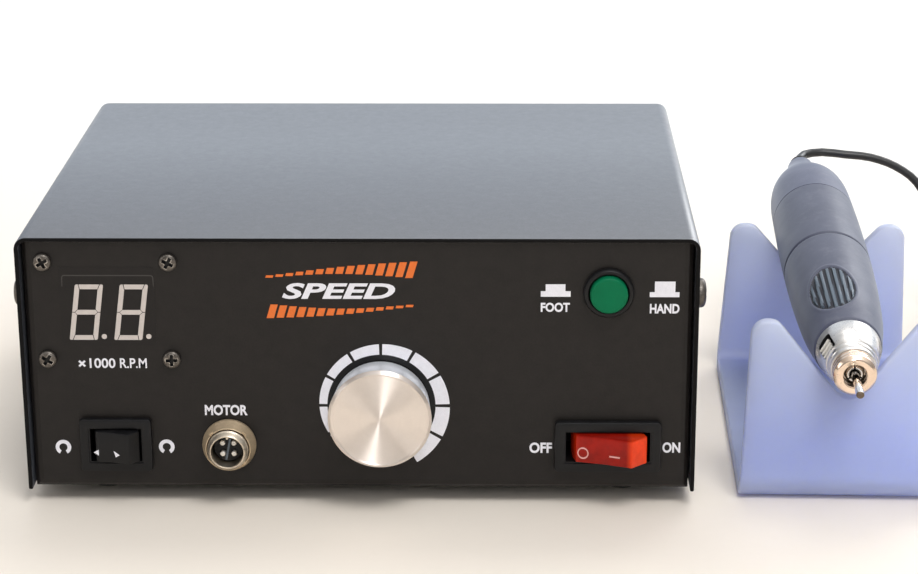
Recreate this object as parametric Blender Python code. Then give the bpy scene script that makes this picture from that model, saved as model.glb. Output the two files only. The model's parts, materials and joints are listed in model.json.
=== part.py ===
"""Dental lab micromotor: bench control unit, handpiece in its cradle, and cord.

Metres, +Z up, +Y towards the rear, +X to the right. The origin is the centre
of the control unit's underside. The rubber feet and the cradle stand one foot
height below it.
"""
import math

import bmesh
import bpy
from mathutils import Matrix, Vector

# Fits
FIT_GAP = 0.0003
CUT_OVERRUN = 0.002
MERGE_DISTANCE = 0.000001
ROUND_STEPS = 36
SMALL_STEPS = 16
CORNER_STEPS = 3

# Control unit box
BOX_WIDTH = 0.195
BOX_DEPTH = 0.155
BOX_HEIGHT = 0.0774
COVER_SHEET = 0.0012
COVER_BEND = 0.0035
COVER_CLEARANCE = 0.0004
CHASSIS_SHEET = 0.0012
CHASSIS_BEND = 0.0028
PANEL_RECESS = 0.0015
SIDE_FLANGE = 0.020

CHASSIS_WIDTH = BOX_WIDTH - 2 * (COVER_SHEET + COVER_CLEARANCE)
CHASSIS_DEPTH = BOX_DEPTH - 2 * PANEL_RECESS
CHASSIS_HEIGHT = BOX_HEIGHT - COVER_SHEET - COVER_CLEARANCE
PANEL_LEFT = -CHASSIS_WIDTH / 2
PANEL_RIGHT = CHASSIS_WIDTH / 2

# Feet
FOOT_HEIGHT = 0.005
FOOT_TOP_RADIUS = 0.0075
FOOT_BASE_RADIUS = 0.0062
FOOT_RECESS_RADIUS = 0.0032
FOOT_RECESS_DEPTH = 0.0022
FOOT_INSET = 0.019

# Cover screws
COVER_SCREW_HEAD_RADIUS = 0.0043
COVER_SCREW_HEAD_HEIGHT = 0.0026
COVER_SCREW_SHANK_RADIUS = 0.0018
COVER_SCREW_LENGTH = 0.0045
COVER_SCREW_INSET = 0.012
COVER_SCREW_DROP = 0.020
HEAD_DOME_SHARE = 0.45

# Display in the upper left of the panel
DISPLAY_WIDTH = 0.0263
DISPLAY_HEIGHT = 0.0227
DISPLAY_INSET = 0.0241
DISPLAY_DROP = 0.0194
DISPLAY_SINK = 0.0005
DISPLAY_THICKNESS = 0.008
DISPLAY_SCREW_SPAN_X = 0.0359
DISPLAY_SCREW_SPAN_Z = 0.0294
DISPLAY_SCREW_SHIFT = 0.0012
DISPLAY_SCREW_HEAD_RADIUS = 0.0026
DISPLAY_SCREW_HEAD_HEIGHT = 0.0015
DISPLAY_SCREW_SHANK_RADIUS = 0.0012
DISPLAY_SCREW_LENGTH = 0.007
DISPLAY_BOARD_THICKNESS = 0.0016
DISPLAY_BOARD_MARGIN = 0.0022
DISPLAY_POST_RADIUS = 0.0023
DISPLAY_POST_BORE_DEPTH = 0.0062

# One row of switches and the socket, and the places across the panel
SWITCH_ROW_HEIGHT = 0.0142
DIRECTION_SWITCH_INSET = 0.0248
POWER_SWITCH_INSET = 0.0238
MOTOR_SOCKET_INSET = 0.0578
KNOB_OFFSET = 0.0064
KNOB_CENTRE_HEIGHT = 0.0262
BUTTON_INSET = 0.0242
BUTTON_DROP = 0.0147

# Power rocker switch
POWER_BEZEL_WIDTH = 0.0309
POWER_BEZEL_HEIGHT = 0.0156
POWER_BEZEL_THICKNESS = 0.0025
POWER_BODY_WIDTH = 0.0276
POWER_BODY_HEIGHT = 0.0126
POWER_BODY_DEPTH = 0.0165
POWER_OPENING_WIDTH = 0.0245
POWER_OPENING_HEIGHT = 0.0092
POWER_ROCKER_RIDGE = 0.0045
POWER_PIVOT_DEPTH = 0.0010
POWER_THROW = 17.0

# Direction rocker switch
DIRECTION_BEZEL_WIDTH = 0.0210
DIRECTION_BEZEL_HEIGHT = 0.0164
DIRECTION_BEZEL_THICKNESS = 0.0022
DIRECTION_BODY_WIDTH = 0.0184
DIRECTION_BODY_HEIGHT = 0.0134
DIRECTION_BODY_DEPTH = 0.0150
DIRECTION_OPENING_WIDTH = 0.0150
DIRECTION_OPENING_HEIGHT = 0.0102
DIRECTION_ROCKER_RIDGE = 0.0029
DIRECTION_PIVOT_DEPTH = 0.0008
DIRECTION_THROW = 14.0

# Rocker shape, as shares of the opening's half width and of the ridge height
ROCKER_END_SHARE = 0.94
ROCKER_RIDGE_SHARE = 0.68
ROCKER_VALLEY_SHARE = 0.90
ROCKER_END_DROP_SHARE = 0.20
ROCKER_HEEL_SHARE = 0.78
ROCKER_HEEL_DROP_SHARE = 0.85
ROCKER_KEEL_SHARE = 0.25
ROCKER_KEEL_DROP_SHARE = 1.15
ROCKER_SIDE_GAP = 0.0004
ROCKER_PIN_RADIUS = 0.0010
ROCKER_PIN_REACH = 0.0010
SWITCH_CORNER = 0.0009
SWITCH_FLOOR = 0.0025
SWITCH_TAB_WIDTH = 0.0048
SWITCH_TAB_THICKNESS = 0.0008
SWITCH_TAB_LENGTH = 0.0075
SWITCH_TAB_PITCH = 0.0070

# Motor socket
SOCKET_BARREL_RADIUS = 0.0059
SOCKET_BORE_RADIUS = 0.00465
SOCKET_REACH = 0.0073
SOCKET_REAR = 0.0105
SOCKET_FLANGE_RADIUS = 0.0076
SOCKET_FLANGE_THICKNESS = 0.0020
SOCKET_RING_BASE_RADIUS = 0.00785
SOCKET_RING_TOP_RADIUS = 0.0069
SOCKET_RING_HEIGHT = 0.0050
SOCKET_KEY_WIDTH = 0.0013
SOCKET_KEY_HEIGHT = 0.0009
SOCKET_INSERT_FACE = 0.0018
SOCKET_PIN_RADIUS = 0.0007
SOCKET_PIN_PITCH = 0.0033
SOCKET_PIN_RISE = 0.0011
SOCKET_PIN_TAIL = 0.0040

# Speed knob and potentiometer
KNOB_BASE_RADIUS = 0.0149
KNOB_FACE_RADIUS = 0.0145
KNOB_HEIGHT = 0.0112
KNOB_LIFT = 0.0006
KNOB_CHAMFER = 0.0010
KNOB_DISH = 0.0002
KNOB_RECESS_RADIUS = 0.0072
KNOB_RECESS_DEPTH = 0.0058
POT_SHAFT_RADIUS = 0.0030
POT_SHAFT_REACH = 0.0092
POT_BUSH_RADIUS = 0.0043
POT_BUSH_REACH = 0.0050
POT_BODY_RADIUS = 0.0085
POT_BODY_DEPTH = 0.0090
POT_BORE_DEPTH = 0.0060
POT_NUT_RADIUS = 0.0062
POT_NUT_HEIGHT = 0.0022

# Foot or hand button
BUTTON_BEZEL_RADIUS = 0.0073
BUTTON_BEZEL_HEIGHT = 0.0022
BUTTON_BODY_RADIUS = 0.0062
BUTTON_BODY_DEPTH = 0.0160
BUTTON_WALL = 0.0005
BUTTON_CAP_RISE = 0.0018
BUTTON_CAP_CHAMFER = 0.0007
BUTTON_CAP_THICKNESS = 0.0050
BUTTON_STEM_RADIUS = 0.0032
BUTTON_STEM_LENGTH = 0.0080
BUTTON_STROKE = 0.0025
BUTTON_NUT_RADIUS = 0.0080
BUTTON_NUT_HEIGHT = 0.0020

# Rear panel pieces
INLET_INSET = 0.034
INLET_HEIGHT_UP = 0.024
INLET_FLANGE_WIDTH = 0.0310
INLET_FLANGE_HEIGHT = 0.0240
INLET_FLANGE_THICKNESS = 0.0025
INLET_BODY_WIDTH = 0.0272
INLET_BODY_HEIGHT = 0.0198
INLET_BODY_DEPTH = 0.0190
INLET_OPENING_WIDTH = 0.0242
INLET_OPENING_HEIGHT = 0.0168
INLET_OPENING_DEPTH = 0.0165
INLET_CORNER_CUT = 0.0045
INLET_PIN_WIDTH = 0.0020
INLET_PIN_HEIGHT = 0.0040
INLET_PIN_LENGTH = 0.0105
INLET_PIN_PITCH = 0.0070
INLET_PIN_RISE = 0.0020
FUSE_INSET = 0.034
FUSE_HEIGHT_UP = 0.055
FUSE_FLANGE_RADIUS = 0.0078
FUSE_FLANGE_HEIGHT = 0.0022
FUSE_CAP_RADIUS = 0.0058
FUSE_CAP_HEIGHT = 0.0052
FUSE_SLOT_WIDTH = 0.0012
FUSE_BODY_RADIUS = 0.0060
FUSE_BODY_DEPTH = 0.0280
FOOT_SOCKET_INSET = 0.030
FOOT_SOCKET_HEIGHT_UP = 0.024
FOOT_SOCKET_NUT_RADIUS = 0.0075
FOOT_SOCKET_NUT_HEIGHT = 0.0025
FOOT_SOCKET_THREAD_RADIUS = 0.0055
FOOT_SOCKET_THREAD_REACH = 0.0035
FOOT_SOCKET_BORE_RADIUS = 0.0033
FOOT_SOCKET_BODY_RADIUS = 0.0085
FOOT_SOCKET_BODY_DEPTH = 0.0200
FOOT_SOCKET_WALL = 0.0015
VENT_COUNT = 7
VENT_SLOT_WIDTH = 0.0030
VENT_SLOT_HEIGHT = 0.0240
VENT_PITCH = 0.0065
VENT_HEIGHT_UP = 0.044
VENT_OFFSET = 0.006

# Boards and transformer on the floor
BOARD_LENGTH = 0.092
BOARD_DEPTH = 0.078
BOARD_THICKNESS = 0.0016
BOARD_RIGHT_GAP = 0.006
BOARD_REAR_GAP = 0.026
POST_HEIGHT = 0.006
POST_RADIUS = 0.0030
POST_INSET = 0.0055
CAPACITOR_RADIUS = 0.0080
CAPACITOR_HEIGHT = 0.026
RELAY_WIDTH = 0.019
RELAY_DEPTH = 0.015
RELAY_HEIGHT = 0.015
TERMINAL_WIDTH = 0.030
TERMINAL_DEPTH = 0.008
TERMINAL_HEIGHT = 0.010
SINK_LENGTH = 0.052
SINK_BASE = 0.004
SINK_FIN_COUNT = 6
SINK_FIN_THICKNESS = 0.0015
SINK_FIN_PITCH = 0.0048
SINK_FIN_LENGTH = 0.012
SINK_HEIGHT = 0.030
SINK_FRONT_GAP = 0.006
SINK_SOCKET_GAP = 0.0044
CORE_WIDTH = 0.044
CORE_DEPTH = 0.024
CORE_HEIGHT = 0.046
CORE_LEFT_GAP = 0.012
CORE_REAR_GAP = 0.034
WINDING_WIDTH = 0.032
WINDING_DEPTH = 0.040
WINDING_HEIGHT = 0.026
WINDING_CORNER = 0.006

# Cradle
CRADLE_GAP = 0.0447
CRADLE_SETBACK = 0.0026
CRADLE_YAW = 1.4
CRADLE_LENGTH = 0.119
CRADLE_SHEET = 0.004
CRADLE_HEIGHT = 0.053
CRADLE_HALF_WIDTH = 0.0312
CRADLE_TOP_HALF_WIDTH = 0.0282
CRADLE_LEAN = 10.5
CRADLE_BEND = 0.007
LOBE_RADIUS = 0.0047
NOTCH_APEX_HEIGHT = 0.0282
NOTCH_RADIUS = 0.005
NOTCH_HALF_ANGLE = 40.0

# Handpiece: stations run rearwards from the lock ring's front face
HANDPIECE_LENGTH = 0.178
HANDPIECE_RADIUS = 0.0138
NOSE_OVERHANG = 0.0150
SEAT_GAP = 0.00045
GRIP_FRONT = 0.0160
GRIP_SEAM = 0.0800
SEAM_GROOVE = 0.0006
BODY_STATION_SHARES = (0.090, 0.124, 0.202, 0.326, 0.449, 0.596, 0.719, 0.820, 0.888, 0.944, 0.978, 1.0)
BODY_RADIUS_SHARES = (0.676, 0.743, 0.870, 0.957, 0.993, 1.0, 0.982, 0.949, 0.870, 0.717, 0.536, 0.348)
LOCK_RING_LENGTH = 0.0050
LOCK_RING_RADIUS = 0.0063
LOCK_RING_CHAMFER = 0.0010
LOCK_RING_MOUTH_RADIUS = 0.0034
LOCK_RING_MOUTH_DEPTH = 0.0024
LOCK_RING_BORE_RADIUS = 0.0048
NOSE_FRONT_RADIUS = 0.0066
NOSE_STEP = 0.0045
NOSE_STEP_RADIUS = 0.0078
NOSE_REAR_RADIUS = 0.0092
NOSE_BORE_RADIUS = 0.0044
NOSE_SPIGOT_RADIUS = 0.0074
NOSE_SPIGOT_REAR = 0.0340
NOSE_WINDOW_WIDTH = 0.0056
NOSE_WINDOW_LENGTH = 0.0052
NOSE_WINDOW_DEPTH = 0.0016
NOSE_WINDOW_ANGLE = 62.0
GRIP_SHOULDER = 0.0360
GRIP_SHOULDER_LENGTH = 0.0015
GRIP_PAD_STATION = 0.0400
GRIP_PAD_LENGTH = 0.0270
GRIP_PAD_WIDTH = 0.0150
GRIP_PAD_ANGLE = 17.0
GRIP_PAD_GROOVES = 6
GRIP_GROOVE_WIDTH = 0.0011
GRIP_GROOVE_DEPTH = 0.0006
SLEEVE_RADIUS = 0.0110
SLEEVE_BORE_RADIUS = 0.0097
SLEEVE_FRONT = 0.0390
SLEEVE_REAR = 0.1500
SLEEVE_END_WALL = 0.0095
REAR_CONE_START = 0.1520
REAR_CONE_MID = 0.1630
REAR_CONE_MID_RADIUS = 0.0090
REAR_CONE_END = 0.1715
BEARING_RADIUS = 0.0060
BEARING_WIDTH = 0.0060
FRONT_BEARING_STATION = 0.0225
REAR_BEARING_STATION = 0.1420
SPINDLE_NOSE_RADIUS = 0.0040
SPINDLE_RADIUS = 0.0030
SPINDLE_FRONT = 0.0034
SPINDLE_SHOULDER = 0.0335
SPINDLE_REAR = 0.1485
SPINDLE_BORE_RADIUS = 0.0030
SPINDLE_BORE_END = 0.0300
ROTOR_RADIUS = 0.0060
ROTOR_FRONT = 0.0700
ROTOR_REAR = 0.1120
STATOR_BORE_RADIUS = 0.0064
STATOR_RADIUS = 0.0094
STATOR_FRONT = 0.0670
STATOR_REAR = 0.1150
COLLET_RADIUS = 0.0027
COLLET_BORE_RADIUS = 0.00148
COLLET_FRONT = 0.0014
COLLET_REAR = 0.0260
COLLET_SLOT_WIDTH = 0.0005
COLLET_SLOT_LENGTH = 0.0110
COLLET_SLOTS = 3
BUR_RADIUS = 0.001175
BUR_TIP = 0.0130
BUR_REAR = 0.0275
BUR_CHAMFER = 0.0004
BOOT_RADIUS = 0.0032
BOOT_END_RADIUS = 0.0024
BOOT_FRONT = 0.1680
BOOT_TAPER = 0.1790
BOOT_END = 0.1840

# Cord: lead, coil and tail
CORD_DIAMETER = 0.003
CORD_POINT_SPACING = 0.007
COIL_CENTRE_X = 0.2165
COIL_CENTRE_Y = 0.0725
COIL_RADIUS = 0.022
COIL_TURN_PITCH = 0.0035
COIL_LAYER_PITCH = 0.00345
COIL_LAYERS = 4
COIL_LAYER_TURNS = 2.625
COIL_POINTS_PER_TURN = 24
LEAD_ROUTE = (
    (0.1492, 0.1108, 0.0500),
    (0.1560, 0.1136, 0.0502),
    (0.1646, 0.1130, 0.0495),
    (0.1734, 0.1128, 0.0485),
    (0.1824, 0.1122, 0.0454),
    (0.1902, 0.1104, 0.0398),
    (0.1956, 0.1066, 0.0300),
    (0.1980, 0.1010, 0.0175),
    (0.1974, 0.0940, 0.0065),
    (0.1955, 0.0865, -0.0008),
    (0.1947, 0.0800, -0.0032),
)
TAIL_ROUTE = (
    (0.1945, 0.0660, 0.0064),
    (0.1945, 0.0580, 0.0034),
    (0.1945, 0.0500, -0.0008),
    (0.1945, 0.0430, -0.0030),
    (0.1945, 0.0360, -0.0034),
    (0.1945, 0.0290, -0.0024),
    (0.1945, 0.0220, 0.0006),
    (0.1945, 0.0170, 0.0021),
)

# Cord plug, lying beside the coil
PLUG_REAR_Y = 0.0120
PLUG_BOOT_RADIUS = 0.0038
PLUG_SHELL_RADIUS = 0.0062
PLUG_SHELL_TAPER = 0.0070
PLUG_SHELL_LENGTH = 0.0300
PLUG_SHELL_BORE_RADIUS = 0.0045
PLUG_SHELL_BORE_DEPTH = 0.0120
PLUG_SHELL_NECK_RADIUS = 0.0055
PLUG_NECK_LENGTH = 0.0100
PLUG_NUT_RADIUS = 0.0073
PLUG_NUT_LENGTH = 0.0125
PLUG_NUT_LAP = 0.0085
PLUG_INSERT_LENGTH = 0.0110


def material(name, colour, roughness, metallic=0.0, alpha=1.0):
    """A plain Principled material in one colour."""
    made = bpy.data.materials.new(name)
    made.use_nodes = True
    shader = made.node_tree.nodes["Principled BSDF"]
    shader.inputs["Base Color"].default_value = (*colour, 1.0)
    shader.inputs["Roughness"].default_value = roughness
    shader.inputs["Metallic"].default_value = metallic
    shader.inputs["Alpha"].default_value = alpha
    return made


def frame(name, place=(0, 0, 0), turn=(0, 0, 0), parent=None):
    """An empty that carries the pieces of one group."""
    empty = bpy.data.objects.new(name, None)
    empty.location = place
    empty.rotation_euler = [math.radians(angle) for angle in turn]
    empty.parent = parent
    bpy.context.collection.objects.link(empty)
    return empty


def piece(name, mesh, finish, parent=None, place=(0, 0, 0), turn=(0, 0, 0)):
    """Turn a bmesh into a named object with its material."""
    data = bpy.data.meshes.new(name)
    mesh.to_mesh(data)
    mesh.free()
    data.shade_smooth()
    data.set_sharp_from_angle(angle=math.radians(35))
    made = bpy.data.objects.new(name, data)
    made.parent = parent
    made.location = place
    made.rotation_euler = [math.radians(angle) for angle in turn]
    bpy.context.collection.objects.link(made)
    if finish:
        data.materials.append(finish)
    return made


def boolean(target, mesh, operation, label):
    """Cut, join or intersect the target with a shape given in its own frame."""
    tool = piece(f"{target.name}_{label}", mesh, None, target)
    tool.hide_render = True
    tool.display_type = 'WIRE'
    change = target.modifiers.new(label, 'BOOLEAN')
    change.operation = operation
    change.solver = 'EXACT'
    change.object = tool
    return tool


def cut(target, mesh, label="cut"):
    return boolean(target, mesh, 'DIFFERENCE', label)


def join(target, mesh, label="join"):
    return boolean(target, mesh, 'UNION', label)


def arc(centre, radius, start, end, steps):
    """Points along an arc, angles in degrees, both ends included."""
    angles = [math.radians(start + (end - start) * step / steps) for step in range(steps + 1)]
    return [(centre[0] + radius * math.cos(a), centre[1] + radius * math.sin(a)) for a in angles]


def filleted(corners, steps=CORNER_STEPS):
    """A closed outline from (x, y, radius) corners, each rounded by its radius."""
    outline = []
    count = len(corners)
    for index, (x, y, radius) in enumerate(corners):
        here = Vector((x, y))
        if not radius:
            outline.append((x, y))
            continue
        before = Vector(corners[index - 1][:2])
        after = Vector(corners[(index + 1) % count][:2])
        back = (before - here).normalized()
        ahead = (after - here).normalized()
        half = back.angle(ahead) / 2
        reach = radius / math.tan(half)
        centre = here + (back + ahead).normalized() * radius / math.sin(half)
        first = here + back * reach - centre
        last = here + ahead * reach - centre
        sweep = first.angle_signed(last)
        for step in range(steps + 1):
            spoke = first.copy()
            spoke.rotate(Matrix.Rotation(-sweep * step / steps, 2))
            outline.append(tuple(centre + spoke))
    return outline


def rectangle(width, height, radius=0.0, steps=CORNER_STEPS):
    """A rectangle about the origin, with round corners."""
    half_x = width / 2
    half_y = height / 2
    signs = ((-1, -1), (1, -1), (1, 1), (-1, 1))
    return filleted([(x * half_x, y * half_y, radius) for x, y in signs], steps)


def add_prism(mesh, outline, low, high, matrix=None):
    """Extrude a closed outline along Z between two heights."""
    verts = [mesh.verts.new((x, y, low)) for x, y in outline]
    face = mesh.faces.new(verts)
    grown = bmesh.ops.extrude_face_region(mesh, geom=[face])
    top = [item for item in grown["geom"] if isinstance(item, bmesh.types.BMVert)]
    bmesh.ops.translate(mesh, verts=top, vec=(0, 0, high - low))
    if matrix:
        bmesh.ops.transform(mesh, matrix=matrix, verts=verts + top)
    bmesh.ops.recalc_face_normals(mesh, faces=mesh.faces)
    return verts + top


def prism(outline, low, high, matrix=None):
    mesh = bmesh.new()
    add_prism(mesh, outline, low, high, matrix)
    return mesh


def add_block(mesh, low, high, matrix=None):
    """A box between two corners."""
    corners = [(low[0], low[1]), (high[0], low[1]), (high[0], high[1]), (low[0], high[1])]
    return add_prism(mesh, corners, low[2], high[2], matrix)


def block(low, high):
    mesh = bmesh.new()
    add_block(mesh, low, high)
    return mesh


def add_turned(mesh, section, steps=ROUND_STEPS, matrix=None):
    """Spin a section of (radius, height) points about Z.

    A section that starts and ends on the axis makes a solid body. Any other
    section is closed first, and makes a ring.
    """
    verts = [mesh.verts.new((radius, 0, height)) for radius, height in section]
    edges = [mesh.edges.new(pair) for pair in zip(verts, verts[1:])]
    if section[0][0] > 0:
        edges.append(mesh.edges.new((verts[-1], verts[0])))
    before = set(mesh.verts) - set(verts)
    bmesh.ops.spin(mesh, geom=verts + edges, cent=(0, 0, 0), axis=(0, 0, 1),
                   angle=2 * math.pi, steps=steps, use_merge=True)
    made = [vert for vert in mesh.verts if vert not in before]
    bmesh.ops.remove_doubles(mesh, verts=made, dist=MERGE_DISTANCE)
    if matrix:
        made = [vert for vert in mesh.verts if vert not in before]
        bmesh.ops.transform(mesh, matrix=matrix, verts=made)
    bmesh.ops.recalc_face_normals(mesh, faces=mesh.faces)


def turned(section, steps=ROUND_STEPS, matrix=None):
    mesh = bmesh.new()
    add_turned(mesh, section, steps, matrix)
    return mesh


def drum(radius, low, high):
    """The section of a plain cylinder."""
    return [(0, low), (radius, low), (radius, high), (0, high)]


def ring(inner, outer, low, high):
    """The section of a plain ring."""
    return [(inner, low), (outer, low), (outer, high), (inner, high)]


FINISHES = {
    "cover": material("cover_textured_paint", (0.28, 0.30, 0.33), 0.65),
    "panel": material("panel_black_paint", (0.028, 0.024, 0.022), 0.55),
    "rubber": material("black_rubber", (0.02, 0.02, 0.02), 0.8),
    "black": material("black_plastic", (0.015, 0.015, 0.017), 0.4),
    "screw": material("blackened_steel", (0.12, 0.11, 0.10), 0.4, 0.9),
    "steel": material("nickel_plated_brass", (0.72, 0.70, 0.66), 0.25, 1.0),
    "display": material("display_filter", (0.02, 0.018, 0.02), 0.3),
    "board": material("circuit_board", (0.03, 0.16, 0.07), 0.5),
    "aluminium": material("spun_aluminium", (0.80, 0.76, 0.72), 0.3, 1.0),
    "green": material("green_button", (0.01, 0.24, 0.10), 0.4),
    "red": material("red_rocker", (0.65, 0.05, 0.02), 0.25),
    "transformer": material("laminated_steel", (0.20, 0.20, 0.21), 0.5, 0.8),
    "grip": material("soft_grip", (0.075, 0.078, 0.10), 0.6),
    "nose": material("handpiece_steel", (0.74, 0.72, 0.70), 0.22, 1.0),
    "dark_steel": material("tool_steel", (0.45, 0.44, 0.43), 0.25, 1.0),
    "cradle": material("translucent_cradle", (0.42, 0.45, 0.85), 0.35, 0.0, 0.85),
    "copper": material("stator_windings", (0.55, 0.22, 0.08), 0.4, 0.6),
    "cord": material("cord_jacket", (0.012, 0.012, 0.012), 0.5),
}


def bent_shell(width, depth, low, high, bend, steps=CORNER_STEPS):
    """A block whose upright corners and front and rear lower edges are round."""
    mesh = bmesh.new()
    bmesh.ops.create_cube(mesh, size=1)
    bmesh.ops.scale(mesh, vec=(width, depth, high - low), verts=mesh.verts)
    bmesh.ops.translate(mesh, vec=(0, 0, (low + high) / 2), verts=mesh.verts)
    middle = (low + high) / 2
    folds = []
    for edge in mesh.edges:
        first, last = (vert.co for vert in edge.verts)
        upright = abs(first.z - last.z) > middle / 2
        lower = first.z < middle and last.z < middle and abs(first.y - last.y) < bend
        if upright or lower:
            folds.append(edge)
    bmesh.ops.bevel(mesh, geom=folds, offset=bend, segments=steps, profile=0.5, affect='EDGES')
    bmesh.ops.recalc_face_normals(mesh, faces=mesh.faces)
    return mesh


def panel_frames():
    """Frames on the two panels' outer faces: +X right, +Y up, +Z outwards."""
    front = frame("front_panel", (0, -CHASSIS_DEPTH / 2, 0), (90, 0, 0))
    rear = frame("rear_panel", (0, CHASSIS_DEPTH / 2, 0), (90, 0, 180))
    return front, rear


def panel_places():
    """Centres of the front panel's pieces, in the panel's own frame."""
    row = SWITCH_ROW_HEIGHT
    display = (PANEL_LEFT + DISPLAY_INSET, CHASSIS_HEIGHT - DISPLAY_DROP)
    screws = [(display[0] + side * DISPLAY_SCREW_SPAN_X / 2,
               display[1] - DISPLAY_SCREW_SHIFT + rise * DISPLAY_SCREW_SPAN_Z / 2)
              for rise in (1, -1) for side in (-1, 1)]
    return {
        "display": display,
        "display_screws": screws,
        "direction": (PANEL_LEFT + DIRECTION_SWITCH_INSET, row),
        "socket": (PANEL_LEFT + MOTOR_SOCKET_INSET, row),
        "knob": (KNOB_OFFSET, KNOB_CENTRE_HEIGHT),
        "power": (PANEL_RIGHT - POWER_SWITCH_INSET, row),
        "button": (PANEL_RIGHT - BUTTON_INSET, CHASSIS_HEIGHT - BUTTON_DROP),
    }


def rear_places():
    """Centres of the rear panel's pieces, in that panel's own frame."""
    return {
        "inlet": (PANEL_RIGHT - INLET_INSET, INLET_HEIGHT_UP),
        "fuse": (PANEL_RIGHT - FUSE_INSET, FUSE_HEIGHT_UP),
        "foot_socket": (PANEL_LEFT + FOOT_SOCKET_INSET, FOOT_SOCKET_HEIGHT_UP),
    }


def cover_screw_places():
    """Depth and height of the cover screws, the same on both sides."""
    height = BOX_HEIGHT - COVER_SCREW_DROP
    reach = BOX_DEPTH / 2 - COVER_SCREW_INSET
    return [(-reach, height), (reach, height)]


def add_hole(mesh, place, radius, steps=SMALL_STEPS):
    """A round hole through a panel, in the panel's own frame."""
    matrix = Matrix.Translation((*place, 0))
    section = drum(radius + FIT_GAP, -CHASSIS_SHEET - CUT_OVERRUN, CUT_OVERRUN)
    add_turned(mesh, section, steps, matrix)


def add_window(mesh, place, width, height):
    """A rectangular hole through a panel, in the panel's own frame."""
    matrix = Matrix.Translation((*place, 0))
    outline = rectangle(width + 2 * FIT_GAP, height + 2 * FIT_GAP)
    add_prism(mesh, outline, -CHASSIS_SHEET - CUT_OVERRUN, CUT_OVERRUN, matrix)


def front_openings():
    places = panel_places()
    mesh = bmesh.new()
    add_window(mesh, places["display"], DISPLAY_WIDTH, DISPLAY_HEIGHT)
    add_window(mesh, places["direction"], DIRECTION_BODY_WIDTH, DIRECTION_BODY_HEIGHT)
    add_window(mesh, places["power"], POWER_BODY_WIDTH, POWER_BODY_HEIGHT)
    add_hole(mesh, places["socket"], SOCKET_BARREL_RADIUS)
    add_hole(mesh, places["knob"], POT_BUSH_RADIUS)
    add_hole(mesh, places["button"], BUTTON_BODY_RADIUS)
    for place in places["display_screws"]:
        add_hole(mesh, place, DISPLAY_SCREW_SHANK_RADIUS, SMALL_STEPS // 2)
    return mesh


def rear_openings():
    places = rear_places()
    mesh = bmesh.new()
    add_window(mesh, places["inlet"], INLET_BODY_WIDTH, INLET_BODY_HEIGHT)
    add_hole(mesh, places["fuse"], FUSE_BODY_RADIUS)
    add_hole(mesh, places["foot_socket"], FOOT_SOCKET_THREAD_RADIUS)
    for index in range(VENT_COUNT):
        across = VENT_OFFSET + (index - (VENT_COUNT - 1) / 2) * VENT_PITCH
        add_window(mesh, (across, VENT_HEIGHT_UP), VENT_SLOT_WIDTH, VENT_SLOT_HEIGHT)
    return mesh


def make_chassis(front, rear):
    """Floor, front and rear panels and four short side flanges, folded from one sheet."""
    sheet = CHASSIS_SHEET
    made = piece("chassis", bent_shell(CHASSIS_WIDTH, CHASSIS_DEPTH, 0, CHASSIS_HEIGHT, CHASSIS_BEND),
                 FINISHES["panel"])
    inside = bent_shell(CHASSIS_WIDTH - 2 * sheet, CHASSIS_DEPTH - 2 * sheet, sheet,
                        CHASSIS_HEIGHT + CUT_OVERRUN, CHASSIS_BEND - sheet)
    cut(made, inside, "inside")
    corner = COVER_BEND - COVER_SHEET - COVER_CLEARANCE
    half = CHASSIS_WIDTH / 2
    face = filleted([(-half, -sheet, 0), (half, -sheet, 0), (half, CHASSIS_HEIGHT, corner),
                     (-half, CHASSIS_HEIGHT, corner)], 4)
    upright = Matrix.Rotation(math.radians(90), 4, 'X')
    boolean(made, prism(face, -BOX_DEPTH, BOX_DEPTH, upright), 'INTERSECT', "top_corners")
    sides = bmesh.new()
    reach = CHASSIS_DEPTH / 2 - SIDE_FLANGE
    edge = CHASSIS_WIDTH / 2
    for side in (-1, 1):
        near = side * edge - sheet - CUT_OVERRUN
        add_block(sides, (near, -reach, sheet), (near + 2 * (sheet + CUT_OVERRUN), reach, BOX_HEIGHT))
    cut(made, sides, "sides")
    holes = bmesh.new()
    turn = Matrix.Rotation(math.radians(90), 4, 'Y')
    for depth, height in cover_screw_places():
        matrix = Matrix.Translation((0, depth, height)) @ turn
        section = drum(COVER_SCREW_SHANK_RADIUS + FIT_GAP, -BOX_WIDTH, BOX_WIDTH)
        add_turned(holes, section, SMALL_STEPS // 2, matrix)
    cut(made, holes, "screw_holes")
    for panel, openings, label in ((front, front_openings(), "front"), (rear, rear_openings(), "rear")):
        bmesh.ops.transform(openings, matrix=local_matrix(panel), verts=openings.verts)
        cut(made, openings, label)
    return made


def local_matrix(empty):
    """World matrix of a frame that stands directly in the world."""
    turn = empty.rotation_euler.to_matrix().to_4x4()
    return Matrix.Translation(empty.location) @ turn


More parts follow.
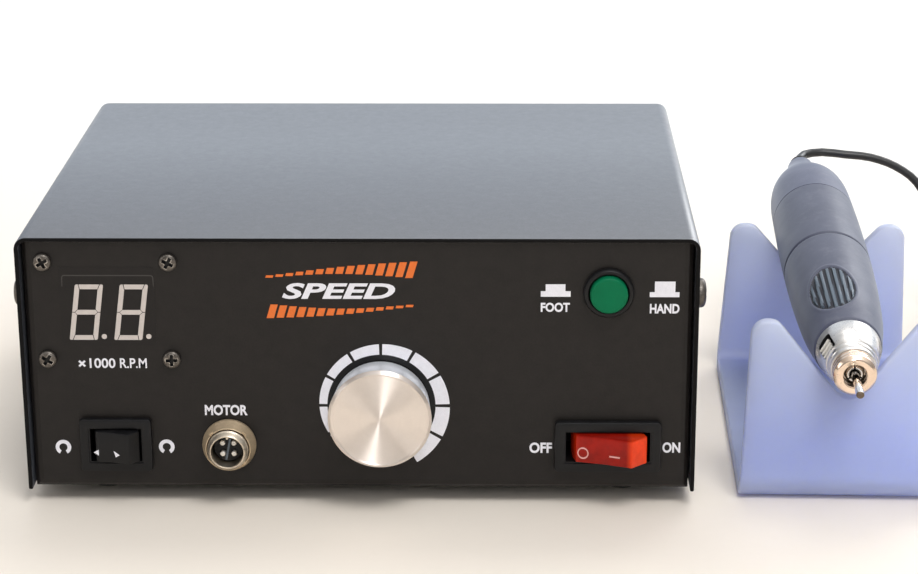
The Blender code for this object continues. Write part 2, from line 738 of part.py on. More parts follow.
def make_cover():
    """Top and two sides, folded from one sheet, open below, in front and behind."""
    half = BOX_WIDTH / 2
    sheet = COVER_SHEET
    steps = 5
    outer = ([(-half, 0)]
             + arc((-half + COVER_BEND, BOX_HEIGHT - COVER_BEND), COVER_BEND, 180, 90, steps)
             + arc((half - COVER_BEND, BOX_HEIGHT - COVER_BEND), COVER_BEND, 90, 0, steps)
             + [(half, 0)])
    inner_bend = COVER_BEND - sheet
    inner = ([(half - sheet, 0)]
             + arc((half - COVER_BEND, BOX_HEIGHT - COVER_BEND), inner_bend, 0, 90, steps)
             + arc((-half + COVER_BEND, BOX_HEIGHT - COVER_BEND), inner_bend, 90, 180, steps)
             + [(-half + sheet, 0)])
    upright = Matrix.Rotation(math.radians(90), 4, 'X')
    made = piece("cover", prism(outer + inner, -BOX_DEPTH / 2, BOX_DEPTH / 2, upright), FINISHES["cover"])
    holes = bmesh.new()
    turn = Matrix.Rotation(math.radians(90), 4, 'Y')
    for depth, height in cover_screw_places():
        matrix = Matrix.Translation((0, depth, height)) @ turn
        section = drum(COVER_SCREW_SHANK_RADIUS + FIT_GAP, -BOX_WIDTH, BOX_WIDTH)
        add_turned(holes, section, SMALL_STEPS // 2, matrix)
    cut(made, holes, "screw_holes")
    return made


def screw_section(head_radius, head_height, shank_radius, length):
    """A pan head screw: the head's underside is one fit gap above the sheet."""
    dome = head_height * HEAD_DOME_SHARE
    crown = FIT_GAP + head_height
    return [(0, -length), (shank_radius, -length), (shank_radius, FIT_GAP), (head_radius, FIT_GAP),
            (head_radius, crown - dome), (head_radius * 0.86, crown - dome / 3), (head_radius / 2, crown),
            (0, crown)]


def make_cover_screws():
    section = screw_section(COVER_SCREW_HEAD_RADIUS, COVER_SCREW_HEAD_HEIGHT,
                            COVER_SCREW_SHANK_RADIUS, COVER_SCREW_LENGTH)
    names = iter(("left_front", "left_rear", "right_front", "right_rear"))
    for side in (-1, 1):
        for depth, height in cover_screw_places():
            piece(f"cover_screw_{next(names)}", turned(section, SMALL_STEPS), FINISHES["screw"],
                  None, (side * BOX_WIDTH / 2, depth, height), (0, side * 90, 0))


def make_feet():
    section = [(0, -FOOT_HEIGHT + FOOT_RECESS_DEPTH), (FOOT_RECESS_RADIUS, -FOOT_HEIGHT + FOOT_RECESS_DEPTH),
               (FOOT_RECESS_RADIUS, -FOOT_HEIGHT), (FOOT_BASE_RADIUS, -FOOT_HEIGHT),
               (FOOT_TOP_RADIUS, -FIT_GAP), (0, -FIT_GAP)]
    for name, side, end in (("front_left", -1, -1), ("front_right", 1, -1), ("rear_left", -1, 1),
                            ("rear_right", 1, 1)):
        place = (side * (CHASSIS_WIDTH / 2 - FOOT_INSET), end * (CHASSIS_DEPTH / 2 - FOOT_INSET), 0)
        piece(f"foot_{name}", turned(section, SMALL_STEPS), FINISHES["rubber"], None, place)


def make_display(front):
    """Module, its board with four posts, and the four screws that hold the board."""
    places = panel_places()
    module_rear = -DISPLAY_SINK - DISPLAY_THICKNESS
    module = prism(rectangle(DISPLAY_WIDTH, DISPLAY_HEIGHT), module_rear, -DISPLAY_SINK)
    piece("display_module", module, FINISHES["display"], front, (*places["display"], 0))

    board_top = module_rear - FIT_GAP
    board_low = board_top - DISPLAY_BOARD_THICKNESS
    reach = DISPLAY_POST_RADIUS + DISPLAY_BOARD_MARGIN
    outline = rectangle(DISPLAY_SCREW_SPAN_X + reach, DISPLAY_SCREW_SPAN_Z + 2 * reach)
    centre = (places["display"][0], places["display"][1] - DISPLAY_SCREW_SHIFT, 0)
    board = piece("display_board", prism(outline, board_low, board_top), FINISHES["board"], front, centre)
    post_top = -CHASSIS_SHEET - FIT_GAP
    posts = bmesh.new()
    bores = bmesh.new()
    for x, z in places["display_screws"]:
        matrix = Matrix.Translation((x - centre[0], z - centre[1], 0))
        add_turned(posts, drum(DISPLAY_POST_RADIUS, board_low + FIT_GAP, post_top), SMALL_STEPS // 2, matrix)
        bore = drum(DISPLAY_SCREW_SHANK_RADIUS + FIT_GAP, post_top - DISPLAY_POST_BORE_DEPTH,
                    post_top + CUT_OVERRUN)
        add_turned(bores, bore, SMALL_STEPS // 2, matrix)
    join(board, posts, "posts")
    cut(board, bores, "bores")

    section = screw_section(DISPLAY_SCREW_HEAD_RADIUS, DISPLAY_SCREW_HEAD_HEIGHT,
                            DISPLAY_SCREW_SHANK_RADIUS, DISPLAY_SCREW_LENGTH)
    names = ("upper_left", "upper_right", "lower_left", "lower_right")
    for name, place in zip(names, places["display_screws"]):
        piece(f"display_screw_{name}", turned(section, SMALL_STEPS), FINISHES["screw"], front, (*place, 0))


def rocker_outline(half, ridge):
    """Side view of a rocker about its pivot, from the opening's half width."""
    end = half * ROCKER_END_SHARE
    right = [(half * ROCKER_KEEL_SHARE, -ridge * ROCKER_KEEL_DROP_SHARE),
             (half * ROCKER_HEEL_SHARE, -ridge * ROCKER_HEEL_DROP_SHARE),
             (end, -ridge * ROCKER_END_DROP_SHARE),
             (half * ROCKER_RIDGE_SHARE, ridge)]
    left = [(-x, y) for x, y in reversed(right)]
    return right + [(0, ridge * ROCKER_VALLEY_SHARE)] + left


def make_rocker_switch(prefix, front, place, size, finish):
    """Housing with bezel, body and tabs, and the rocker on its two pins."""
    bezel = prism(rectangle(size["bezel_width"], size["bezel_height"], SWITCH_CORNER),
                  FIT_GAP, size["bezel"])
    housing = piece(f"{prefix}_switch_housing", bezel, FINISHES["black"], front, (*place, 0))
    body = prism(rectangle(size["body_width"], size["body_height"], SWITCH_CORNER),
                 -size["depth"], size["bezel"] / 2)
    join(housing, body, "body")
    tabs = bmesh.new()
    for side in (-1, 1):
        across = side * SWITCH_TAB_PITCH / 2
        add_block(tabs, (across - SWITCH_TAB_THICKNESS / 2, -SWITCH_TAB_WIDTH / 2,
                         -size["depth"] - SWITCH_TAB_LENGTH),
                  (across + SWITCH_TAB_THICKNESS / 2, SWITCH_TAB_WIDTH / 2, -size["depth"] + SWITCH_FLOOR / 2))
    join(housing, tabs, "tabs")
    cavity = prism(rectangle(size["opening_width"], size["opening_height"]),
                   -size["depth"] + SWITCH_FLOOR, size["bezel"] + CUT_OVERRUN)
    cut(housing, cavity, "cavity")
    pivot = size["bezel"] - size["pivot_depth"]
    flat = Matrix.Translation((0, 0, pivot)) @ Matrix.Rotation(math.radians(90), 4, 'X')
    pin_reach = size["opening_height"] / 2 + ROCKER_PIN_REACH
    sockets = turned(drum(ROCKER_PIN_RADIUS + FIT_GAP, -pin_reach - FIT_GAP, pin_reach + FIT_GAP),
                     SMALL_STEPS // 2, flat)
    cut(housing, sockets, "pin_sockets")

    half_height = size["opening_height"] / 2 - ROCKER_SIDE_GAP
    lie = Matrix.Rotation(math.radians(90), 4, 'X')
    outline = rocker_outline(size["opening_width"] / 2, size["ridge"])
    shape = prism(outline, -half_height, half_height, lie)
    swing = frame(f"{prefix}_rocker_pivot", (*place, pivot), (0, -size["throw"], 0), front)
    rocker = piece(f"{prefix}_rocker", shape, finish, swing)
    join(rocker, turned(drum(ROCKER_PIN_RADIUS, -pin_reach, pin_reach), SMALL_STEPS // 2, lie), "pins")


def make_switches(front):
    places = panel_places()
    power = {"bezel_width": POWER_BEZEL_WIDTH, "bezel_height": POWER_BEZEL_HEIGHT,
             "bezel": POWER_BEZEL_THICKNESS, "body_width": POWER_BODY_WIDTH,
             "body_height": POWER_BODY_HEIGHT, "depth": POWER_BODY_DEPTH,
             "opening_width": POWER_OPENING_WIDTH, "opening_height": POWER_OPENING_HEIGHT,
             "ridge": POWER_ROCKER_RIDGE, "pivot_depth": POWER_PIVOT_DEPTH, "throw": POWER_THROW}
    direction = {"bezel_width": DIRECTION_BEZEL_WIDTH, "bezel_height": DIRECTION_BEZEL_HEIGHT,
                 "bezel": DIRECTION_BEZEL_THICKNESS, "body_width": DIRECTION_BODY_WIDTH,
                 "body_height": DIRECTION_BODY_HEIGHT, "depth": DIRECTION_BODY_DEPTH,
                 "opening_width": DIRECTION_OPENING_WIDTH, "opening_height": DIRECTION_OPENING_HEIGHT,
                 "ridge": DIRECTION_ROCKER_RIDGE, "pivot_depth": DIRECTION_PIVOT_DEPTH,
                 "throw": DIRECTION_THROW}
    make_rocker_switch("power", front, places["power"], power, FINISHES["red"])
    make_rocker_switch("direction", front, places["direction"], direction, FINISHES["black"])


def make_motor_socket(front):
    """Threaded shell with its rear flange, front ring nut, insert and four pins."""
    place = (*panel_places()["socket"], 0)
    flange_top = -CHASSIS_SHEET - FIT_GAP
    flange_low = flange_top - SOCKET_FLANGE_THICKNESS
    shell_section = [(SOCKET_BORE_RADIUS, -SOCKET_REAR), (SOCKET_BARREL_RADIUS, -SOCKET_REAR),
                     (SOCKET_BARREL_RADIUS, flange_low), (SOCKET_FLANGE_RADIUS, flange_low),
                     (SOCKET_FLANGE_RADIUS, flange_top), (SOCKET_BARREL_RADIUS, flange_top),
                     (SOCKET_BARREL_RADIUS, SOCKET_REACH), (SOCKET_BORE_RADIUS, SOCKET_REACH)]
    shell = piece("motor_socket_shell", turned(shell_section), FINISHES["steel"], front, place)
    key = block((-SOCKET_KEY_WIDTH / 2, SOCKET_BORE_RADIUS - SOCKET_KEY_HEIGHT, SOCKET_INSERT_FACE + FIT_GAP),
                (SOCKET_KEY_WIDTH / 2, (SOCKET_BORE_RADIUS + SOCKET_BARREL_RADIUS) / 2,
                 SOCKET_REACH - SOCKET_KEY_HEIGHT))
    join(shell, key, "key")

    bore = SOCKET_BARREL_RADIUS + FIT_GAP
    ring_section = [(bore, FIT_GAP), (SOCKET_RING_BASE_RADIUS, FIT_GAP),
                    (SOCKET_RING_BASE_RADIUS, SOCKET_RING_HEIGHT / 4),
                    (SOCKET_RING_TOP_RADIUS, SOCKET_RING_HEIGHT), (bore, SOCKET_RING_HEIGHT)]
    piece("motor_socket_ring_nut", turned(ring_section), FINISHES["steel"], front, place)

    insert = piece("motor_socket_insert",
                   turned(drum(SOCKET_BORE_RADIUS - FIT_GAP, -SOCKET_REAR, SOCKET_INSERT_FACE), SMALL_STEPS),
                   FINISHES["black"], front, place)
    bores = bmesh.new()
    offset = SOCKET_PIN_PITCH / 2
    spots = [(x * offset, y * offset) for y in (1, -1) for x in (-1, 1)]
    for x, y in spots:
        section = drum(SOCKET_PIN_RADIUS + FIT_GAP, -SOCKET_REAR - CUT_OVERRUN, SOCKET_INSERT_FACE + CUT_OVERRUN)
        add_turned(bores, section, SMALL_STEPS // 2, Matrix.Translation((x, y, 0)))
    cut(insert, bores, "pin_bores")
    pin = drum(SOCKET_PIN_RADIUS, -SOCKET_REAR - SOCKET_PIN_TAIL, SOCKET_INSERT_FACE + SOCKET_PIN_RISE)
    for index, (x, y) in enumerate(spots, 1):
        piece(f"motor_socket_pin_{index}", turned(pin, SMALL_STEPS // 2), FINISHES["steel"], front,
              (place[0] + x, place[1] + y, 0))


def make_speed_control(front):
    """Potentiometer, its panel nut and shaft, and the knob that hides the nut."""
    place = (*panel_places()["knob"], 0)
    body_top = -CHASSIS_SHEET - FIT_GAP
    bore = POT_SHAFT_RADIUS + FIT_GAP
    body = [(0, body_top - POT_BODY_DEPTH), (POT_BODY_RADIUS, body_top - POT_BODY_DEPTH),
            (POT_BODY_RADIUS, body_top), (POT_BUSH_RADIUS, body_top), (POT_BUSH_RADIUS, POT_BUSH_REACH),
            (bore, POT_BUSH_REACH), (bore, body_top - POT_BORE_DEPTH), (0, body_top - POT_BORE_DEPTH)]
    piece("potentiometer", turned(body, 24), FINISHES["steel"], front, place)
    shaft = drum(POT_SHAFT_RADIUS, body_top - POT_BORE_DEPTH + FIT_GAP, POT_SHAFT_REACH)
    piece("potentiometer_shaft", turned(shaft, SMALL_STEPS), FINISHES["steel"], front, place)

    hexagon = arc((0, 0), POT_NUT_RADIUS, 0, 300, 5)
    nut = piece("potentiometer_nut", prism(hexagon, FIT_GAP, POT_NUT_HEIGHT), FINISHES["steel"], front, place)
    hole = turned(drum(POT_BUSH_RADIUS + FIT_GAP, -CUT_OVERRUN, POT_NUT_HEIGHT + CUT_OVERRUN), SMALL_STEPS)
    cut(nut, hole, "thread")

    top = KNOB_LIFT + KNOB_HEIGHT
    recess_top = KNOB_LIFT + KNOB_RECESS_DEPTH
    section = [(0, POT_SHAFT_REACH + FIT_GAP), (bore, POT_SHAFT_REACH + FIT_GAP), (bore, recess_top),
               (KNOB_RECESS_RADIUS, recess_top), (KNOB_RECESS_RADIUS, KNOB_LIFT),
               (KNOB_BASE_RADIUS, KNOB_LIFT), (KNOB_FACE_RADIUS, top - KNOB_CHAMFER),
               (KNOB_FACE_RADIUS - KNOB_CHAMFER, top), (KNOB_FACE_RADIUS - 1.4 * KNOB_CHAMFER, top - KNOB_DISH),
               (0, top - KNOB_DISH)]
    piece("speed_knob", turned(section, 56), FINISHES["aluminium"], front, place)


def make_button(front):
    """Housing with bezel, the sprung green cap, and the nut behind the panel."""
    place = (*panel_places()["button"], 0)
    bore = BUTTON_BODY_RADIUS - BUTTON_WALL
    cap_low = BUTTON_BEZEL_HEIGHT + BUTTON_CAP_RISE - BUTTON_CAP_THICKNESS
    ledge = cap_low - BUTTON_STROKE - FIT_GAP
    stem_bore = BUTTON_STEM_RADIUS + FIT_GAP
    stem_low = cap_low - BUTTON_STEM_LENGTH
    housing = [(0, -BUTTON_BODY_DEPTH), (BUTTON_BODY_RADIUS, -BUTTON_BODY_DEPTH), (BUTTON_BODY_RADIUS, FIT_GAP),
               (BUTTON_BEZEL_RADIUS, FIT_GAP), (BUTTON_BEZEL_RADIUS, BUTTON_BEZEL_HEIGHT * 0.7),
               (BUTTON_BEZEL_RADIUS - BUTTON_WALL, BUTTON_BEZEL_HEIGHT), (bore, BUTTON_BEZEL_HEIGHT),
               (bore, ledge), (stem_bore, ledge), (stem_bore, stem_low - BUTTON_STROKE - FIT_GAP),
               (0, stem_low - BUTTON_STROKE - FIT_GAP)]
    piece("mode_button_housing", turned(housing, 32), FINISHES["black"], front, place)

    radius = bore - FIT_GAP
    top = BUTTON_BEZEL_HEIGHT + BUTTON_CAP_RISE
    cap = [(0, stem_low), (BUTTON_STEM_RADIUS, stem_low), (BUTTON_STEM_RADIUS, cap_low), (radius, cap_low),
           (radius, top - BUTTON_CAP_CHAMFER), (radius - BUTTON_CAP_CHAMFER, top), (0, top)]
    piece("mode_button_cap", turned(cap, 32), FINISHES["green"], front, place)

    nut_top = -CHASSIS_SHEET - FIT_GAP
    hexagon = arc((0, 0), BUTTON_NUT_RADIUS, 0, 300, 5)
    nut = piece("mode_button_nut", prism(hexagon, nut_top - BUTTON_NUT_HEIGHT, nut_top), FINISHES["steel"],
                front, place)
    hole = turned(drum(BUTTON_BODY_RADIUS + FIT_GAP, nut_top - BUTTON_NUT_HEIGHT - CUT_OVERRUN,
                       nut_top + CUT_OVERRUN), SMALL_STEPS)
    cut(nut, hole, "thread")


def inlet_outline(width, height, corner):
    """The mains inlet's mouth: two upper corners cut off."""
    half_x = width / 2
    half_y = height / 2
    return [(-half_x, -half_y), (half_x, -half_y), (half_x, half_y - corner), (half_x - corner, half_y),
            (-half_x + corner, half_y), (-half_x, half_y - corner)]


def make_rear_pieces(rear):
    """Mains inlet, fuse holder and foot control socket."""
    places = rear_places()
    flange = prism(rectangle(INLET_FLANGE_WIDTH, INLET_FLANGE_HEIGHT, SWITCH_CORNER), FIT_GAP,
                   INLET_FLANGE_THICKNESS)
    inlet = piece("power_inlet", flange, FINISHES["black"], rear, (*places["inlet"], 0))
    join(inlet, prism(rectangle(INLET_BODY_WIDTH, INLET_BODY_HEIGHT), -INLET_BODY_DEPTH,
                      INLET_FLANGE_THICKNESS / 2), "body")
    floor = INLET_FLANGE_THICKNESS - INLET_OPENING_DEPTH
    cut(inlet, prism(inlet_outline(INLET_OPENING_WIDTH, INLET_OPENING_HEIGHT, INLET_CORNER_CUT), floor,
                     INLET_FLANGE_THICKNESS + CUT_OVERRUN), "mouth")
    pins = bmesh.new()
    for across, rise in ((-INLET_PIN_PITCH, -INLET_PIN_RISE), (0, INLET_PIN_RISE), (INLET_PIN_PITCH, -INLET_PIN_RISE)):
        add_block(pins, (across - INLET_PIN_WIDTH / 2, rise - INLET_PIN_HEIGHT / 2, floor - INLET_PIN_WIDTH / 2),
                  (across + INLET_PIN_WIDTH / 2, rise + INLET_PIN_HEIGHT / 2, floor + INLET_PIN_LENGTH))
    join(inlet, pins, "pins")

    cap_top = FUSE_FLANGE_HEIGHT + FUSE_CAP_HEIGHT
    fuse = [(0, -FUSE_BODY_DEPTH), (FUSE_BODY_RADIUS, -FUSE_BODY_DEPTH), (FUSE_BODY_RADIUS, FIT_GAP),
            (FUSE_FLANGE_RADIUS, FIT_GAP), (FUSE_FLANGE_RADIUS, FUSE_FLANGE_HEIGHT),
            (FUSE_CAP_RADIUS, FUSE_FLANGE_HEIGHT), (FUSE_CAP_RADIUS, cap_top), (0, cap_top)]
    holder = piece("fuse_holder", turned(fuse, 24), FINISHES["black"], rear, (*places["fuse"], 0))
    cut(holder, block((-FUSE_BODY_RADIUS, -FUSE_SLOT_WIDTH / 2, cap_top - FUSE_SLOT_WIDTH),
                      (FUSE_BODY_RADIUS, FUSE_SLOT_WIDTH / 2, cap_top + CUT_OVERRUN)), "slot")

    body_top = -CHASSIS_SHEET - FIT_GAP
    socket = [(0, body_top - FOOT_SOCKET_BODY_DEPTH), (FOOT_SOCKET_BODY_RADIUS, body_top - FOOT_SOCKET_BODY_DEPTH),
              (FOOT_SOCKET_BODY_RADIUS, body_top), (FOOT_SOCKET_THREAD_RADIUS, body_top),
              (FOOT_SOCKET_THREAD_RADIUS, FIT_GAP), (FOOT_SOCKET_NUT_RADIUS, FIT_GAP),
              (FOOT_SOCKET_NUT_RADIUS, FOOT_SOCKET_NUT_HEIGHT), (FOOT_SOCKET_THREAD_RADIUS, FOOT_SOCKET_NUT_HEIGHT),
              (FOOT_SOCKET_THREAD_RADIUS, FOOT_SOCKET_THREAD_REACH), (FOOT_SOCKET_BORE_RADIUS, FOOT_SOCKET_THREAD_REACH),
              (FOOT_SOCKET_BORE_RADIUS, body_top - FOOT_SOCKET_BODY_DEPTH + FOOT_SOCKET_WALL),
              (0, body_top - FOOT_SOCKET_BODY_DEPTH + FOOT_SOCKET_WALL)]
    piece("foot_control_socket", turned(socket, 24), FINISHES["steel"], rear, (*places["foot_socket"], 0))


def make_main_board():
    """Board on four posts with its capacitors, relay and terminal strip."""
    floor = CHASSIS_SHEET
    low = floor + POST_HEIGHT
    top = low + BOARD_THICKNESS
    rear = CHASSIS_DEPTH / 2 - BOARD_REAR_GAP
    centre = (PANEL_RIGHT - BOARD_RIGHT_GAP - BOARD_LENGTH / 2, rear - BOARD_DEPTH / 2, 0)
    board = piece("main_board", prism(rectangle(BOARD_LENGTH, BOARD_DEPTH), low, top), FINISHES["board"],
                  None, centre)
    parts = bmesh.new()
    reach_x = BOARD_LENGTH / 2 - POST_INSET
    reach_y = BOARD_DEPTH / 2 - POST_INSET
    for x in (-reach_x, reach_x):
        for y in (-reach_y, reach_y):
            add_turned(parts, drum(POST_RADIUS, floor + FIT_GAP, low + BOARD_THICKNESS / 2), SMALL_STEPS // 2,
                       Matrix.Translation((x, y, 0)))
    for index in (-1, 0, 1):
        across = index * 2.4 * CAPACITOR_RADIUS
        add_turned(parts, drum(CAPACITOR_RADIUS, top - BOARD_THICKNESS / 2, top + CAPACITOR_HEIGHT), SMALL_STEPS,
                   Matrix.Translation((across, CAPACITOR_RADIUS, 0)))
    relay_x = BOARD_LENGTH / 2 - RELAY_WIDTH
    relay_y = -BOARD_DEPTH / 2 + RELAY_DEPTH
    add_block(parts, (relay_x - RELAY_WIDTH / 2, relay_y - RELAY_DEPTH / 2, top - BOARD_THICKNESS / 2),
              (relay_x + RELAY_WIDTH / 2, relay_y + RELAY_DEPTH / 2, top + RELAY_HEIGHT))
    add_block(parts, (-reach_x, -reach_y + TERMINAL_DEPTH, top - BOARD_THICKNESS / 2),
              (-reach_x + TERMINAL_WIDTH, -reach_y + 2 * TERMINAL_DEPTH, top + TERMINAL_HEIGHT))
    join(board, parts, "parts")

    base_y = rear + SINK_FRONT_GAP
    socket_edge = -rear_places()["foot_socket"][0] - FOOT_SOCKET_BODY_RADIUS
    sink_x = socket_edge - SINK_SOCKET_GAP - SINK_LENGTH / 2
    fins = [(-SINK_LENGTH / 2, 0), (SINK_LENGTH / 2, 0), (SINK_LENGTH / 2, SINK_BASE)]
    first = (SINK_FIN_COUNT - 1) / 2
    for index in range(SINK_FIN_COUNT):
        middle = (first - index) * SINK_FIN_PITCH * 2
        half = SINK_FIN_THICKNESS / 2
        fins += [(middle + half, SINK_BASE), (middle + half, SINK_FIN_LENGTH),
                 (middle - half, SINK_FIN_LENGTH), (middle - half, SINK_BASE)]
    fins.append((-SINK_LENGTH / 2, SINK_BASE))
    piece("heat_sink", prism(fins, floor + FIT_GAP, floor + SINK_HEIGHT), FINISHES["aluminium"], None,
          (sink_x, base_y, 0))


def make_transformer():
    """Laminated core standing on the floor, with the winding bulging at both faces."""
    floor = CHASSIS_SHEET + FIT_GAP
    x = PANEL_LEFT + CHASSIS_SHEET + CORE_LEFT_GAP + CORE_WIDTH / 2
    y = CHASSIS_DEPTH / 2 - CORE_REAR_GAP - WINDING_DEPTH / 2
    core = prism(rectangle(CORE_WIDTH, CORE_DEPTH), floor, floor + CORE_HEIGHT)
    made = piece("power_transformer", core, FINISHES["transformer"], None, (x, y, 0))
    middle = floor + CORE_HEIGHT / 2
    winding = prism(rectangle(WINDING_WIDTH, WINDING_DEPTH, WINDING_CORNER), middle - WINDING_HEIGHT / 2,
                    middle + WINDING_HEIGHT / 2)
    join(made, winding, "winding")


def lean_offset(height):
    """How far a leaning cradle plate has moved inwards at a height."""
    return height * math.tan(math.radians(CRADLE_LEAN))


def cradle_frame():
    """Frame on the table, at the middle of the cradle's front edge."""
    place = (BOX_WIDTH / 2 + CRADLE_GAP, -BOX_DEPTH / 2 + CRADLE_SETBACK, -FOOT_HEIGHT)
    return frame("cradle_place", place, (0, 0, -CRADLE_YAW))


def make_cradle(stand):
    """One sheet bent up at both ends, each end shaped into two lobes and a notch."""
    lean = math.radians(CRADLE_LEAN)
    across = CRADLE_SHEET / math.cos(lean)
    top = CRADLE_HEIGHT
    length = CRADLE_LENGTH
    inner_low = lean_offset(CRADLE_SHEET) + across
    inner_bend = CRADLE_BEND - CRADLE_SHEET
    profile = filleted([
        (lean_offset(top), top, 0), (0, 0, CRADLE_BEND), (length, 0, CRADLE_BEND),
        (length - lean_offset(top), top, 0), (length - lean_offset(top) - across, top, 0),
        (length - inner_low, CRADLE_SHEET, inner_bend), (inner_low, CRADLE_SHEET, inner_bend),
        (lean_offset(top) + across, top, 0)], 4)
    sideways = Matrix(((0, 0, 1, 0), (1, 0, 0, 0), (0, 1, 0, 0), (0, 0, 0, 1)))
    reach = CRADLE_HALF_WIDTH + CUT_OVERRUN
    made = piece("cradle", prism(profile, -reach, reach, sideways), FINISHES["cradle"], stand)
    slope = math.tan(math.radians(90 - NOTCH_HALF_ANGLE))
    flank_top = (top - NOTCH_APEX_HEIGHT) / slope
    front_view = filleted([
        (-CRADLE_HALF_WIDTH, 0, 0), (CRADLE_HALF_WIDTH, 0, 0), (CRADLE_TOP_HALF_WIDTH, top, LOBE_RADIUS),
        (flank_top, top, LOBE_RADIUS), (0, NOTCH_APEX_HEIGHT, NOTCH_RADIUS), (-flank_top, top, LOBE_RADIUS),
        (-CRADLE_TOP_HALF_WIDTH, top, LOBE_RADIUS)], 6)
    upright = Matrix.Rotation(math.radians(90), 4, 'X')
    outline = prism(front_view, -length - CUT_OVERRUN, CUT_OVERRUN, upright)
    boolean(made, outline, 'INTERSECT', "outline")


def body_radius(station):
    """Outer radius of the handpiece's grips at a station."""
    stations = [share * HANDPIECE_LENGTH for share in BODY_STATION_SHARES]
    radii = [share * HANDPIECE_RADIUS for share in BODY_RADIUS_SHARES]
    if station <= stations[0]:
        return radii[0]
    for low, high, first, last in zip(stations, stations[1:], radii, radii[1:]):
        if station <= high:
            return first + (last - first) * (station - low) / (high - low)
    return radii[-1]


def seat_height(radius):
    """Height of the axis of a round body that rests in the cradle's notch."""
    return NOTCH_APEX_HEIGHT + (radius + SEAT_GAP) / math.sin(math.radians(NOTCH_HALF_ANGLE))


def handpiece_frame(stand):
    """Frame on the handpiece's axis at the lock ring's face: +Z rearwards, +Y down."""
    slope = math.cos(math.radians(90 - NOTCH_HALF_ANGLE))
    front_radius = body_radius(NOSE_OVERHANG + CRADLE_SHEET)
    front_height = seat_height(front_radius)
    front_depth = lean_offset(front_height - front_radius * slope) + CRADLE_SHEET / 2
    rear_radius = body_radius(NOSE_OVERHANG + CRADLE_LENGTH - CRADLE_SHEET - 2 * front_depth)
    rear_height = seat_height(rear_radius)
    rear_depth = CRADLE_LENGTH - lean_offset(rear_height - rear_radius * slope) - CRADLE_SHEET / 2
    tilt = math.atan2(rear_height - front_height, rear_depth - front_depth)
    nose = NOSE_OVERHANG + CRADLE_SHEET / 2
    place = (0, front_depth - nose * math.cos(tilt), front_height - nose * math.sin(tilt))
    return frame("handpiece_axis", place, (math.degrees(tilt) - 90, 0, 0), stand)


def body_section(front, rear, groove_at_front, groove_at_rear):
    """Outer points of a grip between two stations, with a small groove chamfer at its seams."""
    points = []
    if groove_at_front:
        points += [(body_radius(front) - SEAM_GROOVE, front), (body_radius(front), front + SEAM_GROOVE)]
    else:
        points.append((body_radius(front), front))
    for share in BODY_STATION_SHARES:
        station = share * HANDPIECE_LENGTH
        if front + 2 * SEAM_GROOVE < station < rear - 2 * SEAM_GROOVE:
            points.append((body_radius(station), station))
    if groove_at_rear:
        points += [(body_radius(rear), rear - SEAM_GROOVE), (body_radius(rear) - SEAM_GROOVE, rear)]
    else:
        points.append((body_radius(rear), rear))
    return points


def grip_pad_cuts():
    """Lengthwise grooves that fill an oval on the front grip."""
    grooves = bmesh.new()
    pitch = GRIP_PAD_WIDTH / GRIP_PAD_GROOVES
    front = GRIP_PAD_STATION - GRIP_PAD_LENGTH / 2
    rear = GRIP_PAD_STATION + GRIP_PAD_LENGTH / 2
    slope = math.atan2(body_radius(rear) - body_radius(front), GRIP_PAD_LENGTH)
    radius = body_radius(GRIP_PAD_STATION)
    for index in range(GRIP_PAD_GROOVES):
        across = (index - (GRIP_PAD_GROOVES - 1) / 2) * pitch
        half = GRIP_PAD_LENGTH / 2 * math.sqrt(1 - (2 * across / (GRIP_PAD_WIDTH + pitch / 2)) ** 2)
        turn = Matrix.Rotation(across / radius - math.radians(GRIP_PAD_ANGLE), 4, 'Z')
        tip = Matrix.Translation((0, -radius, GRIP_PAD_STATION)) @ Matrix.Rotation(slope, 4, 'X')
        add_block(grooves, (-GRIP_GROOVE_WIDTH / 2, -CUT_OVERRUN, -half),
                  (GRIP_GROOVE_WIDTH / 2, GRIP_GROOVE_DEPTH, half), turn @ tip)
    return grooves


def make_grips(axis):
    bore = NOSE_SPIGOT_RADIUS + FIT_GAP
    chamber = SLEEVE_RADIUS + FIT_GAP
    seam_front = GRIP_SEAM - FIT_GAP / 2
    seam_rear = GRIP_SEAM + FIT_GAP / 2
    front_section = body_section(GRIP_FRONT, seam_front, False, True) + [
        (chamber, seam_front), (chamber, GRIP_SHOULDER + GRIP_SHOULDER_LENGTH), (bore, GRIP_SHOULDER),
        (bore, GRIP_FRONT)]
    grip = piece("front_grip", turned(front_section), FINISHES["grip"], axis)
    cut(grip, grip_pad_cuts(), "pad")
    cord_hole = BOOT_RADIUS + FIT_GAP
    rear_section = body_section(seam_rear, HANDPIECE_LENGTH, True, False) + [
        (cord_hole, HANDPIECE_LENGTH), (cord_hole, REAR_CONE_END), (REAR_CONE_MID_RADIUS, REAR_CONE_MID),
        (chamber, REAR_CONE_START), (chamber, seam_rear)]
    piece("rear_grip", turned(rear_section), FINISHES["grip"], axis)
    boot = [(0, BOOT_FRONT), (BOOT_RADIUS, BOOT_FRONT), (BOOT_RADIUS, BOOT_TAPER), (BOOT_END_RADIUS, BOOT_END),
            (0, BOOT_END)]
    piece("cord_boot", turned(boot, SMALL_STEPS), FINISHES["rubber"], axis)


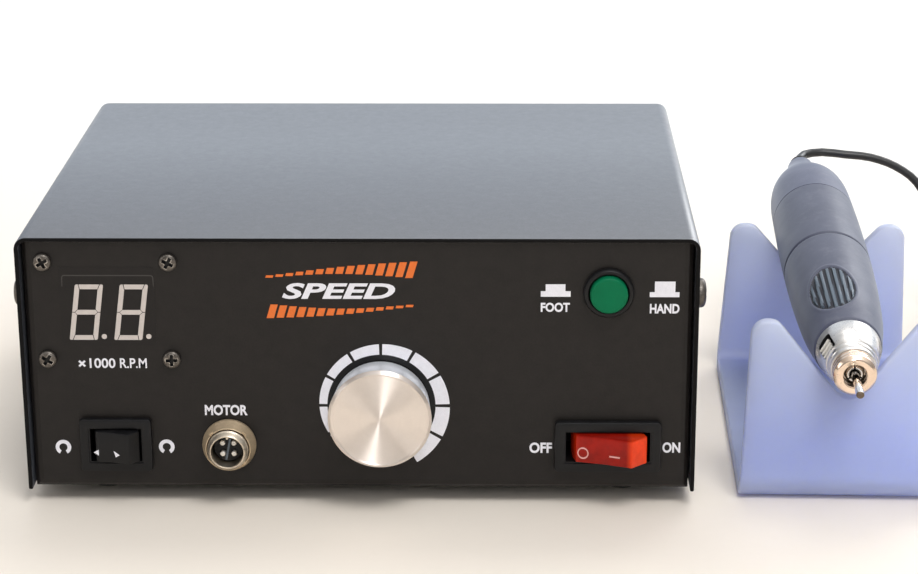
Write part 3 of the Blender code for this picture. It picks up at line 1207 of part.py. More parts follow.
def make_nose(axis):
    """Lock ring and the stepped cone behind it, with an index window."""
    length = LOCK_RING_LENGTH
    ring_section = [(LOCK_RING_MOUTH_RADIUS, 0), (LOCK_RING_RADIUS - LOCK_RING_CHAMFER, 0),
                    (LOCK_RING_RADIUS, LOCK_RING_CHAMFER), (LOCK_RING_RADIUS, length),
                    (LOCK_RING_BORE_RADIUS, length), (LOCK_RING_BORE_RADIUS, LOCK_RING_MOUTH_DEPTH),
                    (LOCK_RING_MOUTH_RADIUS, LOCK_RING_MOUTH_DEPTH)]
    piece("lock_ring", turned(ring_section), FINISHES["nose"], axis)

    front = length + FIT_GAP
    step = front + NOSE_STEP
    rear = GRIP_FRONT - FIT_GAP
    seat_front = FRONT_BEARING_STATION - FIT_GAP
    seat = BEARING_RADIUS + FIT_GAP
    housing = [(NOSE_BORE_RADIUS, front), (NOSE_FRONT_RADIUS, front), (NOSE_STEP_RADIUS - SEAM_GROOVE, step),
               (NOSE_STEP_RADIUS, step + SEAM_GROOVE), (NOSE_REAR_RADIUS, rear), (NOSE_SPIGOT_RADIUS, rear),
               (NOSE_SPIGOT_RADIUS, NOSE_SPIGOT_REAR), (seat, NOSE_SPIGOT_REAR), (seat, seat_front),
               (NOSE_BORE_RADIUS, seat_front)]
    nose = piece("nose_housing", turned(housing), FINISHES["nose"], axis)
    radius = (NOSE_FRONT_RADIUS + NOSE_REAR_RADIUS) / 2
    turn = Matrix.Rotation(math.radians(-NOSE_WINDOW_ANGLE), 4, 'Z')
    middle = (front + rear) / 2
    window = bmesh.new()
    add_block(window, (-NOSE_WINDOW_WIDTH / 2, -radius - NOSE_WINDOW_DEPTH, middle - NOSE_WINDOW_LENGTH / 2),
              (NOSE_WINDOW_WIDTH / 2, -radius + NOSE_WINDOW_DEPTH, middle + NOSE_WINDOW_LENGTH / 2), turn)
    cut(nose, window, "window")


def make_motor(axis):
    """Sleeve, stator, rotor on its spindle, and two bearings."""
    seat = BEARING_RADIUS + FIT_GAP
    end_wall = SLEEVE_REAR - SLEEVE_END_WALL
    sleeve = [(SLEEVE_BORE_RADIUS, SLEEVE_FRONT), (SLEEVE_RADIUS, SLEEVE_FRONT), (SLEEVE_RADIUS, SLEEVE_REAR),
              (seat, SLEEVE_REAR), (seat, end_wall), (SLEEVE_BORE_RADIUS, end_wall)]
    piece("motor_sleeve", turned(sleeve, 32), FINISHES["steel"], axis)
    piece("stator", turned(ring(STATOR_BORE_RADIUS, STATOR_RADIUS, STATOR_FRONT, STATOR_REAR), 32),
          FINISHES["copper"], axis)
    piece("rotor", turned(ring(SPINDLE_RADIUS + FIT_GAP, ROTOR_RADIUS, ROTOR_FRONT, ROTOR_REAR), 24),
          FINISHES["transformer"], axis)

    spindle = [(0, SPINDLE_BORE_END), (SPINDLE_BORE_RADIUS, SPINDLE_BORE_END),
               (SPINDLE_BORE_RADIUS, SPINDLE_FRONT), (SPINDLE_NOSE_RADIUS, SPINDLE_FRONT),
               (SPINDLE_NOSE_RADIUS, SPINDLE_SHOULDER), (SPINDLE_RADIUS, SPINDLE_SHOULDER),
               (SPINDLE_RADIUS, SPINDLE_REAR), (0, SPINDLE_REAR)]
    piece("spindle", turned(spindle, 24), FINISHES["dark_steel"], axis)

    front = FRONT_BEARING_STATION
    rear = REAR_BEARING_STATION
    piece("front_bearing", turned(ring(SPINDLE_NOSE_RADIUS + FIT_GAP, BEARING_RADIUS, front,
                                       front + BEARING_WIDTH), 24), FINISHES["steel"], axis)
    piece("rear_bearing", turned(ring(SPINDLE_RADIUS + FIT_GAP, BEARING_RADIUS, rear, rear + BEARING_WIDTH), 24),
          FINISHES["steel"], axis)


def make_chuck(axis):
    """Collet with its slots, and the bur's shank that it grips."""
    collet_section = [(COLLET_BORE_RADIUS, COLLET_FRONT), (COLLET_RADIUS, COLLET_FRONT),
                      (COLLET_RADIUS, COLLET_REAR), (COLLET_BORE_RADIUS, COLLET_REAR)]
    collet = piece("collet", turned(collet_section, 24), FINISHES["dark_steel"], axis)
    slots = bmesh.new()
    for index in range(COLLET_SLOTS):
        turn = Matrix.Rotation(2 * math.pi * index / COLLET_SLOTS + math.pi / 7, 4, 'Z')
        add_block(slots, (0, -COLLET_SLOT_WIDTH / 2, COLLET_FRONT - CUT_OVERRUN),
                  (COLLET_RADIUS + CUT_OVERRUN, COLLET_SLOT_WIDTH / 2, COLLET_FRONT + COLLET_SLOT_LENGTH), turn)
    cut(collet, slots, "slots")
    bur = [(0, -BUR_TIP), (BUR_RADIUS - BUR_CHAMFER, -BUR_TIP), (BUR_RADIUS, -BUR_TIP + BUR_CHAMFER),
           (BUR_RADIUS, BUR_REAR - BUR_CHAMFER), (BUR_RADIUS - BUR_CHAMFER, BUR_REAR), (0, BUR_REAR)]
    piece("bur", turned(bur, SMALL_STEPS), FINISHES["dark_steel"], axis)


def smooth_route(points, spacing):
    """Points about one spacing apart on a smooth curve through the given ones."""
    knots = [2 * points[0] - points[1]] + points + [2 * points[-1] - points[-2]]
    route = [points[0]]
    for before, here, there, after in zip(knots, knots[1:], knots[2:], knots[3:]):
        count = max(1, round((there - here).length / spacing))
        for step in range(1, count + 1):
            t = step / count
            route.append(0.5 * (2 * here + (there - before) * t
                                + (2 * before - 5 * here + 4 * there - after) * t ** 2
                                + (3 * here - before - 3 * there + after) * t ** 3))
    return route


def cord(name, points, resolution):
    """A round cord with flat ends along a list of points."""
    data = bpy.data.curves.new(name, 'CURVE')
    data.dimensions = '3D'
    data.bevel_depth = CORD_DIAMETER / 2
    data.bevel_resolution = resolution
    data.use_fill_caps = True
    spline = data.splines.new('POLY')
    spline.points.add(len(points) - 1)
    for point, place in zip(spline.points, points):
        point.co = (*place, 1)
    data.materials.append(FINISHES["cord"])
    made = bpy.data.objects.new(name, data)
    bpy.context.collection.objects.link(made)
    return made


def coil_points():
    """Centre line of the coil: in and out again, a layer higher at each turn back."""
    per_turn = COIL_POINTS_PER_TURN
    table = -FOOT_HEIGHT + CORD_DIAMETER / 2
    layer_steps = round(COIL_LAYER_TURNS * per_turn)
    climb_steps = per_turn // 2
    radius = COIL_RADIUS
    step = COIL_TURN_PITCH / per_turn
    heights = []
    radii = [radius]
    inwards = -1
    for layer in range(COIL_LAYERS):
        level = table + layer * COIL_LAYER_PITCH
        first = 1 if layer else 0
        heights += [level] * (layer_steps + 1 - first)
        for _ in range(layer_steps):
            radius += inwards * step
            radii.append(radius)
        if layer == COIL_LAYERS - 1:
            break
        for index in range(1, climb_steps + 1):
            share = index / climb_steps
            heights.append(level + COIL_LAYER_PITCH * share * share * (3 - 2 * share))
            radius += (inwards if index <= climb_steps / 2 else -inwards) * step
            radii.append(radius)
        inwards = -inwards
    points = []
    for index, (reach, height) in enumerate(zip(radii, heights)):
        angle = math.pi + 2 * math.pi * index / per_turn
        points.append(Vector((COIL_CENTRE_X + reach * math.cos(angle), COIL_CENTRE_Y + reach * math.sin(angle),
                              height)))
    return points


def least_gap(points, skip):
    """Least distance between the surfaces of a cord's own turns."""
    least = None
    for index, point in enumerate(points):
        for other in points[index + skip:]:
            apart = (point - other).length - CORD_DIAMETER
            least = apart if least is None else min(least, apart)
    return least


def make_cord(axis):
    """Lead from the boot to the coil, the coil of spare length, and the tail to the plug."""
    bpy.context.view_layer.update()
    boot_end = axis.matrix_world @ Vector((0, 0, BOOT_END + FIT_GAP))
    boot_way = axis.matrix_world @ Vector((0, 0, BOOT_END + FIT_GAP + CORD_DIAMETER))
    coil = coil_points()
    first = coil[0]
    last = coil[-1]
    back = Vector((0, 1, 0))
    lead = [boot_end, boot_way] + [Vector(point) for point in LEAD_ROUTE]
    lead += [first + back * (CORD_DIAMETER * 2 + FIT_GAP), first + back * (CORD_DIAMETER + FIT_GAP)]
    lead = [boot_end] + smooth_route(lead[1:], CORD_POINT_SPACING) + [first + back * (2 * FIT_GAP)]
    run_in = [first + back * FIT_GAP]
    run_out = [last - back * CORD_DIAMETER]
    plug_height = -FOOT_HEIGHT + PLUG_NUT_RADIUS
    plug_end = Vector((first.x, PLUG_REAR_Y, plug_height))
    tail = [run_out[0] - back * (FIT_GAP + CORD_DIAMETER)] + [Vector(point) for point in TAIL_ROUTE]
    tail += [plug_end + back * (FIT_GAP + CORD_DIAMETER)]
    tail = ([run_out[0] - back * FIT_GAP] + smooth_route(tail, CORD_POINT_SPACING)
            + [plug_end + back * FIT_GAP])
    cord("cord_lead", lead, 2)
    cord("cord_coil", run_in + coil + run_out, 1)
    cord("cord_tail", tail, 2)
    whole = lead + coil + tail
    length = sum((b - a).length for a, b in zip(whole, whole[1:]))
    print(f"cord length {length:.4f} m, least gap between turns {least_gap(coil, 12):.5f} m")
    return plug_end


def make_plug(plug_end):
    """The cord's plug: shell, insert, and the coupling nut that turns on the shell."""
    place = tuple(plug_end)
    plug = frame("plug_axis", place, (90, 0, 0))
    length = PLUG_SHELL_LENGTH
    neck = length - PLUG_NECK_LENGTH
    bore_low = length - PLUG_SHELL_BORE_DEPTH
    shell = [(0, 0), (PLUG_BOOT_RADIUS, 0), (PLUG_BOOT_RADIUS, PLUG_SHELL_TAPER / 2),
             (PLUG_SHELL_RADIUS, PLUG_SHELL_TAPER), (PLUG_SHELL_RADIUS, neck), (PLUG_SHELL_NECK_RADIUS, neck),
             (PLUG_SHELL_NECK_RADIUS, length), (PLUG_SHELL_BORE_RADIUS, length), (PLUG_SHELL_BORE_RADIUS, bore_low),
             (0, bore_low)]
    piece("plug_shell", turned(shell, 24), FINISHES["steel"], plug)
    insert = drum(PLUG_SHELL_BORE_RADIUS - FIT_GAP, bore_low + FIT_GAP, bore_low + PLUG_INSERT_LENGTH)
    piece("plug_insert", turned(insert, 20), FINISHES["black"], plug)
    low = neck + FIT_GAP
    nut = ring(PLUG_SHELL_NECK_RADIUS + FIT_GAP, PLUG_NUT_RADIUS, low, low + PLUG_NUT_LENGTH)
    piece("plug_nut", turned(nut, 28), FINISHES["steel"], plug)


def main():
    for old in list(bpy.data.objects):
        bpy.data.objects.remove(old)
    front, rear = panel_frames()
    make_chassis(front, rear)
    make_cover()
    make_cover_screws()
    make_feet()
    make_display(front)
    make_switches(front)
    make_motor_socket(front)
    make_speed_control(front)
    make_button(front)
    make_rear_pieces(rear)
    make_main_board()
    make_transformer()
    stand = cradle_frame()
    make_cradle(stand)
    axis = handpiece_frame(stand)
    make_grips(axis)
    make_nose(axis)
    make_motor(axis)
    make_chuck(axis)
    make_plug(make_cord(axis))
    bpy.context.view_layer.update()


main()
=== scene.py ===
"""Looks of a dental lab micromotor: bench control unit, handpiece in its cradle, and cord.

Metres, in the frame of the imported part: +X right, +Y to the rear, +Z up.
"""

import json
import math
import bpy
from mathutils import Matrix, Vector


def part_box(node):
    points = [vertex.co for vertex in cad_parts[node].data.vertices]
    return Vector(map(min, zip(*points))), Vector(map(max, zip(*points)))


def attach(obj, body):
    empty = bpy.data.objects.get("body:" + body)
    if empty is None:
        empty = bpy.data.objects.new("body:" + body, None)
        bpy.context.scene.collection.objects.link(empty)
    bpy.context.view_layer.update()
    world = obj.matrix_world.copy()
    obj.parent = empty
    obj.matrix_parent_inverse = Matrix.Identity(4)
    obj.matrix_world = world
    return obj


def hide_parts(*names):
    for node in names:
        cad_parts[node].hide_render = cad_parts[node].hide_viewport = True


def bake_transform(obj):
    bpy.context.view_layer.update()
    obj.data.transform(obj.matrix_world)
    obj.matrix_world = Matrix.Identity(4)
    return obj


bl_info = {
    "name": "Lab Micromotor Looks",
    "version": (1, 0, 0),
    "blender": (4, 5, 0),
    "location": "View3D > Sidebar > Micromotor",
    "description": "Builds the detailed pieces and finishes of a dental lab micromotor",
    "category": "Object",
}

import bmesh
import bpy
from mathutils import Matrix, Vector

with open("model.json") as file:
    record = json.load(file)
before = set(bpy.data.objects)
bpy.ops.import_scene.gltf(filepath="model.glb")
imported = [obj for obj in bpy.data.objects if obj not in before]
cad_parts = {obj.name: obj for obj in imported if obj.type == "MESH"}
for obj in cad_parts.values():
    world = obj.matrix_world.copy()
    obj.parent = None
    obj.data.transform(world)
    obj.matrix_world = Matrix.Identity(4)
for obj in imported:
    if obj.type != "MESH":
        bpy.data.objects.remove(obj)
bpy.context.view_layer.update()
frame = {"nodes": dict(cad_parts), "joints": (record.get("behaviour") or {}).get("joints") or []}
NODES = frame["nodes"]
JOINTS = {joint["name"]: joint for joint in frame["joints"]}

# Steps of round shapes
ROUND = 96
MEDIUM = 48
SMALL = 24
MERGE_DISTANCE = 0.000002
SHARP_ANGLE = math.radians(32)
PRINT_THICKNESS = 0.00006
PRINT_LIFT = 0.00002

# Frames of the groups
PANEL_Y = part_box("chassis")[0].y
REAR_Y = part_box("chassis")[1].y
UPRIGHT = Matrix.Rotation(math.radians(90), 4, 'X')
FRONT = Matrix.Translation((0, PANEL_Y, 0)) @ UPRIGHT
REAR = Matrix.Translation((0, REAR_Y, 0)) @ Matrix.Rotation(math.radians(180), 4, 'Z') @ UPRIGHT


def axis_frame(origin, along, down):
    """A frame with local Z along one direction and local Y towards another."""
    z = Vector(along).normalized()
    y = Vector(down)
    y = (y - z * y.dot(z)).normalized()
    x = y.cross(z)
    turn = Matrix((x, y, z)).transposed().to_4x4()
    return Matrix.Translation(origin) @ turn


RING_JOINT = JOINTS["lock_ring_turn"]
HAND = axis_frame(RING_JOINT["pos_m"], -Vector(RING_JOINT["axis"]), -Vector(JOINTS["handpiece_lift"]["axis"]))
PLUG_JOINT = JOINTS["plug_nut_turn"]
PLUG = axis_frame(PLUG_JOINT["pos_m"], PLUG_JOINT["axis"], (0, 0, -1))
CRADLE_YAW = math.radians(-1.4)
STAND = Matrix.Translation((0.1422, -0.0749, -0.005)) @ Matrix.Rotation(CRADLE_YAW, 4, 'Z')


def at(x, y, z=0.0):
    """A place in a group's frame."""
    return Matrix.Translation((x, y, z))


def turn_z(angle):
    return Matrix.Rotation(angle, 4, 'Z')


# Mesh helpers
def lathe(mesh, section, steps=MEDIUM, matrix=None):
    """Spin a section of (radius, height) points about Z. A section off the axis is closed first."""
    before = set(mesh.verts)
    verts = [mesh.verts.new((radius, 0, height)) for radius, height in section]
    edges = [mesh.edges.new(pair) for pair in zip(verts, verts[1:])]
    if section[0][0] > 0:
        edges.append(mesh.edges.new((verts[-1], verts[0])))
    bmesh.ops.spin(mesh, geom=verts + edges, cent=(0, 0, 0), axis=(0, 0, 1), angle=2 * math.pi,
                   steps=steps, use_merge=True)
    made = [vert for vert in mesh.verts if vert not in before]
    bmesh.ops.remove_doubles(mesh, verts=made, dist=MERGE_DISTANCE)
    made = [vert for vert in mesh.verts if vert not in before]
    if matrix:
        bmesh.ops.transform(mesh, matrix=matrix, verts=made)
    return made


def lathed(section, steps=MEDIUM, matrix=None):
    mesh = bmesh.new()
    lathe(mesh, section, steps, matrix)
    return mesh


def soften(section, radius, steps=3):
    """Round the corners of a lathe section by up to a radius, but leave its ends."""
    rounded = [section[0]]
    for before, here, after in zip(section, section[1:], section[2:]):
        corner = Vector(here)
        back = Vector(before) - corner
        ahead = Vector(after) - corner
        reach = min(radius, back.length * 0.45, ahead.length * 0.45)
        if reach < MERGE_DISTANCE * 4:
            rounded.append(here)
            continue
        first = corner + back.normalized() * reach
        last = corner + ahead.normalized() * reach
        for step in range(steps + 1):
            t = step / steps
            rounded.append(tuple(first * (1 - t) ** 2 + corner * 2 * t * (1 - t) + last * t ** 2))
    rounded.append(section[-1])
    return rounded


def slab(mesh, width, depth, low, high, corner=0.0, segments=6, matrix=None):
    """A flat plate about the origin with round upright corners."""
    made = bmesh.ops.create_grid(mesh, x_segments=1, y_segments=1, size=0.5)["verts"]
    bmesh.ops.scale(mesh, vec=(width, depth, 1), verts=made)
    bmesh.ops.translate(mesh, vec=(0, 0, low), verts=made)
    faces = list({face for vert in made for face in vert.link_faces})
    if corner:
        grown = bmesh.ops.bevel(mesh, geom=made, offset=corner, segments=segments, profile=0.5,
                                affect='VERTICES', material=-1)
        faces = [face for face in grown["faces"]] or faces
        faces = list({face for vert in grown["verts"] for face in vert.link_faces})
    top = bmesh.ops.extrude_face_region(mesh, geom=faces)["geom"]
    top = [item for item in top if isinstance(item, bmesh.types.BMVert)]
    bmesh.ops.translate(mesh, vec=(0, 0, high - low), verts=top)
    whole = list({vert for face in faces for vert in face.verts}) + top
    if matrix:
        bmesh.ops.transform(mesh, matrix=matrix, verts=whole)
    return whole


def outline_plate(mesh, points, low, high, matrix=None):
    """Extrude a closed outline of (x, y) points between two heights."""
    verts = [mesh.verts.new((x, y, low)) for x, y in points]
    face = mesh.faces.new(verts)
    top = bmesh.ops.extrude_face_region(mesh, geom=[face])["geom"]
    top = [item for item in top if isinstance(item, bmesh.types.BMVert)]
    bmesh.ops.translate(mesh, vec=(0, 0, high - low), verts=top)
    if matrix:
        bmesh.ops.transform(mesh, matrix=matrix, verts=verts + top)
    return verts + top


def arc_points(radius, start, end, steps, centre=(0.0, 0.0)):
    """Points on an arc, angles in degrees."""
    angles = [math.radians(start + (end - start) * step / steps) for step in range(steps + 1)]
    return [(centre[0] + radius * math.cos(a), centre[1] + radius * math.sin(a)) for a in angles]


def filleted(corners, steps):
    """A closed outline from (x, y, radius) corners, each rounded by its radius."""
    outline = []
    for index, (x, y, radius) in enumerate(corners):
        here = Vector((x, y))
        if not radius:
            outline.append((x, y))
            continue
        back = (Vector(corners[index - 1][:2]) - here).normalized()
        ahead = (Vector(corners[(index + 1) % len(corners)][:2]) - here).normalized()
        half = back.angle(ahead) / 2
        reach = radius / math.tan(half)
        centre = here + (back + ahead).normalized() * radius / math.sin(half)
        first = here + back * reach - centre
        sweep = first.angle_signed(here + ahead * reach - centre)
        for step in range(steps + 1):
            spoke = first.copy()
            spoke.rotate(Matrix.Rotation(-sweep * step / steps, 2))
            outline.append(tuple(centre + spoke))
    return outline


def box(mesh, low, high, matrix=None):
    """A block between two corners."""
    made = bmesh.ops.create_cube(mesh, size=1)["verts"]
    size = [b - a for a, b in zip(low, high)]
    bmesh.ops.scale(mesh, vec=size, verts=made)
    bmesh.ops.translate(mesh, vec=[(a + b) / 2 for a, b in zip(low, high)], verts=made)
    if matrix:
        bmesh.ops.transform(mesh, matrix=matrix, verts=made)
    return made


def capsule(mesh, radius, length, matrix, squash=1.0):
    """A round-ended bar along local Z, about the origin."""
    section = [(radius * math.sin(math.radians(a)), -length / 2 - radius * math.cos(math.radians(a)))
               for a in range(0, 91, 15)]
    section += [(radius * math.cos(math.radians(a)), length / 2 + radius * math.sin(math.radians(a)))
                for a in range(0, 91, 15)]
    section[0] = (0, section[0][1])
    section[-1] = (0, section[-1][1])
    flat = Matrix.Diagonal((1, squash, 1, 1))
    lathe(mesh, section, 16, matrix @ flat)


def build(name, mesh, finish, matrix=None, bevel=0.0, sharp=SHARP_ANGLE):
    """Turn a bmesh into an object with its place in its mesh and its faces outwards."""
    if matrix:
        bmesh.ops.transform(mesh, matrix=matrix, verts=mesh.verts)
    bmesh.ops.recalc_face_normals(mesh, faces=mesh.faces)
    data = bpy.data.meshes.new(name)
    mesh.to_mesh(data)
    mesh.free()
    made = bpy.data.objects.new(name, data)
    bpy.context.scene.collection.objects.link(made)
    data.materials.append(finish)
    if bevel:
        edge = made.modifiers.new("edge", 'BEVEL')
        edge.width = bevel
        edge.segments = 2
        edge.limit_method = 'ANGLE'
        edge.angle_limit = SHARP_ANGLE
        apply_modifiers(made)
    made.data.shade_smooth()
    made.data.set_sharp_from_angle(angle=sharp)
    return made


def apply_modifiers(made):
    """Bake an object's modifiers into its mesh."""
    bpy.context.view_layer.update()
    evaluated = made.evaluated_get(bpy.context.evaluated_depsgraph_get())
    data = bpy.data.meshes.new_from_object(evaluated)
    old = made.data
    made.modifiers.clear()
    made.data = data
    name = old.name
    bpy.data.meshes.remove(old)
    data.name = name
    return made


def carve(made, mesh, operation='DIFFERENCE', matrix=None, inner=None):
    """Cut, join or intersect an object with a shape, and bake the result."""
    if matrix:
        bmesh.ops.transform(mesh, matrix=matrix, verts=mesh.verts)
    bmesh.ops.recalc_face_normals(mesh, faces=mesh.faces)
    data = bpy.data.meshes.new("cutter")
    mesh.to_mesh(data)
    mesh.free()
    if inner:
        data.materials.append(inner)
    tool = bpy.data.objects.new("cutter", data)
    bpy.context.scene.collection.objects.link(tool)
    change = made.modifiers.new("cut", 'BOOLEAN')
    change.operation = operation
    change.solver = 'EXACT'
    change.object = tool
    if inner:
        change.material_mode = 'TRANSFER'
    apply_modifiers(made)
    bpy.data.objects.remove(tool)
    bpy.data.meshes.remove(data)
    made.data.shade_smooth()
    made.data.set_sharp_from_angle(angle=SHARP_ANGLE)
    return made


def mount(made, body, slot, *replaced):
    """Let a piece ride on its body, and stand for CAD nodes."""
    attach(made, body)
    if replaced:
        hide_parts(*replaced)
    return made


def lettering(mesh, text, width, height, matrix, weight=0.0, shear=0.0, gap=1.0):
    """Add printed words as a thin solid, fitted to a width and a height about the matrix's origin."""
    curve = bpy.data.curves.new(text, 'FONT')
    curve.body = text
    curve.align_x = 'CENTER'
    curve.align_y = 'CENTER'
    curve.offset = weight
    curve.extrude = 0.01
    curve.shear = shear
    curve.space_character = gap
    curve.resolution_u = 4
    label = bpy.data.objects.new(text, curve)
    bpy.context.scene.collection.objects.link(label)
    bpy.context.view_layer.update()
    data = bpy.data.meshes.new_from_object(label.evaluated_get(bpy.context.evaluated_depsgraph_get()))
    bpy.data.objects.remove(label)
    bpy.data.curves.remove(curve)
    before = set(mesh.verts)
    mesh.from_mesh(data)
    bpy.data.meshes.remove(data)
    made = [vert for vert in mesh.verts if vert not in before]
    spans = [[vert.co[axis] for vert in made] for axis in range(3)]
    middle = [-(min(span) + max(span)) / 2 for span in spans]
    size = [max(span) - min(span) for span in spans]
    bmesh.ops.translate(mesh, vec=middle, verts=made)
    bmesh.ops.scale(mesh, vec=(width / size[0], height / size[1], PRINT_THICKNESS / size[2]), verts=made)
    bmesh.ops.translate(mesh, vec=(0, 0, PRINT_LIFT + PRINT_THICKNESS / 2), verts=made)
    bmesh.ops.transform(mesh, matrix=matrix, verts=made)
    bmesh.ops.remove_doubles(mesh, verts=made, dist=MERGE_DISTANCE)


# Node helpers
def add_node(tree, kind, inputs=None, **settings):
    """Add a node, set its options, and link or set its inputs by name or number."""
    node = tree.nodes.new(kind)
    for key, value in settings.items():
        setattr(node, key, value)
    for key, value in (inputs or {}).items():
        if isinstance(value, bpy.types.NodeSocket):
            tree.links.new(value, node.inputs[key])
        else:
            node.inputs[key].default_value = value
    return node


def compute(tree, operation, *values, clamp=False):
    """A Math node's output."""
    node = add_node(tree, "ShaderNodeMath", dict(enumerate(values)), operation=operation, use_clamp=clamp)
    return node.outputs[0]


def compute_vector(tree, operation, *values, scale=None):
    """A Vector Math node."""
    node = add_node(tree, "ShaderNodeVectorMath", dict(enumerate(values)), operation=operation)
    if scale is not None:
        node.inputs["Scale"].default_value = scale
    return node


def remap(tree, value, low, high, first=0.0, last=1.0):
    """A Map Range node's output, clamped."""
    node = add_node(tree, "ShaderNodeMapRange", {"Value": value, "From Min": low, "From Max": high,
                                                 "To Min": first, "To Max": last})
    return node.outputs["Result"]


def noise(tree, vector, scale, detail=4.0, roughness=0.6, distortion=0.0):
    node = add_node(tree, "ShaderNodeTexNoise", {"Vector": vector, "Scale": scale, "Detail": detail,
                                                 "Roughness": roughness, "Distortion": distortion})
    return node.outputs["Fac"]


def object_place(tree):
    return add_node(tree, "ShaderNodeTexCoord").outputs["Object"]


def mix_colour(tree, factor, first, second):
    node = add_node(tree, "ShaderNodeMix", {0: factor, 6: first, 7: second}, data_type='RGBA')
    return node.outputs[2]


def shared_group(name, inputs, outputs):
    """A new node group with named sockets, and its two end nodes."""
    tree = bpy.data.node_groups.new(name, 'ShaderNodeTree')
    for label, kind, value in inputs:
        tree.interface.new_socket(label, in_out='INPUT', socket_type=kind).default_value = value
    for label, kind in outputs:
        tree.interface.new_socket(label, in_out='OUTPUT', socket_type=kind)
    return tree, tree.nodes.new("NodeGroupInput").outputs, tree.nodes.new("NodeGroupOutput").inputs


FLOAT = "NodeSocketFloat"
COLOUR = "NodeSocketColor"
VECTOR = "NodeSocketVector"


def make_mottle_group():
    """Two colours mixed by soft clouds and a fine speckle."""
    tree, given, out = shared_group(
        "Mottle",
        [("Base", COLOUR, (0.5, 0.5, 0.5, 1)), ("Shade", COLOUR, (0.4, 0.4, 0.4, 1)),
         ("Cloud Scale", FLOAT, 60.0), ("Speckle Scale", FLOAT, 1800.0), ("Speckle Share", FLOAT, 0.5)],
        [("Color", COLOUR), ("Speckle", FLOAT)])
    place = object_place(tree)
    clouds = remap(tree, noise(tree, place, given["Cloud Scale"], 3.0), 0.35, 0.68)
    speckle = remap(tree, noise(tree, place, given["Speckle Scale"], 2.0, 0.7), 0.36, 0.66)
    tree.links.new(speckle, out["Speckle"])
    share = given["Speckle Share"]
    rest = compute(tree, 'SUBTRACT', 1.0, share)
    mixed = compute(tree, 'ADD', compute(tree, 'MULTIPLY', speckle, share), compute(tree, 'MULTIPLY', clouds, rest))
    tree.links.new(mix_colour(tree, mixed, given["Base"], given["Shade"]), out["Color"])
    return tree


def make_grain_group():
    """A fine moulded or coated texture: a height and a roughness that follows it."""
    tree, given, out = shared_group(
        "Surface Grain",
        [("Scale", FLOAT, 2500.0), ("Roughness", FLOAT, 0.5), ("Spread", FLOAT, 0.08), ("Blur", FLOAT, 90.0)],
        [("Height", FLOAT), ("Roughness", FLOAT)])
    place = object_place(tree)
    fine = noise(tree, place, given["Scale"], 3.0, 0.55)
    broad = remap(tree, noise(tree, place, given["Blur"], 4.0), 0.3, 0.7, -1.0, 1.0)
    tree.links.new(fine, out["Height"])
    swing = compute(tree, 'MULTIPLY', broad, given["Spread"])
    bumpy = compute(tree, 'MULTIPLY', compute(tree, 'SUBTRACT', fine, 0.5), given["Spread"])
    total = compute(tree, 'ADD', compute(tree, 'ADD', given["Roughness"], swing), bumpy, clamp=True)
    tree.links.new(total, out["Roughness"])
    return tree


def make_edge_group():
    """Where edges are made bright, by rubbed wear on most finishes and as a painted highlight on some: the corner's own
    rounding, broken up by noise.
    """
    tree, given, out = shared_group(
        "Edge Wear And Painted Highlight",
        [("Radius", FLOAT, 0.0005), ("Break Up", FLOAT, 700.0), ("Amount", FLOAT, 0.5)],
        [("Mask", FLOAT)])
    rounded = add_node(tree, "ShaderNodeBevel", {"Radius": given["Radius"]}, samples=4).outputs[0]
    flat = add_node(tree, "ShaderNodeNewGeometry").outputs["Normal"]
    facing = compute_vector(tree, 'DOT_PRODUCT', rounded, flat).outputs["Value"]
    edge = remap(tree, facing, 0.995, 0.86)
    broken = remap(tree, noise(tree, object_place(tree), given["Break Up"], 5.0, 0.7), 0.42, 0.62)
    tree.links.new(compute(tree, 'MULTIPLY', compute(tree, 'MULTIPLY', edge, broken), given["Amount"]),
                   out["Mask"])
    return tree


def make_scuff_group():
    """Fine scratches that run across one direction, kept to a few patches."""
    tree, given, out = shared_group(
        "Scuffs",
        [("Stretch", VECTOR, (1.0, 1.0, 1.0)), ("Scale", FLOAT, 900.0), ("Patches", FLOAT, 40.0),
         ("Amount", FLOAT, 0.5)],
        [("Mask", FLOAT)])
    place = object_place(tree)
    stretched = compute_vector(tree, 'MULTIPLY', place, given["Stretch"]).outputs["Vector"]
    lines = remap(tree, noise(tree, stretched, given["Scale"], 2.0, 0.5, 0.4), 0.64, 0.72)
    patches = remap(tree, noise(tree, place, given["Patches"], 3.0), 0.48, 0.66)
    tree.links.new(compute(tree, 'MULTIPLY', compute(tree, 'MULTIPLY', lines, patches), given["Amount"]),
                   out["Mask"])
    return tree


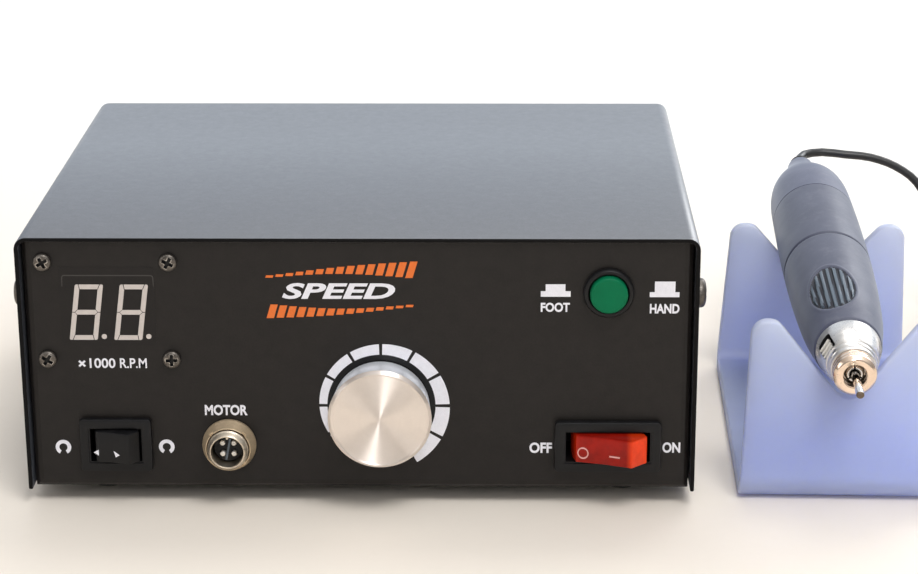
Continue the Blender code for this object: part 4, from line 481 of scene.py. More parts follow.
def make_turned_group():
    """Marks of a lathe tool about an axis: a height and a value that follow the radius and the length."""
    tree, given, out = shared_group(
        "Turned Metal",
        [("Centre", VECTOR, (0, 0, 0)), ("Axis", VECTOR, (0, 0, 1)), ("Pitch", FLOAT, 4000.0),
         ("Around", FLOAT, 0.02)],
        [("Height", FLOAT), ("Tone", FLOAT)])
    spoke = compute_vector(tree, 'SUBTRACT', object_place(tree), given["Centre"]).outputs["Vector"]
    along = compute_vector(tree, 'DOT_PRODUCT', spoke, given["Axis"]).outputs["Value"]
    parallel = add_node(tree, "ShaderNodeVectorMath", {0: given["Axis"], "Scale": along}, operation='SCALE')
    outward = compute_vector(tree, 'SUBTRACT', spoke, parallel.outputs["Vector"]).outputs["Vector"]
    reach = compute_vector(tree, 'LENGTH', outward).outputs["Value"]
    wander = compute(tree, 'MULTIPLY', noise(tree, spoke, 120.0, 1.0), given["Around"])
    wander = compute(tree, 'MULTIPLY', wander, 0.01)
    line = compute(tree, 'ADD', compute(tree, 'ADD', reach, along), wander)
    grooves = add_node(tree, "ShaderNodeTexNoise", {"W": line, "Scale": given["Pitch"], "Detail": 3.0,
                                                    "Roughness": 0.65}, noise_dimensions='1D').outputs["Fac"]
    coarse = add_node(tree, "ShaderNodeTexNoise", {"W": compute(tree, 'MULTIPLY', line, 0.13),
                                                   "Scale": given["Pitch"], "Detail": 2.0},
                      noise_dimensions='1D').outputs["Fac"]
    tree.links.new(grooves, out["Height"])
    tree.links.new(remap(tree, coarse, 0.3, 0.7), out["Tone"])
    return tree


def make_dust_group():
    """Fine pale dust on what faces up."""
    tree, given, out = shared_group(
        "Dust", [("Scale", FLOAT, 260.0), ("Amount", FLOAT, 0.2)], [("Mask", FLOAT)])
    normal = add_node(tree, "ShaderNodeNewGeometry").outputs["Normal"]
    up = add_node(tree, "ShaderNodeSeparateXYZ", {0: normal}).outputs["Z"]
    flat = remap(tree, up, 0.2, 0.95)
    specks = remap(tree, noise(tree, object_place(tree), given["Scale"], 8.0, 0.75), 0.5, 0.78)
    tree.links.new(compute(tree, 'MULTIPLY', compute(tree, 'MULTIPLY', flat, specks), given["Amount"]),
                   out["Mask"])
    return tree


GROUPS = {
    "mottle": make_mottle_group(),
    "grain": make_grain_group(),
    "edge": make_edge_group(),
    "scuff": make_scuff_group(),
    "turned": make_turned_group(),
    "dust": make_dust_group(),
}


class Finish:
    """A Principled material while its nodes are added."""

    def __init__(self, name, roughness=0.5, metallic=0.0, **shader_values):
        self.data = bpy.data.materials.new(name)
        self.data.use_nodes = True
        self.tree = self.data.node_tree
        self.shader = self.tree.nodes["Principled BSDF"]
        self.shader.inputs["Roughness"].default_value = roughness
        self.shader.inputs["Metallic"].default_value = metallic
        for label, value in shader_values.items():
            self.shader.inputs[label.replace("_", " ")].default_value = value
        self.heights = []

    def group(self, key, **values):
        """Place a shared group with its own values."""
        node = self.tree.nodes.new("ShaderNodeGroup")
        node.node_tree = GROUPS[key]
        for label, value in values.items():
            socket = node.inputs[label.replace("_", " ")]
            if isinstance(value, bpy.types.NodeSocket):
                self.tree.links.new(value, socket)
            else:
                socket.default_value = value
        return node.outputs

    def colour(self, value):
        self.tree.links.new(value, self.shader.inputs["Base Color"])

    def feed(self, label, value):
        self.tree.links.new(value, self.shader.inputs[label])

    def bump(self, height, depth, strength=1.0):
        """Feed a height into the normal, on top of what is there."""
        node = add_node(self.tree, "ShaderNodeBump", {"Height": height, "Distance": depth, "Strength": strength})
        if self.heights:
            self.tree.links.new(self.heights[-1], node.inputs["Normal"])
        self.heights.append(node.outputs["Normal"])
        self.tree.links.new(node.outputs["Normal"], self.shader.inputs["Normal"])


def tint(colour, share):
    """A colour made darker or lighter by a share."""
    return tuple(min(1.0, channel * share) for channel in colour[:3]) + (1.0,)


def opaque(colour):
    return tuple(colour[:3]) + (1.0,)


def coated(name, colour, roughness=0.5, shade=0.82, cloud=60.0, speckle=1800.0, speckle_share=0.5, grain=2500.0,
           depth=0.00002, spread=0.08, blur=90.0, rubbed_and_painted_highlight_colour=None, rubbed_and_painted_highlight_share=0.0, rubbed_and_painted_highlight_radius=0.0005, dust=0.0, scuffs=0.0, **shader):
    """Paint, plastic or rubber: mottled colour, moulded grain, rubbed edges that on some finishes are also a painted
    highlight, scuffs and dust.
    """
    made = Finish(name, **shader)
    base = made.group("mottle", Base=opaque(colour), Shade=tint(colour, shade), Cloud_Scale=cloud,
                      Speckle_Scale=speckle, Speckle_Share=speckle_share)["Color"]
    if rubbed_and_painted_highlight_colour and rubbed_and_painted_highlight_share:
        mask = made.group("edge", Radius=rubbed_and_painted_highlight_radius, Amount=rubbed_and_painted_highlight_share)["Mask"]
        base = mix_colour(made.tree, mask, base, opaque(rubbed_and_painted_highlight_colour))
    if scuffs:
        mask = made.group("scuff", Stretch=(1.0, 0.12, 1.0), Amount=scuffs)["Mask"]
        base = mix_colour(made.tree, mask, base, tint(colour, 1.9))
    if dust:
        mask = made.group("dust", Amount=dust)["Mask"]
        base = mix_colour(made.tree, mask, base, (0.62, 0.61, 0.59, 1.0))
    made.colour(base)
    surface = made.group("grain", Scale=grain, Roughness=roughness, Spread=spread, Blur=blur)
    made.feed("Roughness", surface["Roughness"])
    made.bump(surface["Height"], depth)
    return made


def machined(name, colour, centre, axis, roughness=0.25, pitch=4000.0, depth=0.000004, spread=0.08, dark=0.75,
             nicks=0.0, anisotropic=0.0, **shader):
    """Turned metal: grooves about its axis, uneven polish, small dark nicks."""
    made = Finish(name, metallic=1.0, Anisotropic=anisotropic, **shader)
    marks = made.group("turned", Centre=tuple(centre), Axis=tuple(axis), Pitch=pitch)
    clouds = made.group("mottle", Base=opaque(colour), Shade=tint(colour, dark), Cloud_Scale=220.0,
                        Speckle_Scale=2600.0, Speckle_Share=0.25)["Color"]
    toned = mix_colour(made.tree, compute(made.tree, 'MULTIPLY', marks["Tone"], 0.35), clouds, tint(colour, dark))
    if nicks:
        mask = made.group("scuff", Stretch=(0.5, 0.5, 0.5), Scale=1500.0, Patches=260.0, Amount=nicks)["Mask"]
        toned = mix_colour(made.tree, mask, toned, (0.05, 0.045, 0.04, 1.0))
    made.colour(toned)
    surface = made.group("grain", Scale=1400.0, Roughness=roughness, Spread=spread, Blur=300.0)
    made.feed("Roughness", surface["Roughness"])
    made.bump(marks["Height"], depth)
    if anisotropic:
        made.feed("Tangent", add_node(made.tree, "ShaderNodeTangent", direction_type='RADIAL', axis='Y').outputs[0])
    return made


def srgb(red, green, blue):
    """Screen colour numbers from 0 to 255 as a linear colour."""
    return tuple((c / 255 / 12.92) if c <= 10 else ((c / 255 + 0.055) / 1.055) ** 2.4 for c in (red, green, blue))


# What a user can change
def length(name, description, default):
    return bpy.props.FloatProperty(name=name, description=description, default=default, min=0.0, precision=5,
                                   unit='LENGTH')


def paint(name, description, default):
    return bpy.props.FloatVectorProperty(name=name, description=description, default=default, size=3, min=0.0,
                                         max=1.0, subtype='COLOR')


def portion(name, description, default):
    return bpy.props.FloatProperty(name=name, description=description, default=default, min=0.0, max=1.0,
                                   subtype='FACTOR')


class MicromotorColours(bpy.types.PropertyGroup):
    cover: paint("Cover", "Powder coat of the cover", srgb(74, 77, 85))
    panel: paint("Panel", "Paint of the front and rear panel", srgb(27, 23, 21))
    legend: paint("Legend", "Printed words and marks", srgb(232, 231, 238))
    ramp: paint("Ramp", "Printed orange speed ramp", srgb(226, 110, 34))
    black: paint("Black plastic", "Switch housings, insert and bezels", srgb(15, 15, 17))
    filter: paint("Display filter", "Smoked window in front of the digits", srgb(14, 11, 14))
    segment: paint("Segment", "Unlit digit segments", srgb(198, 189, 183))
    red: paint("Power rocker", "Translucent red of the power rocker", srgb(156, 22, 8))
    # Painted glow: light coming through the thin rocker, put into its colour.
    glow: paint("Power rocker glow", "Where the red rocker is thin and light passes", srgb(236, 64, 14))
    green: paint("Button", "Cap of the foot or hand button", srgb(3, 106, 68))
    knob: paint("Knob", "Spun aluminium", (0.88, 0.80, 0.74))
    nickel: paint("Nickel", "Plated brass of the socket, plug and nuts", (0.80, 0.75, 0.67))
    steel: paint("Steel", "Nose, lock ring and tools", (0.82, 0.79, 0.76))
    grip: paint("Grip", "Soft coating of the handpiece", srgb(70, 73, 92))
    cradle: paint("Cradle", "Tinted translucent sheet", srgb(182, 195, 255))
    cord: paint("Cord", "Jacket of the cord", srgb(30, 30, 31))
    rubber: paint("Rubber", "Feet and cord boot", srgb(34, 34, 36))
    board: paint("Circuit board", "Solder mask", (0.02, 0.16, 0.07))
    floor: paint("Floor", "Pale floor under the object", (0.84, 0.765, 0.67))


def colours():
    return bpy.context.scene.micromotor_colours


MADE = {}


def material(key):
    """The material of a finish, built at its first use."""
    if key not in MADE:
        MADE[key] = FINISH_MAKERS[key]().data
    return MADE[key]


def hand_point(station):
    return HAND @ Vector((0, 0, station))


HAND_AXIS = (HAND.to_3x3() @ Vector((0, 0, 1))).normalized()
PANEL_AXIS = Vector((0, -1, 0))


def panel_point(x, z):
    return Vector((x, PANEL_Y, z))


def ink(name, colour, roughness=0.45):
    return coated(name, colour, roughness, shade=0.86, cloud=900.0, speckle=5200.0, speckle_share=0.6,
                  grain=6000.0, depth=0.000004, spread=0.06)


def display_filter():
    made = coated("display_filter", colours().filter, 0.3, shade=0.8, cloud=120.0, speckle=400.0, grain=700.0,
                  depth=0.0000015, spread=0.05, dust=0.02, Specular_IOR_Level=0.2)
    return made


def rocker_red():
    """Red with a painted glow, orange towards the rocker's right end where it is thin and a little at its left end, and
    painted shade that darkens its top.
    """
    made = Finish("rocker_red", Coat_Weight=0.1, Coat_Roughness=0.1, Specular_IOR_Level=0.18)
    place = add_node(made.tree, "ShaderNodeSeparateXYZ", {0: object_place(made.tree)}).outputs["X"]
    low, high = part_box("power_rocker")
    span = high.x - low.x
    # Painted glow towards both ends of the rocker.
    right = remap(made.tree, place, low.x + span * 0.72, low.x + span * 0.80)
    left = remap(made.tree, place, low.x + span * 0.12, low.x, 0.0, 0.45)
    clouds = made.group("mottle", Base=opaque(colours().red), Shade=tint(colours().red, 0.66), Cloud_Scale=240.0,
                        Speckle_Scale=900.0, Speckle_Share=0.15)["Color"]
    glow = made.group("mottle", Base=opaque(colours().glow), Shade=tint(colours().glow, 0.8), Cloud_Scale=300.0,
                      Speckle_Scale=900.0, Speckle_Share=0.2)["Color"]
    lit = mix_colour(made.tree, compute(made.tree, 'ADD', right, left, clamp=True), clouds, glow)
    # Painted shade: the top darkens towards a deep red.
    rise = add_node(made.tree, "ShaderNodeSeparateXYZ", {0: object_place(made.tree)}).outputs["Z"]
    shade = remap(made.tree, rise, high.z - 0.0019, high.z - 0.0009, 0.0, 0.9)
    made.colour(mix_colour(made.tree, shade, lit, opaque(tint(colours().red, 0.4))))
    surface = made.group("grain", Scale=1800.0, Roughness=0.2, Spread=0.06)
    made.feed("Roughness", surface["Roughness"])
    made.bump(surface["Height"], 0.000004)
    return made


def cradle_plastic():
    """Frosted, tinted sheet: paler where it is cut, which is partly a painted highlight, paler towards the top as
    painted light, faint haze and finger marks inside.
    """
    made = Finish("cradle_plastic", Transmission_Weight=0.4, IOR=1.4, Coat_Weight=0.2, Coat_Roughness=0.15,
                  Subsurface_Weight=0.8, Subsurface_Scale=0.02, Subsurface_Radius=(1.0, 1.0, 1.0))
    base = made.group("mottle", Base=opaque(colours().cradle), Shade=tint(colours().cradle, 0.9),
                      Cloud_Scale=26.0, Speckle_Scale=700.0, Speckle_Share=0.12)["Color"]
    # Paler cut edges: partly the frosted cut, partly a painted highlight.
    edge = made.group("edge", Radius=0.0016, Break_Up=90.0, Amount=0.75)["Mask"]
    base = mix_colour(made.tree, edge, base, opaque(srgb(232, 240, 255)))
    # Painted light: paler towards the top, where the lobes catch light.
    height = add_node(made.tree, "ShaderNodeSeparateXYZ", {0: object_place(made.tree)}).outputs["Z"]
    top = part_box("cradle")[1].z
    pale = remap(made.tree, height, top - 0.034, top - 0.002, 0.0, 0.6)
    base = mix_colour(made.tree, pale, base, opaque(srgb(216, 226, 255)))
    scuff = made.group("scuff", Stretch=(1.0, 0.2, 1.0), Scale=500.0, Patches=30.0, Amount=0.12)["Mask"]
    made.colour(mix_colour(made.tree, scuff, base, opaque(srgb(214, 222, 250))))
    surface = made.group("grain", Scale=500.0, Roughness=0.5, Spread=0.06, Blur=45.0)
    made.feed("Roughness", surface["Roughness"])
    made.bump(surface["Height"], 0.000012)
    return made


def circuit_board():
    """Solder mask with lighter tracks in two directions and pale pads."""
    made = Finish("circuit_board", Coat_Weight=0.3, Coat_Roughness=0.15)
    place = object_place(made.tree)
    parts = add_node(made.tree, "ShaderNodeSeparateXYZ", {0: place}).outputs
    tracks = []
    for along, cells in ((parts["X"], 300.0), (parts["Y"], 260.0)):
        stripe = compute(made.tree, 'FRACT', compute(made.tree, 'MULTIPLY', along, cells))
        tracks.append(remap(made.tree, stripe, 0.62, 0.68))
    chooser = remap(made.tree, noise(made.tree, place, 90.0, 0.0), 0.49, 0.51)
    turn = add_node(made.tree, "ShaderNodeMix", {0: chooser, 2: tracks[0], 3: tracks[1]}, data_type='FLOAT')
    base = made.group("mottle", Base=opaque(colours().board), Shade=tint(colours().board, 0.75),
                      Cloud_Scale=140.0, Speckle_Scale=1500.0)["Color"]
    lit = mix_colour(made.tree, compute(made.tree, 'MULTIPLY', turn.outputs[0], 0.5), base,
                     tint(colours().board, 2.4))
    pads = add_node(made.tree, "ShaderNodeTexVoronoi", {"Vector": place, "Scale": 420.0}).outputs["Distance"]
    lit = mix_colour(made.tree, remap(made.tree, pads, 0.2, 0.16), lit, (0.6, 0.58, 0.5, 1.0))
    made.colour(lit)
    surface = made.group("grain", Scale=1500.0, Roughness=0.4, Spread=0.1)
    made.feed("Roughness", surface["Roughness"])
    made.bump(turn.outputs[0], 0.00004)
    return made


def striped_metal(name, colour, shade, axis, pitch, roughness, depth, metallic=1.0):
    """Thin layers along an axis: laminations, windings or extruded fins."""
    made = Finish(name, metallic=metallic)
    place = object_place(made.tree)
    part = add_node(made.tree, "ShaderNodeSeparateXYZ", {0: place}).outputs[axis]
    wave = compute(made.tree, 'SINE', compute(made.tree, 'MULTIPLY', part, 2 * math.pi / pitch))
    stripe = remap(made.tree, wave, -1.0, 1.0)
    base = made.group("mottle", Base=opaque(colour), Shade=opaque(shade), Cloud_Scale=150.0,
                      Speckle_Scale=1600.0)["Color"]
    made.colour(mix_colour(made.tree, compute(made.tree, 'MULTIPLY', stripe, 0.5), base, tint(shade, 0.7)))
    surface = made.group("grain", Scale=1500.0, Roughness=roughness, Spread=0.1)
    made.feed("Roughness", surface["Roughness"])
    made.bump(stripe, depth)
    return made


def spun(name, colour, centre, axis, **values):
    return machined(name, colour, centre, axis, **values)


def socket_point():
    low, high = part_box("motor_socket_ring_nut")
    return (low + high) / 2


def knob_point():
    low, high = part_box("speed_knob")
    return (low + high) / 2


def middle_of(node):
    low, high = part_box(node)
    return (low + high) / 2


FINISH_MAKERS = {
    "cover": lambda: coated("cover_powder_coat", colours().cover, 0.42, shade=0.55, cloud=500.0, speckle=2200.0,
                            speckle_share=0.8, grain=1700.0, depth=0.00003, spread=0.05, blur=420.0,
                            rubbed_and_painted_highlight_colour=srgb(120, 122, 126), rubbed_and_painted_highlight_share=0.3, rubbed_and_painted_highlight_radius=0.0004, dust=0.05, scuffs=0.06,
                            Coat_Weight=1.0, Coat_Roughness=0.38, Coat_IOR=1.58),
    # Painted shade: a near-black finish for the cover sheet's front and rear edges.
    "cover_edge": lambda: coated("painted_shade_cover_edges", srgb(12, 11, 12), 0.6, shade=0.7, cloud=300.0, speckle=2200.0,
                                 grain=1700.0, depth=0.00001, Specular_IOR_Level=0.12),
    "panel": lambda: coated("panel_satin_paint", colours().panel, 0.5, shade=0.62, cloud=220.0, speckle=1500.0,
                            speckle_share=0.55, grain=2200.0, depth=0.00002, spread=0.06, blur=300.0,
                            rubbed_and_painted_highlight_colour=srgb(74, 70, 68), rubbed_and_painted_highlight_share=0.3, dust=0.04, Specular_IOR_Level=0.3),
    "legend": lambda: ink("legend_ink", colours().legend),
    "ramp": lambda: ink("orange_ink", colours().ramp),
    "black": lambda: coated("black_switch_plastic", colours().black, 0.38, shade=0.7, cloud=150.0,
                            speckle=2400.0, grain=2600.0, depth=0.000012, rubbed_and_painted_highlight_colour=srgb(60, 60, 66), rubbed_and_painted_highlight_share=0.3,
                            rubbed_and_painted_highlight_radius=0.0003, dust=0.02, Specular_IOR_Level=0.28),
    "filter": display_filter,
    "film": lambda: coated("window_film", srgb(22, 18, 17), 0.45, shade=0.7, cloud=220.0, speckle=1500.0,
                           grain=2200.0, depth=0.000008, spread=0.05, dust=0.02, Specular_IOR_Level=0.3),
    "glint": lambda: ink("window_glint_painted_highlight", srgb(54, 51, 49)),
    "key_mark": lambda: ink("key_mark_ink", srgb(226, 168, 160)),
    "segment": lambda: coated("unlit_segment", colours().segment, 0.3, shade=0.9, cloud=500.0, speckle=3000.0,
                              grain=3000.0, depth=0.000003),
    "red": rocker_red,
    "green": lambda: coated("green_button_plastic", colours().green, 0.42, shade=0.84, cloud=200.0,
                            speckle=1800.0, speckle_share=0.3, grain=2200.0, depth=0.000006,
                            rubbed_and_painted_highlight_colour=srgb(60, 170, 128), rubbed_and_painted_highlight_share=0.3, rubbed_and_painted_highlight_radius=0.0004,
                            Specular_IOR_Level=0.12),
    "knob": lambda: machined("spun_aluminium", colours().knob, knob_point(), PANEL_AXIS, 0.4, pitch=5200.0,
                             depth=0.0000012, spread=0.02, dark=0.93, anisotropic=0.97, Anisotropic_Rotation=0.25),
    "knob_side": lambda: coated("satin_aluminium", (0.92, 0.95, 0.99), 0.36, shade=0.9, cloud=500.0,
                                speckle=2600.0, grain=2600.0, depth=0.000004, Metallic=0.55),
    # Painted reflection: the socket's nickel is made warmer than the plain nickel, standing for the table reflected in
    # it.
    "nickel": lambda: machined("nickel_plated_brass", (0.88, 0.77, 0.62), socket_point(), PANEL_AXIS, 0.34,
                               pitch=3600.0, depth=0.000005, dark=0.55, nicks=0.8),
    # Painted reflection: the ring nut's tan stands for the warm table reflected in it; its bright rim is wear and
    # painted highlight.
    "ring_nut_painted_warm_reflection": lambda: coated("ring_nut_painted_warm_reflection", srgb(206, 184, 152), 0.4, shade=0.8, cloud=500.0, speckle=2600.0,
                                  grain=2600.0, depth=0.000006, rubbed_and_painted_highlight_colour=srgb(244, 234, 214), rubbed_and_painted_highlight_share=0.5,
                                  rubbed_and_painted_highlight_radius=0.0003, Metallic=0.6),
    "rear_nickel": lambda: machined("rear_jack_nickel", colours().nickel, REAR @ Vector((-0.0659, 0.024, 0)),
                                    (0, 1, 0), 0.22, pitch=3600.0, dark=0.6, nicks=0.5),
    "plug_nickel": lambda: machined("plug_nickel", colours().nickel, PLUG.translation, (0, -1, 0), 0.24,
                                    pitch=3600.0, dark=0.6, nicks=0.5),
    "nose": lambda: machined("turned_nose_steel", colours().steel, hand_point(0), HAND_AXIS, 0.3, pitch=5200.0,
                             depth=0.000004, dark=0.72, nicks=0.35),
    # Painted reflection: the collar's warm tan stands for the table reflected in it.
    "collar": lambda: machined("collar_steel_painted_warm_reflection", (0.92, 0.73, 0.58), hand_point(0), HAND_AXIS, 0.2, pitch=5200.0,
                               depth=0.000004, dark=0.8, nicks=0.3),
    "tool": lambda: machined("tool_steel", tint(colours().steel, 0.78), hand_point(0), HAND_AXIS, 0.16,
                             pitch=4200.0, depth=0.000003, dark=0.7),
    "bur": lambda: machined("bur_steel", colours().steel, hand_point(0), HAND_AXIS, 0.14, pitch=5200.0,
                            depth=0.000002, dark=0.8),
    # Worn rims, whitened so far that they also stand in for their highlight: wear and painted highlight.
    "screw": lambda: coated("black_screw_rubbed_rim_and_painted_highlight", srgb(112, 106, 100), 0.36, shade=0.45, cloud=500.0, speckle=2400.0,
                            grain=2600.0, depth=0.00001, rubbed_and_painted_highlight_colour=srgb(236, 228, 218), rubbed_and_painted_highlight_share=1.0,
                            rubbed_and_painted_highlight_radius=0.0005, Metallic=0.9),
    "grip": lambda: coated("soft_touch_grip", colours().grip, 0.5, shade=0.86, cloud=34.0, speckle=2600.0,
                           speckle_share=0.35, grain=3400.0, depth=0.000012, spread=0.07,
                           rubbed_and_painted_highlight_colour=srgb(122, 124, 138), rubbed_and_painted_highlight_share=0.4, rubbed_and_painted_highlight_radius=0.0005, dust=0.1,
                           Sheen_Weight=0.35, Sheen_Roughness=0.4, Sheen_Tint=(0.8, 0.88, 1.0, 1.0)),
    # Lighter than the grip: partly a lighter cap, partly painted light from above.
    "cap": lambda: coated("soft_touch_cap_partly_painted_light", tint(colours().grip, 1.4), 0.5, shade=0.88, cloud=60.0, speckle=2600.0,
                          speckle_share=0.4, grain=3400.0, depth=0.000012, spread=0.06, dust=0.1, Sheen_Weight=0.4,
                          Sheen_Roughness=0.4, Sheen_Tint=(0.8, 0.88, 1.0, 1.0)),
    # Painted highlight on the pad's ribs and painted shade in its grooves.
    "rib": lambda: coated("grip_rib_painted_highlight", srgb(92, 104, 116), 0.45, shade=0.85, cloud=200.0, speckle=2600.0,
                          grain=3000.0, depth=0.00001),
    "groove": lambda: coated("grip_groove_painted_shade", srgb(42, 43, 52), 0.6, shade=0.8, cloud=200.0, speckle=2600.0,
                             grain=3000.0, depth=0.00001),
    "pin": lambda: coated("bright_pin", srgb(232, 228, 220), 0.34, shade=0.9, cloud=500.0, speckle=2400.0,
                          grain=1600.0, depth=0.000004, Metallic=0.35),
    "tip": lambda: coated("ground_tip", srgb(118, 102, 86), 0.5, shade=0.7, cloud=900.0, speckle=3000.0,
                          grain=3000.0, depth=0.000006, Metallic=0.6),
    "rubber": lambda: coated("black_rubber", colours().rubber, 0.62, shade=0.8, cloud=120.0, speckle=1500.0,
                             grain=1900.0, depth=0.00002, dust=0.3, rubbed_and_painted_highlight_colour=srgb(84, 83, 84), rubbed_and_painted_highlight_share=0.35),
    "cord": lambda: coated("cord_jacket", colours().cord, 0.36, shade=0.75, cloud=60.0, speckle=1600.0,
                           speckle_share=0.3, grain=1800.0, depth=0.000012, spread=0.1, dust=0.15),
    "tie": lambda: coated("woven_tie", srgb(60, 60, 64), 0.85, shade=0.6, cloud=200.0, speckle=2400.0,
                          speckle_share=0.8, grain=2600.0, depth=0.00012, dust=0.2),
    "cradle": cradle_plastic,
    "board": circuit_board,
    "laminated": lambda: striped_metal("laminated_core", (0.22, 0.22, 0.23), (0.1, 0.1, 0.1), "Y", 0.0007, 0.5,
                                       0.00006),
    "copper": lambda: striped_metal("stator_copper", (0.62, 0.26, 0.10), (0.35, 0.12, 0.05), "Y", 0.0005, 0.35,
                                    0.00005),
    "sink": lambda: striped_metal("anodised_fins", (0.34, 0.35, 0.37), (0.2, 0.2, 0.22), "Z", 0.0006, 0.42,
                                  0.00001),
    "sleeve": lambda: machined("motor_sleeve_steel", colours().nickel, hand_point(0), HAND_AXIS, 0.32,
                               pitch=2600.0, dark=0.7),
    "pot": lambda: machined("pot_zinc", colours().nickel, knob_point(), PANEL_AXIS, 0.34, pitch=2600.0,
                            dark=0.6),
    "prong": lambda: coated("tinned_prong", srgb(176, 172, 164), 0.28, shade=0.7, cloud=500.0, speckle=2400.0,
                            grain=1600.0, depth=0.00001, Metallic=1.0),
}


# Stage
class StageSettings(bpy.types.PropertyGroup):
    lens: bpy.props.FloatProperty(name="Lens", description="Focal length of the camera in millimetres",
                                  default=95.35, min=10.0, max=400.0)
    pitch: bpy.props.FloatProperty(name="Pitch", description="How far the camera looks down",
                                   default=math.radians(18.58), subtype='ANGLE')
    yaw: bpy.props.FloatProperty(name="Yaw", description="How far the camera looks to the side",
                                 default=math.radians(-1.12), subtype='ANGLE')
    roll: bpy.props.FloatProperty(name="Roll", description="How far the camera leans",
                                  default=math.radians(-0.23), subtype='ANGLE')
    place: bpy.props.FloatVectorProperty(name="Camera place", description="Where the camera stands", size=3,
                                         default=(0.04187, -0.73303, 0.28340), subtype='TRANSLATION',
                                         unit='LENGTH', precision=5)
    floor_radius: length("Floor radius", "Half the width of the floor", 3.0)
    floor_level: length("Floor depth", "How far the floor lies below the case", 0.005)


def camera_matrix(stage):
    """The camera's place and turn."""
    forward = Vector((math.sin(stage.yaw) * math.cos(stage.pitch), math.cos(stage.yaw) * math.cos(stage.pitch),
                      -math.sin(stage.pitch)))
    level = Vector((math.cos(stage.yaw), -math.sin(stage.yaw), 0))
    above = level.cross(forward)
    right = math.cos(stage.roll) * level + math.sin(stage.roll) * above
    up = -math.sin(stage.roll) * level + math.cos(stage.roll) * above
    turn = Matrix((right, up, -forward)).transposed().to_4x4()
    return Matrix.Translation(stage.place) @ turn


def make_camera(stage):
    data = bpy.data.cameras.new("camera")
    data.lens = stage.lens
    data.sensor_width = 36.0
    data.clip_start = 0.01
    camera = bpy.data.objects.new("camera", data)
    bpy.context.scene.collection.objects.link(camera)
    camera.matrix_world = camera_matrix(stage)
    bpy.context.scene.camera = camera


def make_floor(stage):
    mesh = bmesh.new()
    bmesh.ops.create_circle(mesh, cap_ends=True, segments=ROUND, radius=stage.floor_radius)
    bmesh.ops.translate(mesh, vec=(0, 0, -stage.floor_level), verts=mesh.verts)
    finish = coated("floor_paint", colours().floor, 0.6, shade=0.985, cloud=6.0, speckle=300.0, grain=500.0,
                    depth=0.00001, spread=0.05)
    tree = finish.tree
    depth = add_node(tree, "ShaderNodeSeparateXYZ", {0: object_place(tree)}).outputs["Y"]
    near = finish.shader.inputs["Base Color"].links[0].from_socket
    finish.colour(mix_colour(tree, remap(tree, depth, 0.05, 0.55), near, (0.93, 0.93, 0.93, 1.0)))
    away = add_node(tree, "ShaderNodeVectorMath", {0: object_place(tree)})
    away.operation = 'LENGTH'
    direct = add_node(tree, "ShaderNodeLightPath").outputs["Is Camera Ray"]
    haze = compute(tree, 'MULTIPLY', direct, remap(tree, away.outputs["Value"], 0.7, 1.7))
    glow = mix_colour(tree, haze, (0.0, 0.0, 0.0, 1.0), (1.0, 1.0, 1.0, 1.0))
    tree.links.new(glow, finish.shader.inputs["Emission Color"])
    finish.shader.inputs["Emission Strength"].default_value = 1.0
    build("floor", mesh, finish.data)


def make_lamp(name, place, target, width, height, watts, colour=(1.0, 1.0, 1.0)):
    data = bpy.data.lights.new(name, 'AREA')
    data.shape = 'RECTANGLE'
    data.size = width
    data.size_y = height
    data.energy = watts
    data.color = colour
    lamp = bpy.data.objects.new(name, data)
    bpy.context.scene.collection.objects.link(lamp)
    towards = Vector(target) - Vector(place)
    turn = towards.to_track_quat('-Z', 'Y').to_matrix().to_4x4()
    lamp.matrix_world = Matrix.Translation(place) @ turn


def make_world():
    """A soft grey room for the light, and a paler one for what the camera and polished metal see."""
    world = bpy.data.worlds.new("studio")
    world.use_nodes = True
    bpy.context.scene.world = world
    tree = world.node_tree
    tree.nodes.clear()
    seen = add_node(tree, "ShaderNodeLightPath").outputs
    direct = compute(tree, 'ADD', seen["Is Camera Ray"], seen["Is Transmission Ray"], clamp=True)
    place = add_node(tree, "ShaderNodeTexCoord").outputs["Generated"]
    parts = add_node(tree, "ShaderNodeSeparateXYZ", {0: place}).outputs
    room = add_node(tree, "ShaderNodeValToRGB", {0: remap(tree, parts["Z"], -0.2, 1.0)})
    ramp = room.color_ramp
    ramp.elements[0].color = (0.20, 0.19, 0.18, 1)
    ramp.elements[1].color = (1.0, 1.0, 1.0, 1)
    middle = ramp.elements.new(0.45)
    middle.color = (0.44, 0.44, 0.45, 1)
    upper = ramp.elements.new(0.68)
    upper.color = (0.92, 0.91, 0.89, 1)
    low = compute(tree, 'MULTIPLY', remap(tree, parts["Y"], 0.0, 0.6), remap(tree, parts["Z"], 0.8, 0.55))
    ahead = mix_colour(tree, low, room.outputs[0], (0.87, 0.95, 1.06, 1.0))
    left = remap(tree, parts["X"], -0.3, -0.8, 0.0, 0.7)
    ahead = mix_colour(tree, left, ahead, (0.20, 0.18, 0.17, 1.0))
    around = mix_colour(tree, remap(tree, parts["Z"], 0.12, 1.0), (0.15, 0.15, 0.15, 1.0), (1.04, 1.06, 1.10, 1.0))
    left = remap(tree, parts["X"], 0.3, -0.8, 0.0, 0.6)
    around = mix_colour(tree, left, around, (0.22, 0.21, 0.21, 1.0))
    glossy = mix_colour(tree, seen["Is Glossy Ray"], around, ahead)
    colour = mix_colour(tree, direct, glossy, (1.0, 1.0, 1.0, 1.0))
    background = add_node(tree, "ShaderNodeBackground", {"Color": colour, "Strength": 1.0})
    output = add_node(tree, "ShaderNodeOutputWorld")
    tree.links.new(background.outputs[0], output.inputs["Surface"])


